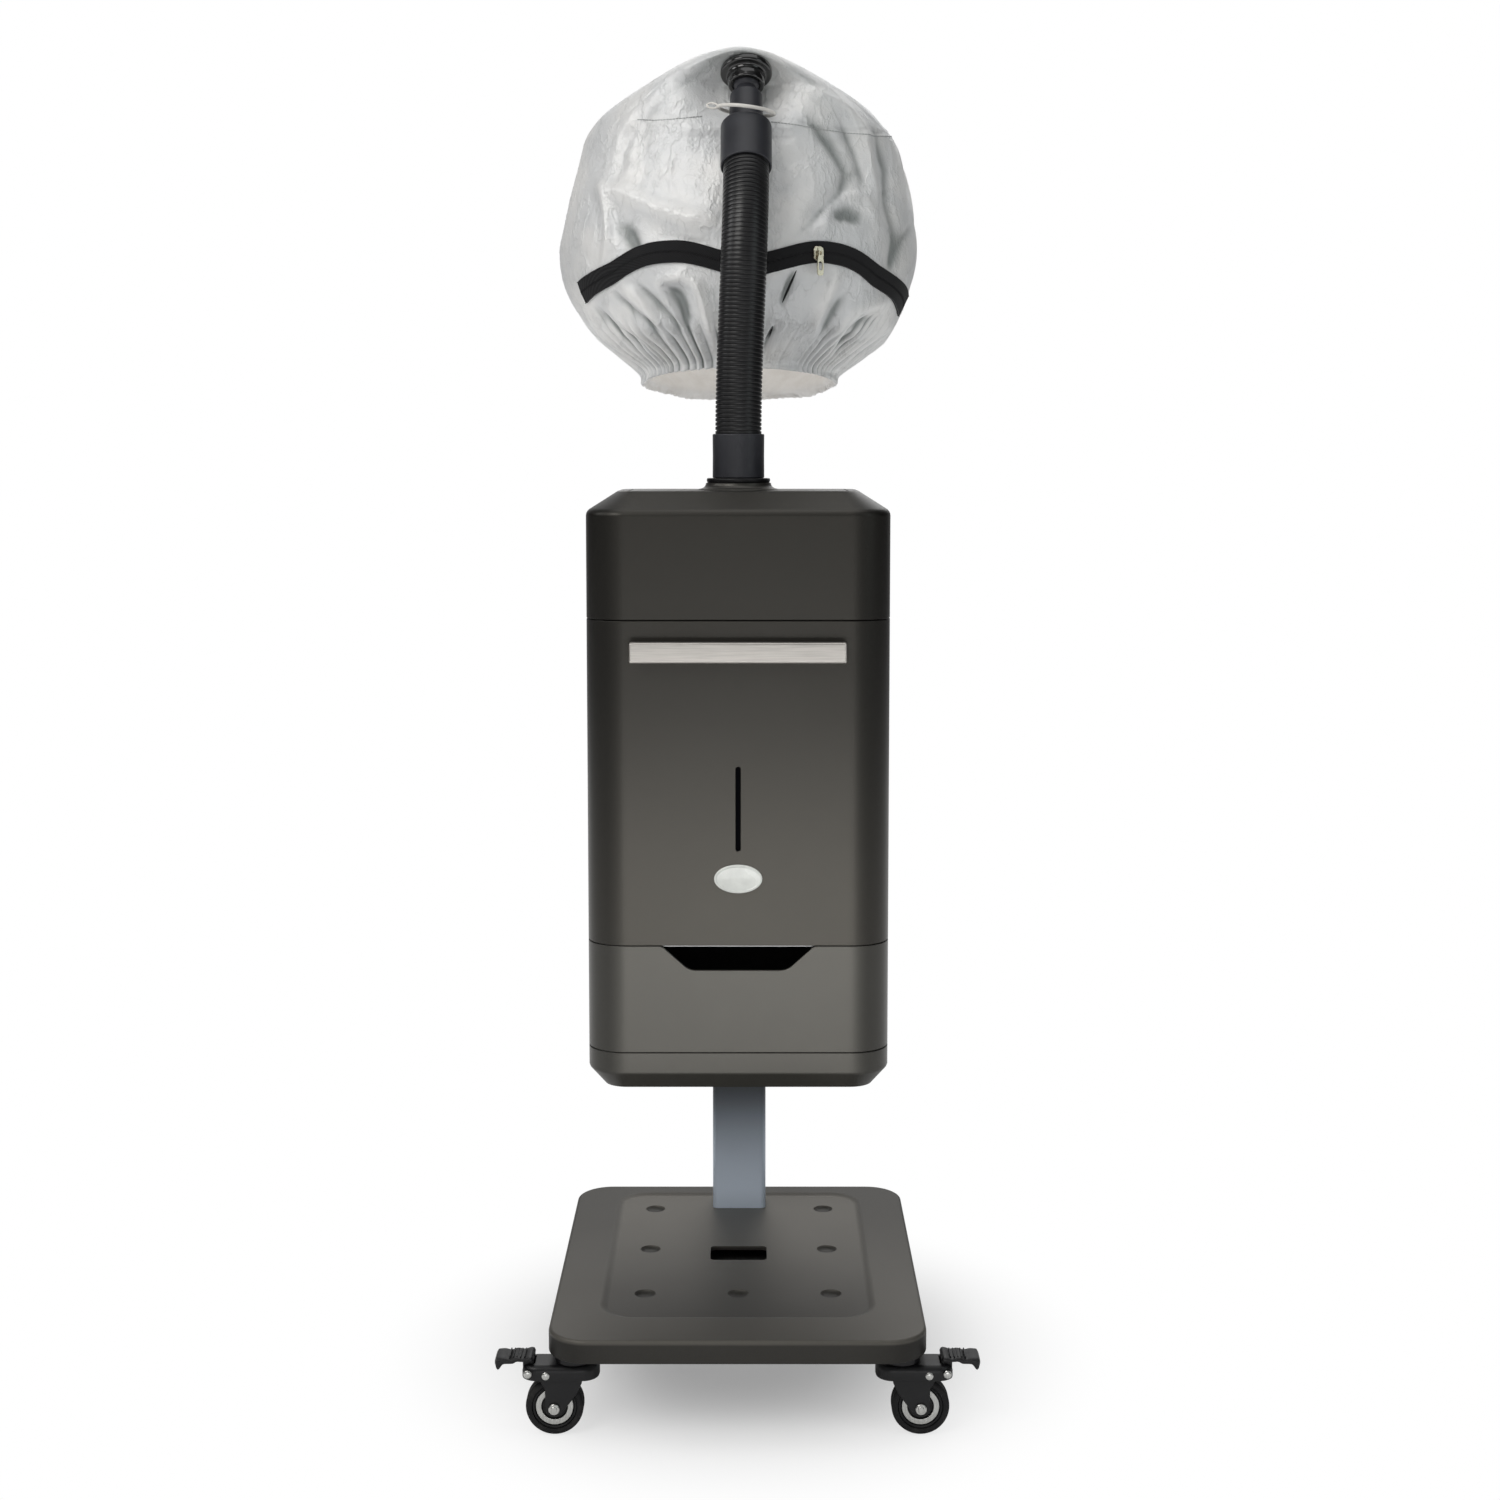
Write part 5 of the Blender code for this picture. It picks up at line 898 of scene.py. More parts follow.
# ---------------------------------------------------------------- hose and neck
def hose_place(s):
    """A point on the hose's middle line and its direction, s metres above the lower cuff's foot."""
    bend_start = HOSE_TOP - BEND_R * math.sin(LEAN)
    straight = bend_start - CUFF_FOOT_Z
    rise = straight + BEND_R * LEAN
    if s <= straight:
        point, way = Vector((0, HOSE_Y, CUFF_FOOT_Z + s)), Vector((0, 0, 1))
    else:
        angle = min((s - straight) / BEND_R, LEAN)
        way = Vector((0, math.sin(angle), math.cos(angle)))
        point = Vector((0, HOSE_Y + BEND_R * (1 - math.cos(angle)), bend_start + BEND_R * math.sin(angle)))
        point += (s - straight - BEND_R * angle) * way
    share = min(max((s - CUFF_H) / (rise - CUFF_H), 0.0), 1.0)
    point.x = SIDE_LEAN * share * share * (3 - 2 * share)
    return point, way


def hose():
    """A plain wall with a close row of flat-topped ribs, and plain ends inside the cuffs."""
    bend_start = HOSE_TOP - BEND_R * math.sin(LEAN)
    plain = UPPER_CUFF_L - UPPER_CUFF_RIM - 0.0003
    length = bend_start - CUFF_FOOT_Z + BEND_R * LEAN + plain
    ribbed_from, ribbed_to, sides = 0.050, length - plain, 64
    pitch = (ribbed_to - ribbed_from) / HOSE_RIBS
    across = Vector((1, 0, 0))

    def ring(s, radius):
        """The hose's outline s metres along it."""
        point, way = hose_place(s)
        back = way.cross(across)
        return [tuple(point + x * across + y * back) for x, y in oval((0, 0), radius, radius, sides)]

    groove, end = HOSE_R - HOSE_GROOVE, HOSE_R - 0.0001
    stations = [(0.0, end), (ribbed_from - 0.0005, end), (ribbed_from, groove)]
    stations += [(ribbed_from + (ribbed_to - ribbed_from) * step / 60, groove) for step in range(1, 60)]
    stations += [(ribbed_to, groove), (ribbed_to + 0.0005, end), (length, end)]
    rings = [ring(s, radius) for s, radius in stations]
    rings += [ring(length * (1 - step / 30), HOSE_BORE_R) for step in range(31)]
    stand_in("air_hose", skin(rings, closed=True), "hose_black", "hose", smooth=60, slot="black_plastic")

    half, edge = pitch * 0.40, pitch * 0.13
    profile = [(groove - 0.0006, -half), (groove + 0.0001, -half)]
    profile += quarter(edge, end - edge, -half + edge, -80, -15, 3) + [(HOSE_R, 0.0)]
    profile += quarter(edge, end - edge, half - edge, 15, 80, 3)
    profile += [(groove + 0.0001, half), (groove - 0.0006, half)]
    rib = moved(turned(profile, sides, True), Matrix.Rotation(math.pi / 2, 4, 'Y'))
    path = [(hose_place(ribbed_from + pitch * (k + 0.5))[0], across) for k in range(HOSE_RIBS)]
    repeated("hose_ribs", path, rib, "hose_black", BODY_OF["hose"], smooth=60, slot="black_plastic")


def cuffs():
    """The two smooth cuffs that hold the hose's ends; the upper one closes round the neck."""
    inner = CUFF_R - CUFF_T
    foot = quarter(0.0012, CUFF_R - 0.0012, 0.0012, -90, 0)
    lower = [(inner, 0.0)] + foot + [(CUFF_R - 0.0002, CUFF_H * 0.5)]
    lower += quarter(0.0014, CUFF_R - 0.0014, CUFF_H - 0.0014, 0, 90)
    lower += [(inner + 0.0008, CUFF_H), (inner, CUFF_H - 0.0010)]
    mesh = moved(turned(lower, 72, True), shift(0, HOSE_Y, CUFF_FOOT_Z))
    stand_in("hose_foot_cuff", mesh, "cuff_blue_black", "lower_cuff")

    top, collar = UPPER_CUFF_L, NECK_TUBE_R + 0.0003
    upper = [(inner, 0.0008), (inner + 0.0008, 0.0)] + foot
    upper += quarter(0.0035, CUFF_R - 0.0035, top - 0.0035, 0, 90, 7)
    upper += [(collar + 0.0006, top), (collar, top - 0.0006), (collar, top - UPPER_CUFF_RIM)]
    upper.append((inner, top - UPPER_CUFF_RIM))
    mesh = moved(turned(upper, 72, True), ALONG_NECK)
    stand_in("hose_top_cuff", mesh, "cuff_blue_black", "upper_cuff")


def hose_socket():
    """The flared boss on the cabinet's top, and the black lipped spigot in which the hose turns."""
    low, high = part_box("hose_socket")
    foot_r, boss_r, boss_h, lip_r, lip_t, spigot_r, bore = 0.047, 0.038, 0.0087, 0.037, 0.0048, 0.0210, 0.0180
    seat = shift(0, HOSE_Y, low.z)
    boss = [(bore, 0.0), (foot_r, 0.0), (foot_r - 0.0006, 0.0008)]
    for angle in (step / 6 * math.pi / 2 for step in range(7)):
        boss.append((foot_r - 0.0014 - (foot_r - boss_r - 0.0014) * math.sin(angle),
                     0.0012 + (boss_h - 0.0022) * (1 - math.cos(angle))))
    boss += [(boss_r - 0.0020, boss_h), (bore, boss_h)]
    piece("hose_boss", moved(turned(boss, 72, True), seat), "gunmetal_light", BODY_OF["hose_socket"])

    lip, top, rise = boss_h + 0.0001, boss_h + lip_t, high.z - low.z
    ring = [(bore, lip), (lip_r - 0.0008, lip)] + quarter(0.0010, lip_r - 0.0010, lip + 0.0013, -90, 0, 3)
    ring += quarter(0.0014, lip_r - 0.0014, top - 0.0014, 0, 90, 5)
    ring += [(spigot_r + 0.0004, top), (spigot_r, top + 0.0004), (spigot_r, rise - 0.0005),
             (spigot_r - 0.0005, rise), (bore, rise)]
    stand_in("hose_seat", moved(turned(ring, 72, True), seat), "black_painted", "hose_socket")


def neck():
    """The tapered pipe between the upper cuff and the clamp, with its ball end."""
    taper_end = BALL_AT - math.sqrt(BALL_R ** 2 - 0.012 ** 2)
    foot = UPPER_CUFF_L - UPPER_CUFF_RIM - NECK_INSERT
    profile = [(NECK_BORE_R, foot), (NECK_TUBE_R, foot), (NECK_TUBE_R, UPPER_CUFF_L + 0.012),
               (NECK_TUBE_R - 0.0009, UPPER_CUFF_L + 0.030)]
    start = taper_end - 0.009
    profile += quarter(0.004, NECK_TUBE_R - 0.0049, start - 0.004, 0, 60, 4) + [(0.0125, taper_end - 0.0015)]
    reach = math.asin((taper_end - BALL_AT) / BALL_R)
    top = math.asin(math.sqrt(BALL_R ** 2 - NECK_BORE_R ** 2) * 0.93 / BALL_R)
    profile += quarter(BALL_R, 0.0, BALL_AT, math.degrees(reach), math.degrees(top), 14)
    profile.append((NECK_BORE_R, profile[-1][1]))
    stand_in("neck_pipe", moved(turned(profile, 64, True), ALONG_NECK), "cuff_blue_black", "neck_tube")


def flange():
    """The glossy clamp: a thick-rimmed disc on a waisted collar, with its gripping lip inside the hood."""
    seat, back = BALL_R + BALL_ROOM, BALL_SEAT
    disc_low = back - FLANGE_T
    mouth = disc_low - COLLAR_L
    throat = math.sqrt(seat ** 2 - mouth ** 2)
    bore = NECK_BORE_R + 0.0013
    lip = back + 0.0048         # past the hood's cloth and its lining
    profile = [(throat, mouth + 0.0004), (throat + 0.0006, mouth)]
    profile += quarter(0.0022, COLLAR_R - 0.0030, mouth + 0.0022, -90, -10, 5)
    profile += [(COLLAR_R - 0.0006, mouth + 0.0045), (COLLAR_R, mouth + 0.0070),
                (COLLAR_R - 0.0006, disc_low - 0.0045), (COLLAR_R, disc_low - 0.0018),
                (COLLAR_R + 0.0014, disc_low - 0.0003), (FLANGE_R - 0.0055, disc_low)]
    profile += quarter(0.0030, FLANGE_R - 0.0030, disc_low + 0.0030, -90, 0, 7)
    profile += quarter(0.0025, FLANGE_R - 0.0025, back - 0.0025, 0, 90, 6)
    profile += [(0.0135, back), (0.0135, lip), (0.0195, lip), (0.0200, lip + 0.0006), (0.0200, lip + 0.0029),
                (0.0194, lip + 0.0035), (bore, lip + 0.0035)]
    start = math.degrees(math.asin(math.sqrt(seat ** 2 - bore ** 2) / seat))
    end = math.degrees(math.asin(mouth / seat))
    profile += quarter(seat, 0.0, 0.0, start, end, 14)[1:-1]
    mesh = moved(turned(profile, 72, True), ALONG_NECK @ shift(z=BALL_AT))
    stand_in("hood_clamp", mesh, "gloss_black", "hood_flange", smooth=50)


def hoop(centre, radius, wire, across, up, points, sides):
    """A ring of wire in the plane of two vectors."""
    normal = across.cross(up).normalized()
    rings = []
    for turn in (TURN * i / points for i in range(points)):
        spoke = across * math.cos(turn) + up * math.sin(turn)
        out, at = spoke.normalized(), centre + spoke * radius
        rings.append([tuple(at + x * out + z * normal) for x, z in oval((0, 0), wire, wire, sides)])
    return skin(rings, closed=True)


def neck_ring():
    """A loose wire ring with a small eye at its left, lying on the upper cuff's front rim."""
    middle = NECK_FOOT + NECK_AXIS * UPPER_CUFF_L + Vector((0, RING_BACK, CUFF_R * math.sin(LEAN) + RING_UP))
    place = Matrix.Translation(middle) @ Matrix.Rotation(RING_ROLL, 4, 'Y')
    x_way, y_way, eye_r = Vector((1, 0, 0)), Vector((0, 1, 0)), 0.0065
    loop = hoop(Vector((0, 0, 0)), RING_R, RING_WIRE, x_way, y_way, 96, 12)
    eye = hoop(Vector((-RING_R - eye_r, -RING_BACK, 0)), eye_r, 0.0013, x_way, Vector((0, 0.25, 0.5)), 40, 10)
    mesh = moved(combined(loop, [eye], 'UNION'), place)
    stand_in("neck_hoop", mesh, "ring_white", "neck_ring")


# ---------------------------------------------------------------- cloth hood
# by stations, as in the part's source: height, half width, reach of the front, reach of the back
HOOD_STATIONS = np.array((
    (1.1517, 0.1235, 0.1380, 0.3820), (1.1645, 0.1275, 0.1330, 0.3860), (1.1890, 0.1580, 0.1060, 0.4120),
    (1.2135, 0.1865, 0.0850, 0.4330), (1.2600, 0.2150, 0.0720, 0.4480), (1.3100, 0.2265, 0.0650, 0.4550),
    (1.3700, 0.2190, 0.0720, 0.4480), (1.4305, 0.2030, 0.0860, 0.4320), (1.4615, 0.1900, 0.0880, 0.4150),
    (1.4925, 0.1580, 0.0820, 0.3860), (1.5210, 0.1070, 0.0740, 0.3500), (1.5380, 0.0680, 0.0740, 0.3170),
    (1.5455, 0.0400, 0.0930, 0.2740)))
HOOD_REACH, HOOD_TOP = 0.260, (1.5500, 0.165)
HOOD_TILT, HOOD_TILT_END = 0.140, 1.260
HOOD_COLUMNS, HOOD_ROWS, LINING_ROWS = 600, 146, 40
CLOSER_IN_FRONT = 0.35      # how much closer the columns stand in front than evenly
LINING_IN = 0.0065          # the lining hangs this far inside the cloth
HEM_ROLL = 0.0022           # the radius of the roll at the rim
GATHERS, GATHER_H = 78, 0.0044
FOLD_REACH = 1.06           # how much further down the folds' lines are drawn than they lie
ZIP_W, ZIP_LIFT, ZIP_T = 0.026, 0.0011, 0.0012
ZIP_LINE = np.array(((-66.0, 1.260), (-45.0, 1.280), (-20.0, 1.303), (2.0, 1.286), (28.0, 1.303),
                     (50.0, 1.278), (82.0, 1.248)))
ZIP_FROM, ZIP_TO = -64.0, 81.0

# The front's folds, as they lie across the hood: how far each stands out (+) or in (-), how wide it
# is, and its line as (across from the middle, down from the crown), all in millimetres.
FRONT_FOLDS = (
    ("tent's ridge", 12.0, 10, ((-170, 173), (-137, 186), (-99, 207), (-65, 219), (-22, 229))),
    ("tent's edge", 7.0, 6, ((-168, 176), (-161, 208), (-158, 244), (-164, 268))),
    ("tent's hollow", -9.0, 8, ((-136, 232), (-130, 244), (-123, 256))),
    ("tent's inside", -3.5, 13, ((-152, 200), (-146, 238))),
    ("tent's slope", -3.0, 10, ((-100, 236), (-70, 243), (-40, 250))),
    ("shoulder ridge", 3.0, 8, ((-105, 52), (-131, 118), (-137, 158))),
    ("shoulder valley", -3.0, 7, ((-96, 50), (-116, 100), (-122, 172))),
    ("outer ridge", 2.5, 8, ((-134, 79), (-150, 108), (-166, 168))),
    ("outer valley", -2.5, 6, ((-122, 86), (-141, 112), (-152, 168))),
    ("bulge's edge", -7.0, 9, ((78, 92), (105, 124), (127, 160), (121, 186), (97, 212), (70, 240))),
    ("bulge", 5.0, 30, ((60, 150), (75, 190), (60, 225))),
    ("right ridge", 6.0, 8, ((88, 55), (124, 76), (145, 102), (153, 142), (166, 190))),
    ("right valley", -5.5, 7, ((119, 98), (136, 134), (151, 172))),
    ("long valley", -5.5, 8, ((160, 98), (177, 148), (178, 190), (193, 235), (190, 280))),
    ("far ridge", 4.0, 10, ((176, 95), (196, 150), (205, 215))),
    ("far crease", -4.0, 6, ((217, 212), (198, 250), (186, 278))),
    ("pocket", -9.0, 13, ((116, 220), (130, 212), (147, 222))),
    ("pocket's lip", 5.0, 6, ((98, 232), (108, 206), (126, 190), (150, 190), (163, 208))),
    ("under pocket", 4.0, 8, ((98, 232), (120, 226), (150, 226))),
    ("tongue", 9.0, 8, ((-92, 298), (-68, 293), (-50, 303), (-42, 322), (-33, 355))),
    ("tongue's hollow", -8.0, 9, ((-85, 306), (-74, 318), (-66, 334), (-59, 354))),
    ("second tongue", 5.0, 6, ((-100, 300), (-88, 318), (-72, 350))),
    ("lower line one", -7.0, 5, ((-127, 298), (-100, 325), (-72, 357))),
    ("lower fold one", 6.5, 8, ((-140, 302), (-112, 332), (-84, 360))),
    ("lower line two", -7.0, 6, ((-152, 312), (-122, 340), (-95, 362))),
    ("lower fold two", 6.0, 9, ((-166, 318), (-140, 345), (-106, 370))),
    ("lower line three", -6.0, 7, ((-178, 330), (-150, 355), (-120, 374))),
    ("lower fold three", 4.0, 9, ((-192, 328), (-160, 366), (-130, 388))),
    ("right tongue", 6.0, 8, ((119, 286), (100, 331), (90, 364))),
    ("right hollow", -6.0, 8, ((128, 316), (114, 340), (102, 364))),
    ("right fold one", 7.0, 9, ((180, 316), (140, 334), (116, 368))),
    ("right line one", -8.0, 7, ((164, 338), (136, 358), (122, 380))),
    ("right fold two", 5.0, 9, ((205, 335), (168, 364), (132, 390))),
    ("right line two", -6.0, 7, ((192, 356), (160, 376), (138, 392))),
    ("upper slit", -6.0, 3.4, ((67, 286), (59, 303), (52, 326))),
    ("lower slit", -6.0, 3.4, ((44, 354), (37, 368), (30, 384))),
    ("crown seam left", -1.6, 2.0, ((-72, 83), (-50, 88), (-24, 86))),
    ("crown seam right", -1.8, 2.0, ((40, 92), (60, 94), (85, 101), (120, 101), (160, 98), (186, 94))),
    ("left brow", 2.5, 16, ((-150, 128), (-96, 158), (-40, 190))),
    ("crown pinch left", -3.0, 8, ((-26, 14), (-58, 34), (-92, 62))),
    ("crown pinch right", -3.0, 8, ((44, 20), (74, 38), (102, 60))),
)


def catmull(table, t):
    """Rows of a table blended smoothly at places t along it."""
    last = len(table) - 1
    t = np.clip(t, 0.0, last)
    k = np.minimum(t.astype(int), last - 1)
    f = (t - k)[..., None]
    a, b, c, d = (table[np.clip(k + i, 0, last)] for i in (-1, 0, 1, 2))
    bend, twist = 2 * a - 5 * b + 4 * c - d, 3 * b - a - 3 * c + d
    return 0.5 * (2 * b + (c - a) * f + bend * f ** 2 + twist * f ** 3)


def smooth(x, low, high):
    """0 below low, 1 above high, and smooth between them."""
    share = np.clip((x - low) / (high - low), 0, 1)
    return share * share * (3 - 2 * share)


def hood_form(t, angle, inset=0.0):
    """The hood without its folds, at places t along the stations (the last is the crown) and at angles."""
    last = len(HOOD_STATIONS) - 1
    z, half, near, far = np.moveaxis(catmull(HOOD_STATIONS, t), -1, 0)
    over = np.clip(t - last, 0, 1)
    middle = (near + far) / 2
    middle = middle + (HOOD_TOP[1] - middle) * over
    z = z + (HOOD_TOP[0] - z) * (1 - (1 - over) ** 2)
    half, depth = (half - inset) * (1 - over), ((far - near) / 2 - inset) * (1 - over)
    turn = np.radians(angle)
    y = middle - depth * np.cos(turn)
    tilt = np.clip((HOOD_TILT_END - z) / (HOOD_TILT_END - HOOD_STATIONS[0, 0]), 0, 1)
    z = z - HOOD_TILT * tilt * (y - HOOD_REACH) - inset * smooth(t, last - 4, last)
    return np.stack((half * np.sin(turn), HOSE_Y + y, z), -1)


def along(line, x, z):
    """How far points are from a line, and where along it the nearest place is, from 0 to 1."""
    line = np.array(line, float)
    lengths = np.linalg.norm(np.diff(line, axis=0), axis=1)
    ends = np.concatenate(([0], np.cumsum(lengths)))
    best, share = np.full(x.shape, 1e9), np.zeros(x.shape)
    for k, length in enumerate(lengths):
        way = (line[k + 1] - line[k]) / length
        s = np.clip((x - line[k, 0]) * way[0] + (z - line[k, 1]) * way[1], 0, length)
        far = np.hypot(x - line[k, 0] - s * way[0], z - line[k, 1] - s * way[1])
        nearer = far < best
        best = np.where(nearer, far, best)
        share = np.where(nearer, (ends[k] + s) / ends[-1], share)
    return best, share


def zip_height(angle):
    """The zip's height round the hood: a smooth curve through the points of its line."""
    x, z = ZIP_LINE[:, 0], ZIP_LINE[:, 1]
    slope = np.gradient(z, x)
    k = np.clip(np.searchsorted(x, angle) - 1, 0, len(x) - 2)
    step = x[k + 1] - x[k]
    f = np.clip((angle - x[k]) / step, 0, 1)
    start, end = z[k] + slope[k] * step * f, z[k + 1] - slope[k + 1] * step * (1 - f)
    share = f * f * (3 - 2 * f)
    return start + (end - start) * share


def fold_height(points, angle):
    """How far the cloth stands out of its plain form, in metres, and a painted shade from -1 to +1: dark in
    deep places and round the clamp, a painted highlight where the cloth lies proud.
    """
    down = (HOOD_TOP[0] - points[..., 2]) * 1000
    x = points[..., 0] * 1000 - 9 * smooth(points[..., 2], 1.3, 1.5)
    turn = np.radians(angle)
    front = smooth(np.cos(turn), -0.05, 0.25)
    height = np.zeros(x.shape)
    for _, out, width, line in FRONT_FOLDS:
        far, share = along(line, x, down * FOLD_REACH)
        ends = smooth(share, -0.25, 0.25) * smooth(1 - share, -0.25, 0.25)
        height += out * np.exp(-np.abs(far / width) ** 1.5) * ends
    taped = smooth(ZIP_TO + 6 - angle, 0, 6) * smooth(angle - ZIP_FROM + 6, 0, 6)
    under_tape = 1 - 0.93 * np.exp(-((points[..., 2] - zip_height(angle)) / 0.017) ** 2) * taped
    height *= front * under_tape
    height += 0.7 * np.sin(11 * turn + 0.05 * down) * front * smooth(down, 40, 120)
    height += creases(turn, down) * under_tape * smooth(down, 6, 60) * (1 - smooth(down, 330, 380))
    gathered = gathers(turn, down)
    height += 1000 * GATHER_H * gathered
    behind = waves_behind(turn, down) * (1 - front)
    # Painted shadow of the clamp on the cloth round it, put into the painted shade.
    clamp_shadow = np.exp(-((x - 2) ** 2 + (down - 34) ** 2) / 36 ** 2) * front
    # The painted shade: deep hollows and the gathers' valleys darken, proud folds lighten.
    depth = (height + 0.35 * behind) / 8 + 0.85 * gathered - 0.75 * clamp_shadow
    return (height + behind) / 1000, np.clip(depth, -1, 1)


def gathers(turn, down):
    """The close pleats above the rim, as shares of their full height; the front has a plainer stretch."""
    wave = GATHERS / 2 * turn + 1.1 * np.sin(7 * turn) + 0.65 * np.sin(17 * turn + 1.0) + 0.005 * down
    ruffle = 1.5 * np.abs(np.sin(wave)) ** 0.8 - 1.0
    tall = 0.75 + 0.25 * np.sin(31 * turn + 0.5)
    angle = np.degrees(turn)
    plainer = 1 - 0.85 * smooth(angle, 4, 12) * (1 - smooth(angle, 34, 44))
    return smooth(down, 296, 362) * ruffle * tall * plainer


def waves_behind(turn, down):
    """The long soft waves of the hood's back and the pleats that fan from its rim, in millimetres."""
    long = (2.6 * np.sin(5 * turn + 0.035 * down + 0.6) + 1.8 * np.sin(9 * turn - 0.022 * down + 2.1)
            + 1.2 * np.sin(14 * turn + 0.030 * down))
    fan = np.sin(26 * turn + 1.5 * np.sin(5 * turn)) * (1 - 0.5 * smooth(down, 296, 362))
    return long * smooth(down, 20, 90) + 2.2 * fan * smooth(down, 262, 330)


def creases(turn, down):
    """Small sharp creases that cross each other, in millimetres: thin ridges of warped waves."""
    warp = 1.7 * np.sin(3 * turn + 0.019 * down) + 0.9 * np.sin(7 * turn - 0.031 * down + 1.4)
    sway = 2.0 * np.sin(2 * turn + 0.5) + 0.8 * np.sin(9 * turn) + 0.4 * warp
    leaning = 1 - np.abs(np.sin(8.5 * turn + 0.030 * down + warp))
    level_ones = 1 - np.abs(np.sin(0.046 * down + sway))
    steep = 1 - np.abs(np.sin(13 * turn - 0.022 * down - 1.3 * warp + 0.7))
    where = 0.5 + 0.5 * np.sin(4 * turn + 0.027 * down + 2.2) * np.sin(0.021 * down - 3 * turn)
    return 1.5 * leaning ** 5 * where - 1.3 * level_ones ** 6 * (1 - where) + 1.0 * steep ** 5 * (1 - where)


def round_the_neck(points):
    """Draws the cloth back from the neck and the clamp, as they press into its front."""
    x, y, z = np.moveaxis(points, -1, 0)
    rise = z - HOSE_TOP
    past_cuff = smooth(rise, 0.042, 0.056)
    clear = (CUFF_R + 0.0050) * (1 - past_cuff) + (NECK_TUBE_R + 0.0070) * past_cuff
    behind = NECK_FOOT.y + rise * math.tan(LEAN) + clear / math.cos(LEAN)
    clamp = NECK_FOOT + NECK_AXIS * FLANGE_BACK
    resting = clamp.y + 0.0008 + (clamp.z - z) / math.tan(LEAN)
    need = np.clip(np.minimum(behind, resting) - y, 0, None)
    beside = 1 - smooth(np.abs(x - SIDE_LEAN), 0.030, 0.115)
    front = smooth(HOSE_Y + HOOD_REACH - y, 0.02, 0.10)
    points = points.copy()
    points[..., 1] += need * beside * front * smooth(rise, -0.01, 0.01)
    return points


def facing_out(points, wrap=True):
    """Unit normals of a grid whose columns run round the hood."""
    round_it = np.roll(points, -1, 1) - np.roll(points, 1, 1) if wrap else np.gradient(points, axis=1)
    up = np.gradient(points, axis=0)
    normal = np.cross(round_it, up)
    size = np.linalg.norm(normal, axis=-1, keepdims=True)
    return normal / np.maximum(size, 1e-12)


def hood_surface(t, angle, lift=0.0, wrap=True):
    """The folded cloth on a grid of places, raised by a lift."""
    t, angle = np.meshgrid(t, angle, indexing='ij')
    base = hood_form(t, angle)
    height = fold_height(base, angle)[0] * smooth(len(HOOD_STATIONS) - t, 0.0, 1.2)
    folded = base + facing_out(base, wrap) * height[..., None]
    folded = round_the_neck(folded)
    if lift:
        folded = folded + facing_out(folded, wrap) * lift
    return folded


def spread(count):
    """Angles of so many columns round the hood, closer together in front."""
    share = np.arange(count) / count
    return 360 * share - math.degrees(CLOSER_IN_FRONT) * np.sin(TURN * share)


def rolled_hem(outer):
    """Four rings that roll the cloth's rim inwards, from the innermost out."""
    normal, rim, roll = facing_out(outer)[0], outer[0], HEM_ROLL
    rings = [rim - normal * (roll * (1 - math.cos(a))) - np.array((0, 0, roll * math.sin(a)))
             for a in (0.6, 1.2, 1.9, 2.6)]
    return np.array(rings[::-1])


def hood_lining():
    """The white lining: it follows the deep folds, ripples at the rim and clears the clamp."""
    share = np.linspace(0.0, 1.0, LINING_ROWS) ** 1.15
    reach = len(HOOD_STATIONS) - 0.10
    t, angle = np.meshgrid(share * reach, spread(HOOD_COLUMNS // 3), indexing='ij')
    lining = hood_form(t, angle, LINING_IN + 0.0030 * smooth(t, 0.05, 0.6))
    pushed = np.minimum(fold_height(hood_form(t, angle), angle)[0], 0) * smooth(t, 1.0, 3.0)
    lining += facing_out(lining) * pushed[..., None]
    turn = np.radians(angle)
    ripple = 0.0014 * np.sin(turn * 40 + 3 * np.sin(turn * 5)) * np.exp(-t / 1.2)
    lining += facing_out(lining) * ripple[..., None]
    lining[..., 2] += 0.0035 * np.exp(-t * 2.5)
    lining = round_the_neck(lining)
    from_front = HOSE_Y + HOOD_REACH - lining[..., 1]
    lining[..., 1] += 0.008 * smooth(from_front, 0.02, 0.12) * smooth(lining[..., 2], 1.36, 1.44)
    return lining


def hood_faces(outer, inner):
    """The sheet's faces over two grids of indices: cloth, lining, two crowns and the seam between them."""
    faces = []
    for grid, way in ((outer, 1), (inner, -1)):
        low, high = grid[:-1], grid[1:]
        quads = np.stack((low, np.roll(low, -1, 1), np.roll(high, -1, 1), high), -1).reshape(-1, 4)
        faces += [tuple(quad) for quad in quads[:, ::way].tolist()]
    faces.append(tuple(outer[-1].tolist()))
    faces.append(tuple(inner[-1][::-1].tolist()))
    rim, seam = outer[0].tolist(), inner[0].tolist()
    for j, start in enumerate(seam):
        along_rim = [rim[(3 * j + k) % len(rim)] for k in (3, 2, 1, 0)]
        faces.append((start, seam[(j + 1) % len(seam)], *along_rim))
    return faces


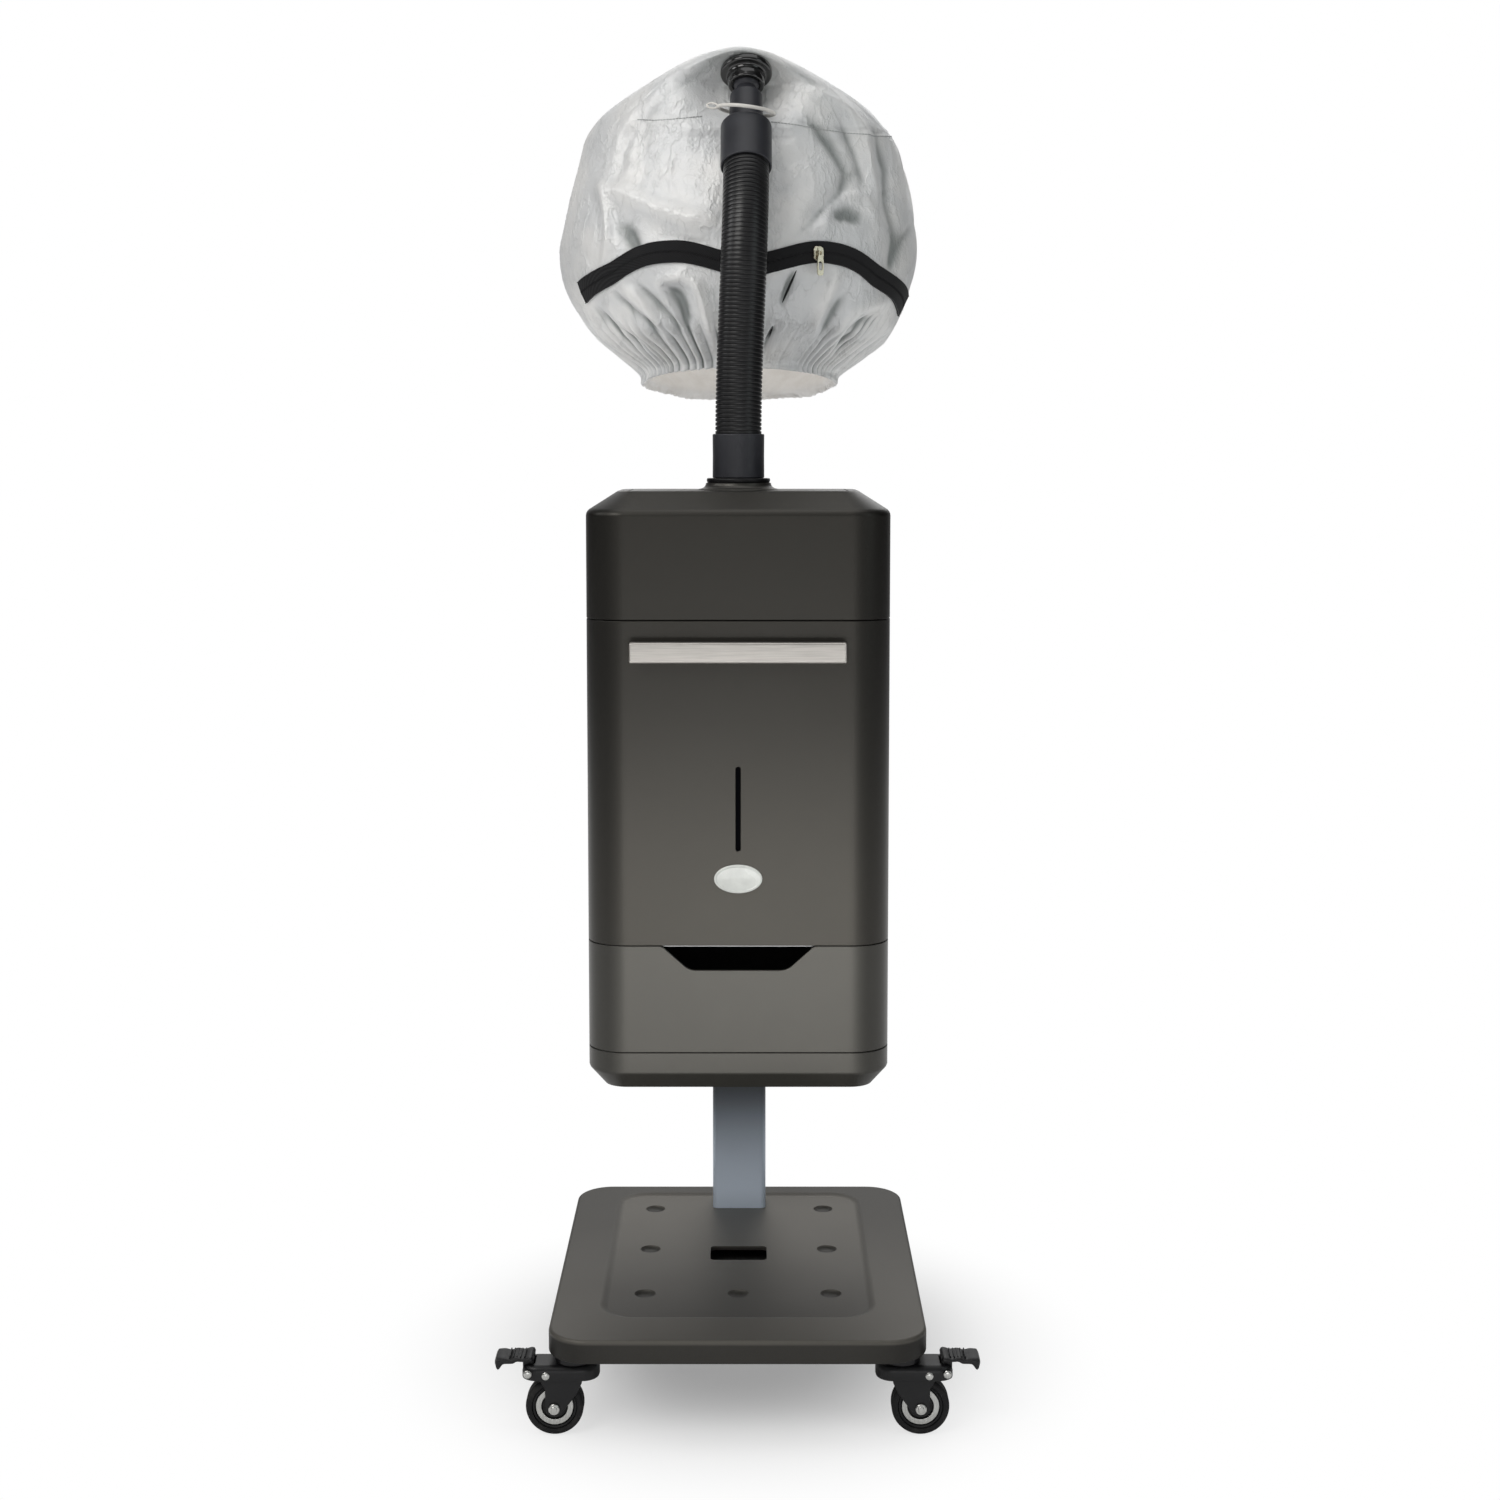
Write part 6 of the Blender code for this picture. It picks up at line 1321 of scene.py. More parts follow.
def hood():
    """One closed sheet: the silver cloth outside, a rolled hem at the rim, and the white lining inside."""
    last = len(HOOD_STATIONS)
    t = np.concatenate((np.linspace(0, 4, 52), np.linspace(4, last - 0.06, HOOD_ROWS - 51)[1:]))
    angle = spread(HOOD_COLUMNS)
    outer = hood_surface(t, angle)
    hem, lining = rolled_hem(outer), hood_lining()
    cloth = np.concatenate((hem, outer))
    cloth_index = np.arange(cloth[..., 0].size).reshape(cloth.shape[:2])
    lining_index = np.arange(lining[..., 0].size).reshape(lining.shape[:2]) + cloth_index.size
    faces = hood_faces(cloth_index, lining_index)
    mesh = bpy.data.meshes.new("hood")
    mesh.from_pydata(np.concatenate((cloth.reshape(-1, 3), lining.reshape(-1, 3))).tolist(), [], faces)
    mesh.materials.append(FINISHES["silver_cloth"])
    mesh.materials.append(FINISHES["lining"])
    cloth_faces = cloth_index[1:].size
    crown_face = cloth_faces + lining_index[1:].size
    is_lining = np.zeros(len(faces), int)
    is_lining[:2 * HOOD_COLUMNS] = 1
    is_lining[cloth_faces:] = 1
    is_lining[crown_face] = 0
    mesh.polygons.foreach_set("material_index", is_lining)
    mesh.shade_smooth()
    at_t, at_angle = np.meshgrid(t, angle, indexing='ij')
    # The fold attribute carries the folds' painted shade and highlight to the cloth's colour.
    fold = np.zeros(cloth_index.size + lining_index.size)
    fold[hem[..., 0].size:cloth_index.size] = fold_height(hood_form(at_t, at_angle), at_angle)[1].ravel()
    mesh.attributes.new("fold", 'FLOAT', 'POINT').data.foreach_set("value", fold)
    thing = bpy.data.objects.new("hood_cloth", mesh)
    bpy.context.scene.collection.objects.link(thing)
    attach(thing, BODY_OF["hood_shell"])
    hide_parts("hood_shell")


# ---------------------------------------------------------------- zip
def cloth_at(angle, heights, lift):
    """Points on the cloth at one angle and several heights, raised by a lift."""
    t = np.linspace(1.0, 9.0, 240)
    line = hood_surface(t, np.array((angle - 0.5, angle, angle + 0.5)), 0.0, wrap=False)
    normal = facing_out(line, wrap=False)
    line, normal = line[:, 1], normal[:, 1]
    raised = line + normal * lift
    return [np.array([np.interp(height, line[:, 2], raised[:, k]) for k in range(3)]) for height in heights]


def zip_tape():
    """The black tape, its coil of teeth under a flap edge, and the two rows of stitches that hold it."""
    shares = (-1.0, -0.97, -0.8, -0.12, -0.08, 0.0, 0.08, 0.12, 0.8, 0.97, 1.0)
    low_edge, coil, high_edge = shares.index(-0.97), shares.index(0.0), shares.index(0.97)
    sinks = ((0, 0.45), (coil - 1, 0.225), (coil, 0.275), (coil + 1, 0.225), (len(shares) - 1, 0.45))
    rings, rows = [], {low_edge: [], coil: [], high_edge: []}
    for angle in np.linspace(ZIP_FROM, ZIP_TO, 150):
        centre = float(zip_height(np.array(angle)))
        heights = [centre + ZIP_W / 2 * share for share in shares]
        face = cloth_at(angle, heights, ZIP_LIFT + ZIP_T)
        back = cloth_at(angle, heights, ZIP_LIFT - 0.0016)
        for k, sink in sinks:
            face[k] = face[k] + (back[k] - face[k]) * sink
        rings.append(face + back[::-1])
        for k, row in rows.items():
            row.append((face[k], face[k] - back[k]))
    stand_in("zip_band", skin(rings), "zip_black", "zip_tape", smooth=50)
    body = BODY_OF["zip_tape"]
    tooth = eased(block((-0.0006, -0.0023, -0.0008), (0.0006, 0.0023, 0.0008)), 0.0003, 1)
    stitch = eased(block((-0.0013, -0.0003, -0.0003), (0.0013, 0.0003, 0.0003)), 0.0001, 1)
    repeated("zip_coil", rows[coil], tooth, "zip_black", body, pitch=0.0021)
    repeated("zip_stitches_low", rows[low_edge], stitch, "hose_black", body, pitch=0.0036)
    repeated("zip_stitches_high", rows[high_edge], stitch, "hose_black", body, pitch=0.0036)


def crown_seam():
    """The seam under the crown: a row of stitches on each side of the neck."""
    for name, start, end, drop, sag in (("left", -40, -14, 0.085, 0.003), ("right", 12, 78, 0.092, 0.008)):
        line = []
        for angle in np.linspace(start, end, 60):
            share = (angle - start) / (end - start)
            z = HOOD_TOP[0] - drop - sag * math.sin(share * math.pi)
            face, under = (cloth_at(angle, [z], lift)[0] for lift in (0.0004, -0.0010))
            line.append((face, face - under))
        thread = eased(block((-0.0017, -0.0004, -0.0006), (0.0017, 0.0004, 0.0004)), 0.00015, 1)
        repeated(f"crown_stitches_{name}", line, thread, "seam_thread", BODY_OF["hood_shell"], pitch=0.0040)


def out_of_the_cloth():
    """The turn that faces the slider and its pull out of the hood, and the pull's upper end."""
    low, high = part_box("zip_slider")
    middle = (low + high) / 2
    pull_low, pull_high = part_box("zip_pull")
    hung_at = Vector(((pull_low.x + pull_high.x) / 2, (pull_low.y + pull_high.y) / 2, pull_high.z))
    return Matrix.Rotation(math.atan2(hung_at.x - middle.x, middle.y - hung_at.y), 4, 'Z'), hung_at


def zip_slider():
    """The slider's body, and the bridge on its face that holds the pull."""
    low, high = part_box("zip_slider")
    body = [[(x * w, y, z * h) for x, z in rounded(1, 1, 0.32, steps=5)]
            for y, w, h in ((0.0024, 0.012, 0.0155), (0.0018, 0.014, 0.017), (0.0, 0.014, 0.017),
                            (-0.0010, 0.0125, 0.0155))]
    # the bridge's outer and inner line, as (out, up), from its upper foot to its lower one
    spans = (((-0.0008, 0.0066), (-0.0008, 0.0052)), ((-0.0022, 0.0062), (-0.0012, 0.0046)),
             ((-0.0025, 0.0030), (-0.0014, 0.0030)), ((-0.0025, -0.0010), (-0.0014, -0.0010)),
             ((-0.0022, -0.0042), (-0.0012, -0.0030)), ((-0.0008, -0.0048), (-0.0008, -0.0034)))
    half = 0.0018
    bridge = [[(-half, *outer), (-half, *inner), (half, *inner), (half, *outer)] for outer, inner in spans]
    mesh = together(eased(skin(body), 0.0003, 2), eased(skin(bridge), 0.0003, 2))
    place = Matrix.Translation((low + high) / 2) @ out_of_the_cloth()[0]
    stand_in("zip_runner", moved(mesh, place), "zip_brass", "zip_slider")


def zip_pull():
    """The flat tab that hangs from the slider's bridge, with its eye and its long hole."""
    turn, hung_at = out_of_the_cloth()
    low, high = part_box("zip_pull")
    tall, thick = high.z - low.z, 0.0022
    right = [(0.0026, 0.0), (0.0028, -0.006), (0.0040, -0.011), (0.0044, -0.020), (0.0042, 0.003 - tall),
             (0.0034, 0.0008 - tall), (0.0020, -tall)]
    outline = right + [(-x, z) for x, z in right[::-1]]
    eye = upright(oval((0, -0.0036), 0.0016, 0.0022, 20), -0.01, 0.01)
    hole = upright([(x, z - 0.0185) for x, z in rounded(0.0044, 0.0105, 0.0021, steps=5)], -0.01, 0.01)
    tab = eased(combined(upright(outline, -thick / 2, thick / 2), [eye, hole]), 0.00035, 2)
    stand_in("zip_tab", moved(tab, Matrix.Translation(hung_at) @ turn), "zip_brass", "zip_pull")


# ---------------------------------------------------------------- casters
CROWN_IN, CROWN_OUT, CROWN_W, CROWN_H = 0.028, 0.058, 0.040, 0.017
TRAIL, WHEEL_R, WHEEL_W, TYRE_T, LEG_T = 0.021, 0.0315, 0.022, 0.0075, 0.003
AXLE_R, NUT_R, NUT_T, STEM_R = 0.004, 0.006, 0.004, 0.006
PEDAL_PIVOT, PEDAL_REACH, PEDAL_W, PEDAL_T = 0.049, 0.085, 0.034, 0.006
SLIDE = 0.0006
SEAT_GAP, PLATE_T, CUP_H = 0.0003, 0.003, 0.0105     # deck to caster plate, the plate, and the cup below it
FORK_TOP = DECK_LOW.z - SEAT_GAP - PLATE_T - CUP_H - SLIDE
PEDAL_Z = FORK_TOP - 0.008


def fork_housing(foot):
    """The crown's pressed housing, round at both ends and eased at its top."""
    rings = []
    for inset, z in ((0.0030, foot), (0.0008, foot + 0.0008), (0.0, foot + 0.0030), (0.0, FORK_TOP - 0.0065),
                     (0.0006, FORK_TOP - 0.0040), (0.0020, FORK_TOP - 0.0018), (0.0040, FORK_TOP - 0.0005),
                     (0.0065, FORK_TOP)):
        outline = rounded(CROWN_IN + CROWN_OUT, CROWN_W, CROWN_W / 2 - 0.001, inset,
                          x=(CROWN_OUT - CROWN_IN) / 2)
        rings.append(level(outline, z))
    return skin(rings)


def fork_leg(side, foot):
    """One leg: wide under the crown, swept back, and round about the axle."""
    end, inner = 0.0098, WHEEL_W / 2 + SLIDE
    outline = [(0.0170, foot + 0.004), (0.0150, foot - 0.002), (0.0100, foot - 0.010)]
    outline += [(end * math.cos(a), WHEEL_R + end * math.sin(a)) for a in np.linspace(0.15, -2.2, 14)]
    outline += [(-0.0170, WHEEL_R + 0.0060), (-0.0250, WHEEL_R + 0.0170), (-0.0300, foot - 0.004),
                (-0.0320, foot + 0.004)]
    near, far = sorted((side * inner, side * (inner + LEG_T)))
    return eased(upright([(TRAIL + x, z) for x, z in outline], near, far), 0.0007, 2, 40)


def fork(tag, rig, braked):
    """The caster's fork with its stem; a braked one is slotted for the pedal."""
    node, foot = f"caster_fork_{tag}", FORK_TOP - CROWN_H
    stem_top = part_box(node)[1].z
    stem = turned([(STEM_R, FORK_TOP - CROWN_H / 2), (STEM_R, stem_top - 0.0006),
                   (STEM_R - 0.0006, stem_top)], 32)
    mesh = combined(fork_housing(foot), [fork_leg(-1, foot), fork_leg(1, foot), stem], 'UNION')
    cutters = [pierced(AXLE_R + 0.0003, 0.03, 32, shift(TRAIL, 0, WHEEL_R) @ ALONG_Y)]
    if braked:
        cutters.append(block((PEDAL_PIVOT - 0.0075, -0.0106, foot - 0.01),
                             (CROWN_OUT + 0.01, 0.0106, FORK_TOP + 0.01)))
        cutters.append(pierced(0.0038, 0.03, 24, shift(PEDAL_PIVOT, 0, PEDAL_Z) @ ALONG_Y))
    stand_in(f"fork_{tag}", moved(combined(mesh, cutters), rig), "black_painted", node)


def fork_rivets(tag, rig, braked):
    """Two rivet heads on each side of the crown; a braked fork's outer ones end the pedal's pin."""
    rivet_z = FORK_TOP - CROWN_H + 0.0065
    head = turned([(0.0044, -0.0016), (0.0044, 0.0), (0.0036, 0.0007), (0.0022, 0.0011),
                   (0.0001, 0.0012)], 28)
    for side, y in (("near", -CROWN_W / 2 + 0.0002), ("far", CROWN_W / 2 - 0.0002)):
        second = (PEDAL_PIVOT, math.copysign(0.0213, y), PEDAL_Z) if braked else (0.0060, y, rivet_z)
        row = [(rig @ Vector(at), rig.to_3x3() @ Vector((0, y, 0))) for at in ((0.0293, y, rivet_z), second)]
        repeated(f"fork_rivets_{tag}_{side}", row, head.copy(), "zinc", BODY_OF[f"caster_fork_{tag}"])


def wheel(tag, hub):
    """The wheel, with a bright ring let into each face."""
    rim, half = WHEEL_R - TYRE_T, WHEEL_W / 2
    face = [(AXLE_R + SLIDE, half), (0.0085, half), (0.0090, half - 0.0006), (0.0096, 0.0060),
            (0.0120, 0.0055), (0.0136, 0.0058), (0.0139, 0.0066), (0.0207, 0.0066), (0.0210, 0.0074),
            (0.0216, 0.0090), (rim - 0.0008, 0.0098), (rim, 0.0094)]
    mesh = moved(turned([(r, -z) for r, z in face] + face[::-1], 72, True), hub)
    stand_in(f"wheel_{tag}", mesh, "black_plastic", f"caster_wheel_{tag}", smooth=40)
    band = [(0.0141, 0.0050), (0.0141, 0.0078)] + quarter(0.0009, 0.0150, 0.0083, 180, 90, 3)
    band += quarter(0.0009, 0.0196, 0.0083, 90, 0, 3) + [(0.0205, 0.0078), (0.0205, 0.0050)]
    rings = [turned([(r, side * z) for r, z in band][::side], 72, True) for side in (-1, 1)]
    mesh = moved(together(*rings), hub)
    piece(f"wheel_rings_{tag}", mesh, "zinc", BODY_OF[f"caster_wheel_{tag}"], smooth=40)


def tyre(tag, hub):
    """The tyre, with two fine grooves in its tread."""
    half, seat, groove = WHEEL_W / 2, WHEEL_R - TYRE_T + 0.0003, WHEEL_R - 0.0006
    tread = [(seat, -0.0094), (seat + 0.0006, -half + 0.0004)]
    tread += quarter(0.0042, WHEEL_R - 0.0042, -half + 0.0042, -90, 0, 8)
    tread += [(WHEEL_R, -0.0040), (groove, -0.0034), (groove, -0.0028), (WHEEL_R, -0.0022)]
    tread += [(r, -z) for r, z in tread[::-1]]
    stand_in(f"tyre_{tag}", moved(turned(tread, 96, True), hub), "tyre", f"caster_tyre_{tag}", smooth=50)


def axle(tag, hub):
    """The axle, with a nut at each end."""
    end = WHEEL_W / 2 + SLIDE + LEG_T + 0.0003
    cap = end + NUT_T
    nut = [(AXLE_R, end), (NUT_R, end), (NUT_R, cap - 0.0016), (NUT_R - 0.0006, cap - 0.0010),
           (0.0036, cap - 0.0010), (0.0036, cap - 0.0006), (0.0030, cap), (0.0001, cap)]
    shank = [(r, -z) for r, z in nut[::-1]] + nut
    stand_in(f"axle_{tag}", moved(turned(shank, 48), hub), "zinc", f"caster_axle_{tag}")


def bulged(value, power):
    """A value drawn towards 1 or -1, which squares up a round outline."""
    return math.copysign(abs(value) ** power, value)


def pedal_lever(under):
    """The lever's closed form: a waved tread, and a thick lobe below its outer end."""
    start, reach = -0.006, PEDAL_REACH - PEDAL_PIVOT
    rings = []
    for share in (k / 26 for k in range(27)):
        wave = 0.0011 * math.sin(share * TURN * 2.6) * (1 - share)
        lobe = 0.0070 * math.exp(-((share - 0.92) / 0.085) ** 2) + 0.0026 * float(smooth(share, 0.42, 0.55))
        drop = 0.0010 * math.exp(-((share - 0.62) / 0.10) ** 2)
        end = min(share, 1 - share) * 14
        width = PEDAL_W / 2 * (1 - 0.24 * max(0.0, 1 - end) ** 2) * (1 - 0.10 * math.sin(share * math.pi))
        close = 1 - 0.55 * max(0.0, 1 - end * 1.4) ** 2
        high, low = under + PEDAL_T - 0.0012 + wave - drop, under - lobe
        middle, half = (high + low) / 2, (high - low) / 2 * close
        rings.append([(start + (reach - start) * share, width * bulged(math.cos(a), 0.45),
                       middle + half * bulged(math.sin(a), 0.5)) for a in np.linspace(0, TURN, 40, False)])
    return skin(rings)


def pedal(tag, rig):
    """A foot lever on its lug and pin, with five ribs to grip the shoe."""
    under = FORK_TOP + 0.0028 - PEDAL_Z
    lug = eased(block((-0.006, -0.010, -0.006), (0.006, 0.010, under + 0.003)), 0.0008, 2)
    pin = moved(turned([(0.0029, -0.021), (0.0035, -0.0204), (0.0035, 0.0204), (0.0029, 0.021)], 28), ALONG_Y)
    ribs = [eased(block((x - 0.0007, -0.0115, under + 0.003),
                        (x + 0.0007, 0.0115, under + PEDAL_T - 0.0002)), 0.0003, 1)
            for x in (0.004, 0.008, 0.012, 0.016, 0.020)]
    mesh = combined(pedal_lever(under), [lug, pin] + ribs, 'UNION')
    place = rig @ shift(PEDAL_PIVOT, 0, PEDAL_Z)
    stand_in(f"pedal_{tag}", moved(mesh, place), "black_plastic", f"brake_pedal_{tag}")


def caster_seat(tag, rig):
    """The plate under the deck, with the bearing's cup that the stem passes through."""
    low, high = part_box(f"caster_plate_{tag}")
    foot, cup, bore = 0.044, 0.042, STEM_R + SLIDE
    rings = [level(rounded(2 * bore, 2 * bore, bore), z) for z in (high.z - 0.0003, low.z)]
    rings += [level(rounded(cup, cup, cup / 2, inset), z)
              for inset, z in ((0.0012, low.z), (0.0, low.z + 0.0012), (0.0, high.z - 0.0034))]
    rings += [level(rounded(foot, foot, 0.008, inset), z)
              for inset, z in ((0.0, high.z - PLATE_T), (0.0, high.z - 0.0004), (0.0004, high.z))]
    mesh = moved(skin(rings), shift(rig.translation.x, rig.translation.y))
    stand_in(f"caster_seat_{tag}", mesh, "black_painted", f"caster_plate_{tag}")


def casters():
    """Four swivel casters: the front pair turned outwards, with pedals, and the rear pair trailing back."""
    for tag, heading, braked in (("fl", 180, True), ("fr", 0, True), ("rl", 90, False), ("rr", 90, False)):
        low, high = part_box(f"caster_plate_{tag}")
        middle = (low + high) / 2
        rig = shift(middle.x, middle.y) @ Matrix.Rotation(math.radians(heading), 4, 'Z')
        hub = rig @ shift(TRAIL, 0, WHEEL_R) @ ALONG_Y
        fork(tag, rig, braked)
        fork_rivets(tag, rig, braked)
        wheel(tag, hub)
        tyre(tag, hub)
        axle(tag, hub)
        if braked:
            pedal(tag, rig)
        caster_seat(tag, rig)


# ---------------------------------------------------------------- rear fittings
GRILLE_SLATS = 11


def facing_back(outline, middle, near, far):
    """An outline about a rear fitting's middle, run between two depths."""
    return upright([(x + middle.x, z + middle.z) for x, z in outline], near, far)


def back_grille():
    """The blower's grille: a frame lapped over its hole, and a row of tilted slats."""
    low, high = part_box("rear_grille")
    face, middle = CABINET_BACK + 0.0003, (low + high) / 2
    width, height = high.x - low.x, high.z - low.z
    open_w, open_h = width - 4 * LIP, height - 3.2 * LIP
    rim = facing_back(rounded(width, height, 0.006, steps=6), middle, face, high.y)
    inside = rounded(width - 2 * LIP - 0.0006, height - 2 * LIP - 0.0006, 0.002, steps=4)
    body = facing_back(inside, middle, face - WALL, face + 0.0002)
    window = facing_back(rounded(open_w, open_h, 0.004, steps=5), middle, face - 3 * WALL, high.y + WALL)
    mesh = eased(combined(combined(rim, [body], 'UNION'), [window]), 0.0005, 2, 40)
    stand_in("back_grille", mesh, "black_plastic", "rear_grille")
    slat = upright(rounded(open_w + 0.002, 0.0022, 0.0006, steps=2), -0.0016, 0.0016)
    slat = moved(slat, Matrix.Rotation(math.pi / 2, 4, 'Y') @ Matrix.Rotation(math.radians(-28), 4, 'X'))
    rises = [open_h * ((k + 0.5) / GRILLE_SLATS - 0.5) for k in range(GRILLE_SLATS)]
    line = [(Vector((middle.x, face - 0.0010, middle.z + rise)), (1, 0, 0)) for rise in rises]
    repeated("back_grille_slats", line, slat, "black_plastic", BODY_OF["rear_grille"])


def shield(width, height, cut):
    """The inlet's outline: its two top corners are cut off."""
    right = [(width / 2, -height / 2), (width / 2, height / 2 - cut), (width / 2 - cut, height / 2)]
    return right + [(-x, z) for x, z in right[::-1]]


def power_inlet():
    """The power inlet with its three pins."""
    low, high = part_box("power_inlet")
    face, middle = CABINET_BACK + 0.0003, (low + high) / 2
    plate = facing_back(rounded(high.x - low.x, high.z - low.z, 0.003, steps=5), middle, face, high.y)
    shell = facing_back(shield(0.0276, 0.0216, 0.004), middle, low.y, face + 0.0003)
    well = facing_back(shield(0.0220, 0.0160, 0.0045), middle, low.y + 0.004, high.y + WALL)
    mesh = eased(combined(combined(plate, [shell], 'UNION'), [well]), 0.0004, 2, 40)
    stand_in("inlet_socket", mesh, "black_plastic", "power_inlet")
    pins = [moved(block((-0.0010, low.y + 0.001, -0.0022), (0.0010, face - 0.004, 0.0022)),
                  shift(middle.x + x, 0, middle.z + z))
            for x, z in ((-0.007, -0.002), (0, 0.002), (0.007, -0.002))]
    piece("inlet_pins", together(*[eased(pin, 0.0003, 1) for pin in pins]), "zinc", BODY_OF["power_inlet"])


def rocker_key():
    """The rocker switch's key, dished in its middle."""
    low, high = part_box("rocker_switch")
    half, base, middle_z = (high.z - low.z) / 2, CABINET_BACK - WALL / 2, (low.z + high.z) / 2
    upper = [(0.0019, half * 0.2), (0.0030, half * 0.55), (0.0039, half - 0.0030), (0.0034, half - 0.0012),
             (0.001, half), (-0.007, half * 0.62), (-0.014, 0.003)]
    section = [(0.0015, 0.0)] + upper + [(y, -z) for y, z in upper[::-1]]
    rocker = skin([[(x, base + y, middle_z + z) for y, z in section] for x in (low.x, high.x)])
    stand_in("rocker_key", eased(rocker, 0.0005, 2, 30), "black_plastic", "rocker_switch")


# ---------------------------------------------------------------- carried-over nodes
def finish_inside():
    """The shelves, drawer, tank and air system keep their CAD shapes and take their finishes."""
    given = {
        "chassis_plate": "steel", "column_bolt": "zinc", "mid_shelf": "steel", "upper_shelf": "steel",
        "drawer_box": "grey_plastic", "water_tank": "tank_clear", "tank_cap": "white_plastic",
        "outlet_duct": "white_plastic", "heater_duct": "mica", "blower_housing": "grey_plastic",
        "blower_motor": "copper_motor", "impeller": "black_plastic", "control_board": "board_green",
    }
    for node, finish in given.items():
        thing = NODES[node]
        thing.data.materials.clear()
        thing.data.materials.append(FINISHES[finish])


# ---------------------------------------------------------------- floor, light and camera
FLOOR_R = 5.0


def floor():
    """A pale floor that fades into the background and keeps the machine's shadow."""
    mesh = turned([(0.001, -0.0010), (FLOOR_R, -0.0010), (FLOOR_R, -0.0005), (0.001, -0.0005)][::-1], 96)
    disc = bpy.data.objects.new("floor", mesh)
    bpy.context.scene.collection.objects.link(disc)
    ground = Finish("pale_floor", (0.88, 0.88, 0.88), 0.9)
    x, y, _ = ground.split()
    far = (x * x + (y + 0.1) * (y + 0.1)) ** 0.5
    rays = ground.node("ShaderNodeLightPath")
    seen = rays["Is Camera Ray"].maths('MAXIMUM', rays["Is Transmission Ray"])
    white = ground.node("ShaderNodeEmission", {}, (1, 1, 1, 1), 1.0)["Emission"]
    lifted = seen * (far.rises(0.10, 0.45) * 0.74 + 0.26) + rays["Is Glossy Ray"] * far.rises(0.75, 1.5)
    mix = ground.tree.nodes.new("ShaderNodeMixShader")
    ground.tree.links.new(lifted.socket, mix.inputs[0])
    ground.tree.links.new(ground.shader.outputs[0], mix.inputs[1])
    ground.tree.links.new(white.socket, mix.inputs[2])
    ground.tree.links.new(mix.outputs[0], ground.tree.nodes["Material Output"].inputs["Surface"])
    mesh.materials.append(ground.material)


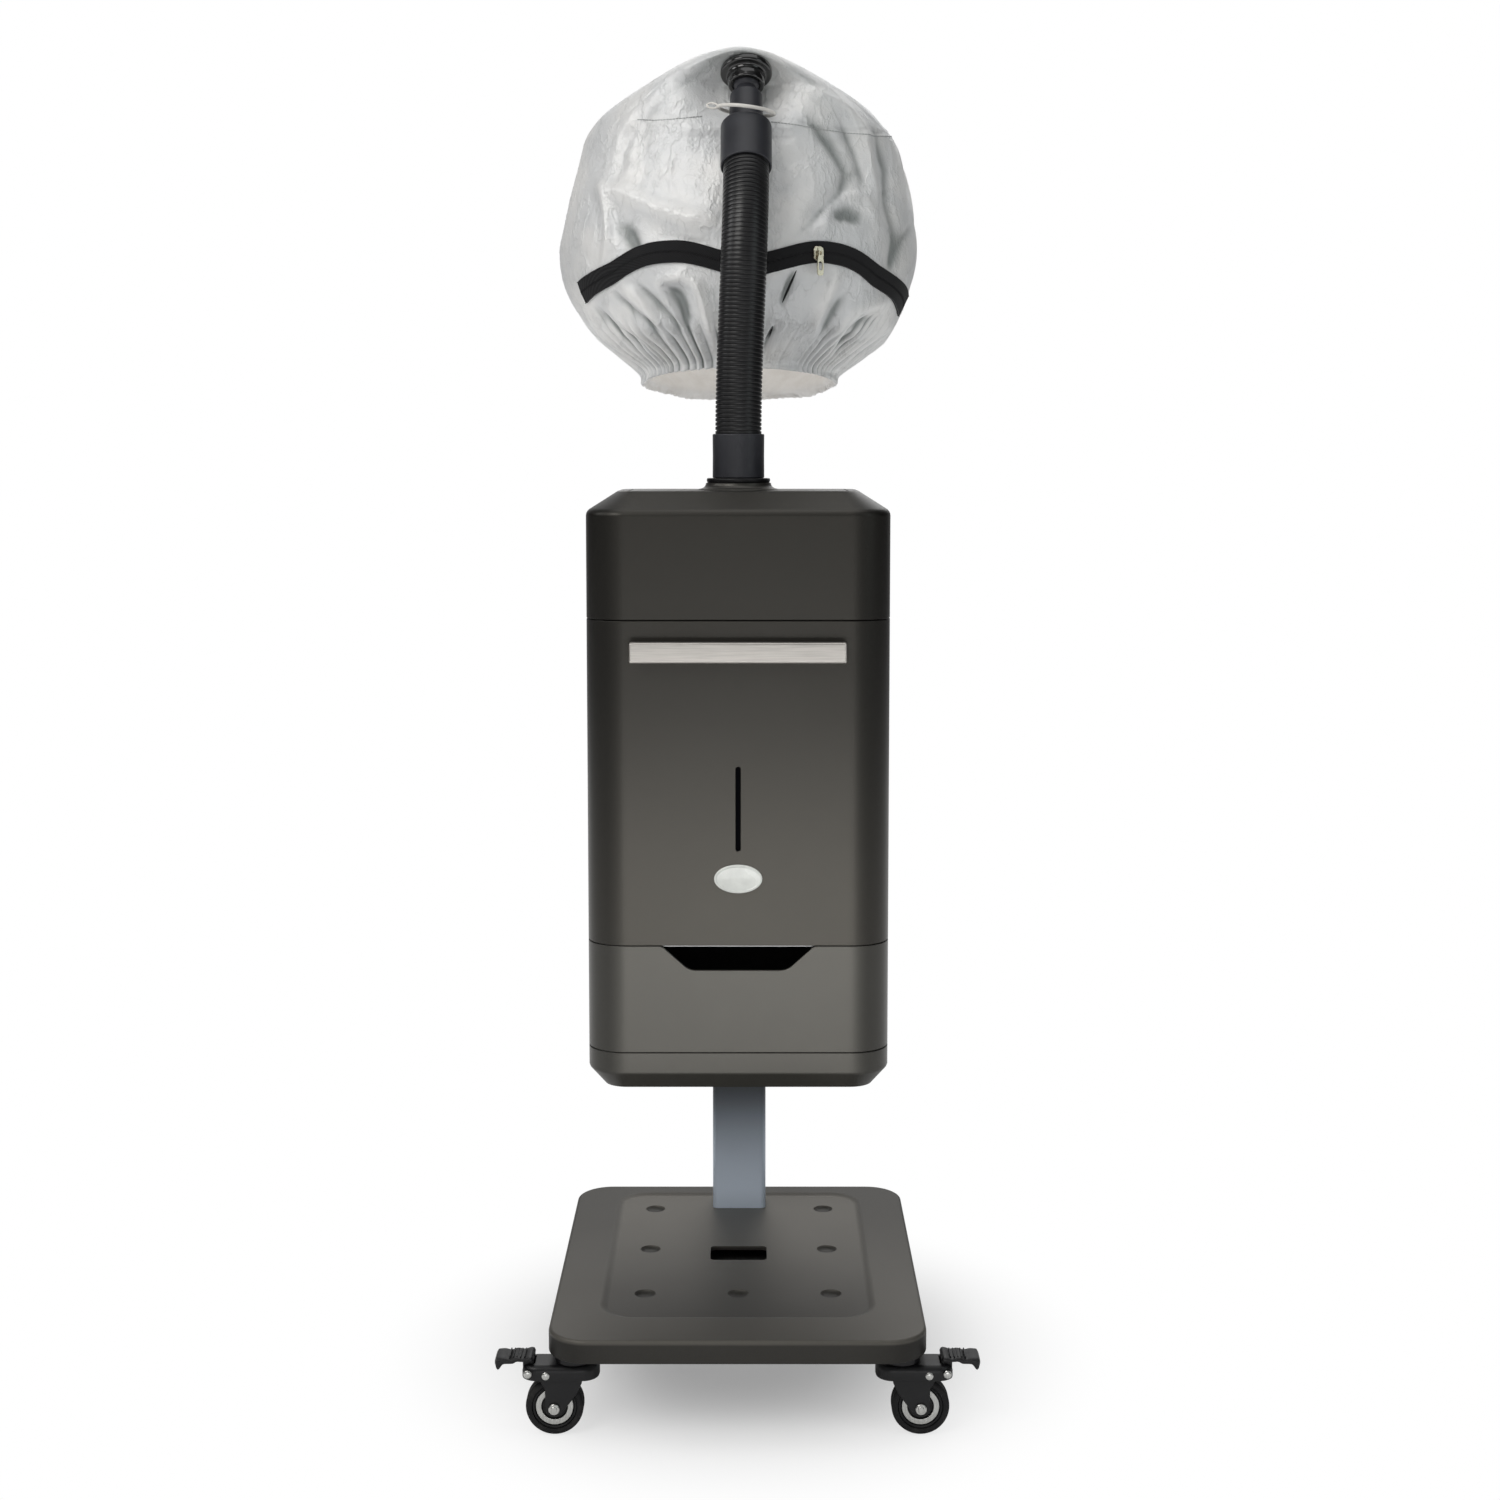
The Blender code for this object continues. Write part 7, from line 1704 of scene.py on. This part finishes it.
def world():
    """White to the camera; to reflections, the same backdrop between two black flags; soft ambient light."""
    scene_world = bpy.data.worlds.new("studio")
    bpy.context.scene.world = scene_world
    scene_world.use_nodes = True
    tree = scene_world.node_tree
    background = tree.nodes["Background"]

    def maths(operation, *values):
        """A Math node on links and numbers."""
        node = tree.nodes.new("ShaderNodeMath")
        node.operation = operation
        for socket, value in zip(node.inputs, values):
            if isinstance(value, bpy.types.NodeSocket):
                tree.links.new(value, socket)
            else:
                socket.default_value = value
        return node.outputs[0]

    way = tree.nodes.new("ShaderNodeTexCoord").outputs["Generated"]
    parts = tree.nodes.new("ShaderNodeSeparateXYZ")
    tree.links.new(way, parts.inputs[0])
    x, y, z = parts.outputs
    above = maths('MAXIMUM', z, 0.0)
    ambient = maths('ADD', maths('MULTIPLY', above, 0.22), 0.24)
    flags = maths('MULTIPLY', maths('MULTIPLY', x, x), 1.6)
    open_part = maths('MAXIMUM', maths('SUBTRACT', 1.0, flags), 0.03)
    mirrored = maths('ADD', maths('MULTIPLY', maths('MAXIMUM', y, 0.0), 0.36), 0.14)
    mirrored = maths('MULTIPLY', maths('ADD', mirrored, maths('MULTIPLY', above, 0.30)), open_part)
    rays = tree.nodes.new("ShaderNodeLightPath").outputs
    seen = maths('MAXIMUM', rays["Is Camera Ray"], rays["Is Transmission Ray"])
    glossy = maths('MULTIPLY', rays["Is Glossy Ray"], maths('SUBTRACT', mirrored, ambient))
    studio = maths('ADD', ambient, glossy)
    strength = maths('ADD', seen, maths('MULTIPLY', maths('SUBTRACT', 1.0, seen), studio))
    tree.links.new(strength, background.inputs["Strength"])
    background.inputs["Color"].default_value = (1, 1, 1, 1)


def lamp(name, place, aim, size, power, colour=(1, 1, 1)):
    light = bpy.data.lights.new(name, 'AREA')
    light.shape, light.size, light.size_y = 'RECTANGLE', *size
    light.energy, light.color = power, colour
    thing = bpy.data.objects.new(name, light)
    thing.location = place
    thing.rotation_euler = (Vector(aim) - Vector(place)).to_track_quat('-Z', 'Y').to_euler()
    bpy.context.scene.collection.objects.link(thing)


def lamps():
    middle = (0, -0.05, 1.0)
    lamp("key", (-1.7, -2.4, 2.9), middle, (1.6, 1.6), 38, (1.0, 0.985, 0.96))
    lamp("fill", (2.3, -1.7, 1.9), middle, (1.2, 1.8), 7, (0.90, 0.98, 0.98))
    lamp("front", (0.1, -3.2, 0.05), (0, 0, 0.7), (1.6, 0.7), 14)
    lamp("left", (-2.5, -0.5, 2.3), (0, 0, 1.35), (1.0, 1.0), 12)
    lamp("overhead", (0.1, -0.2, 3.4), middle, (2.0, 2.0), 12)
    lamp("behind", (0.3, 2.4, 2.4), middle, (2.2, 1.6), 16)


def camera():
    lens = bpy.data.cameras.new("camera")
    lens.lens, lens.sensor_width, lens.shift_y = 52.10, 36.0, -0.07
    eye = bpy.data.objects.new("camera", lens)
    eye.location = (0.0135, -2.62, 1.070)
    eye.rotation_euler = (math.radians(90 - 5.196), 0, 0)
    bpy.context.scene.collection.objects.link(eye)
    bpy.context.scene.camera = eye


# ---------------------------------------------------------------- the machine
base_deck()
column()
casters()
bottom_tray()
back_shell()
top_cover()
top_inlay()
tank_front()
sight_window()
badge()
bar_handle()
drawer_front()
back_grille()
power_inlet()
rocker_key()
hose_socket()
cuffs()
hose()
neck()
neck_ring()
flange()
hood()
zip_tape()
crown_seam()
zip_slider()
zip_pull()
finish_inside()
floor()
world()
lamps()
camera()
bpy.context.scene.view_settings.view_transform = 'Standard'
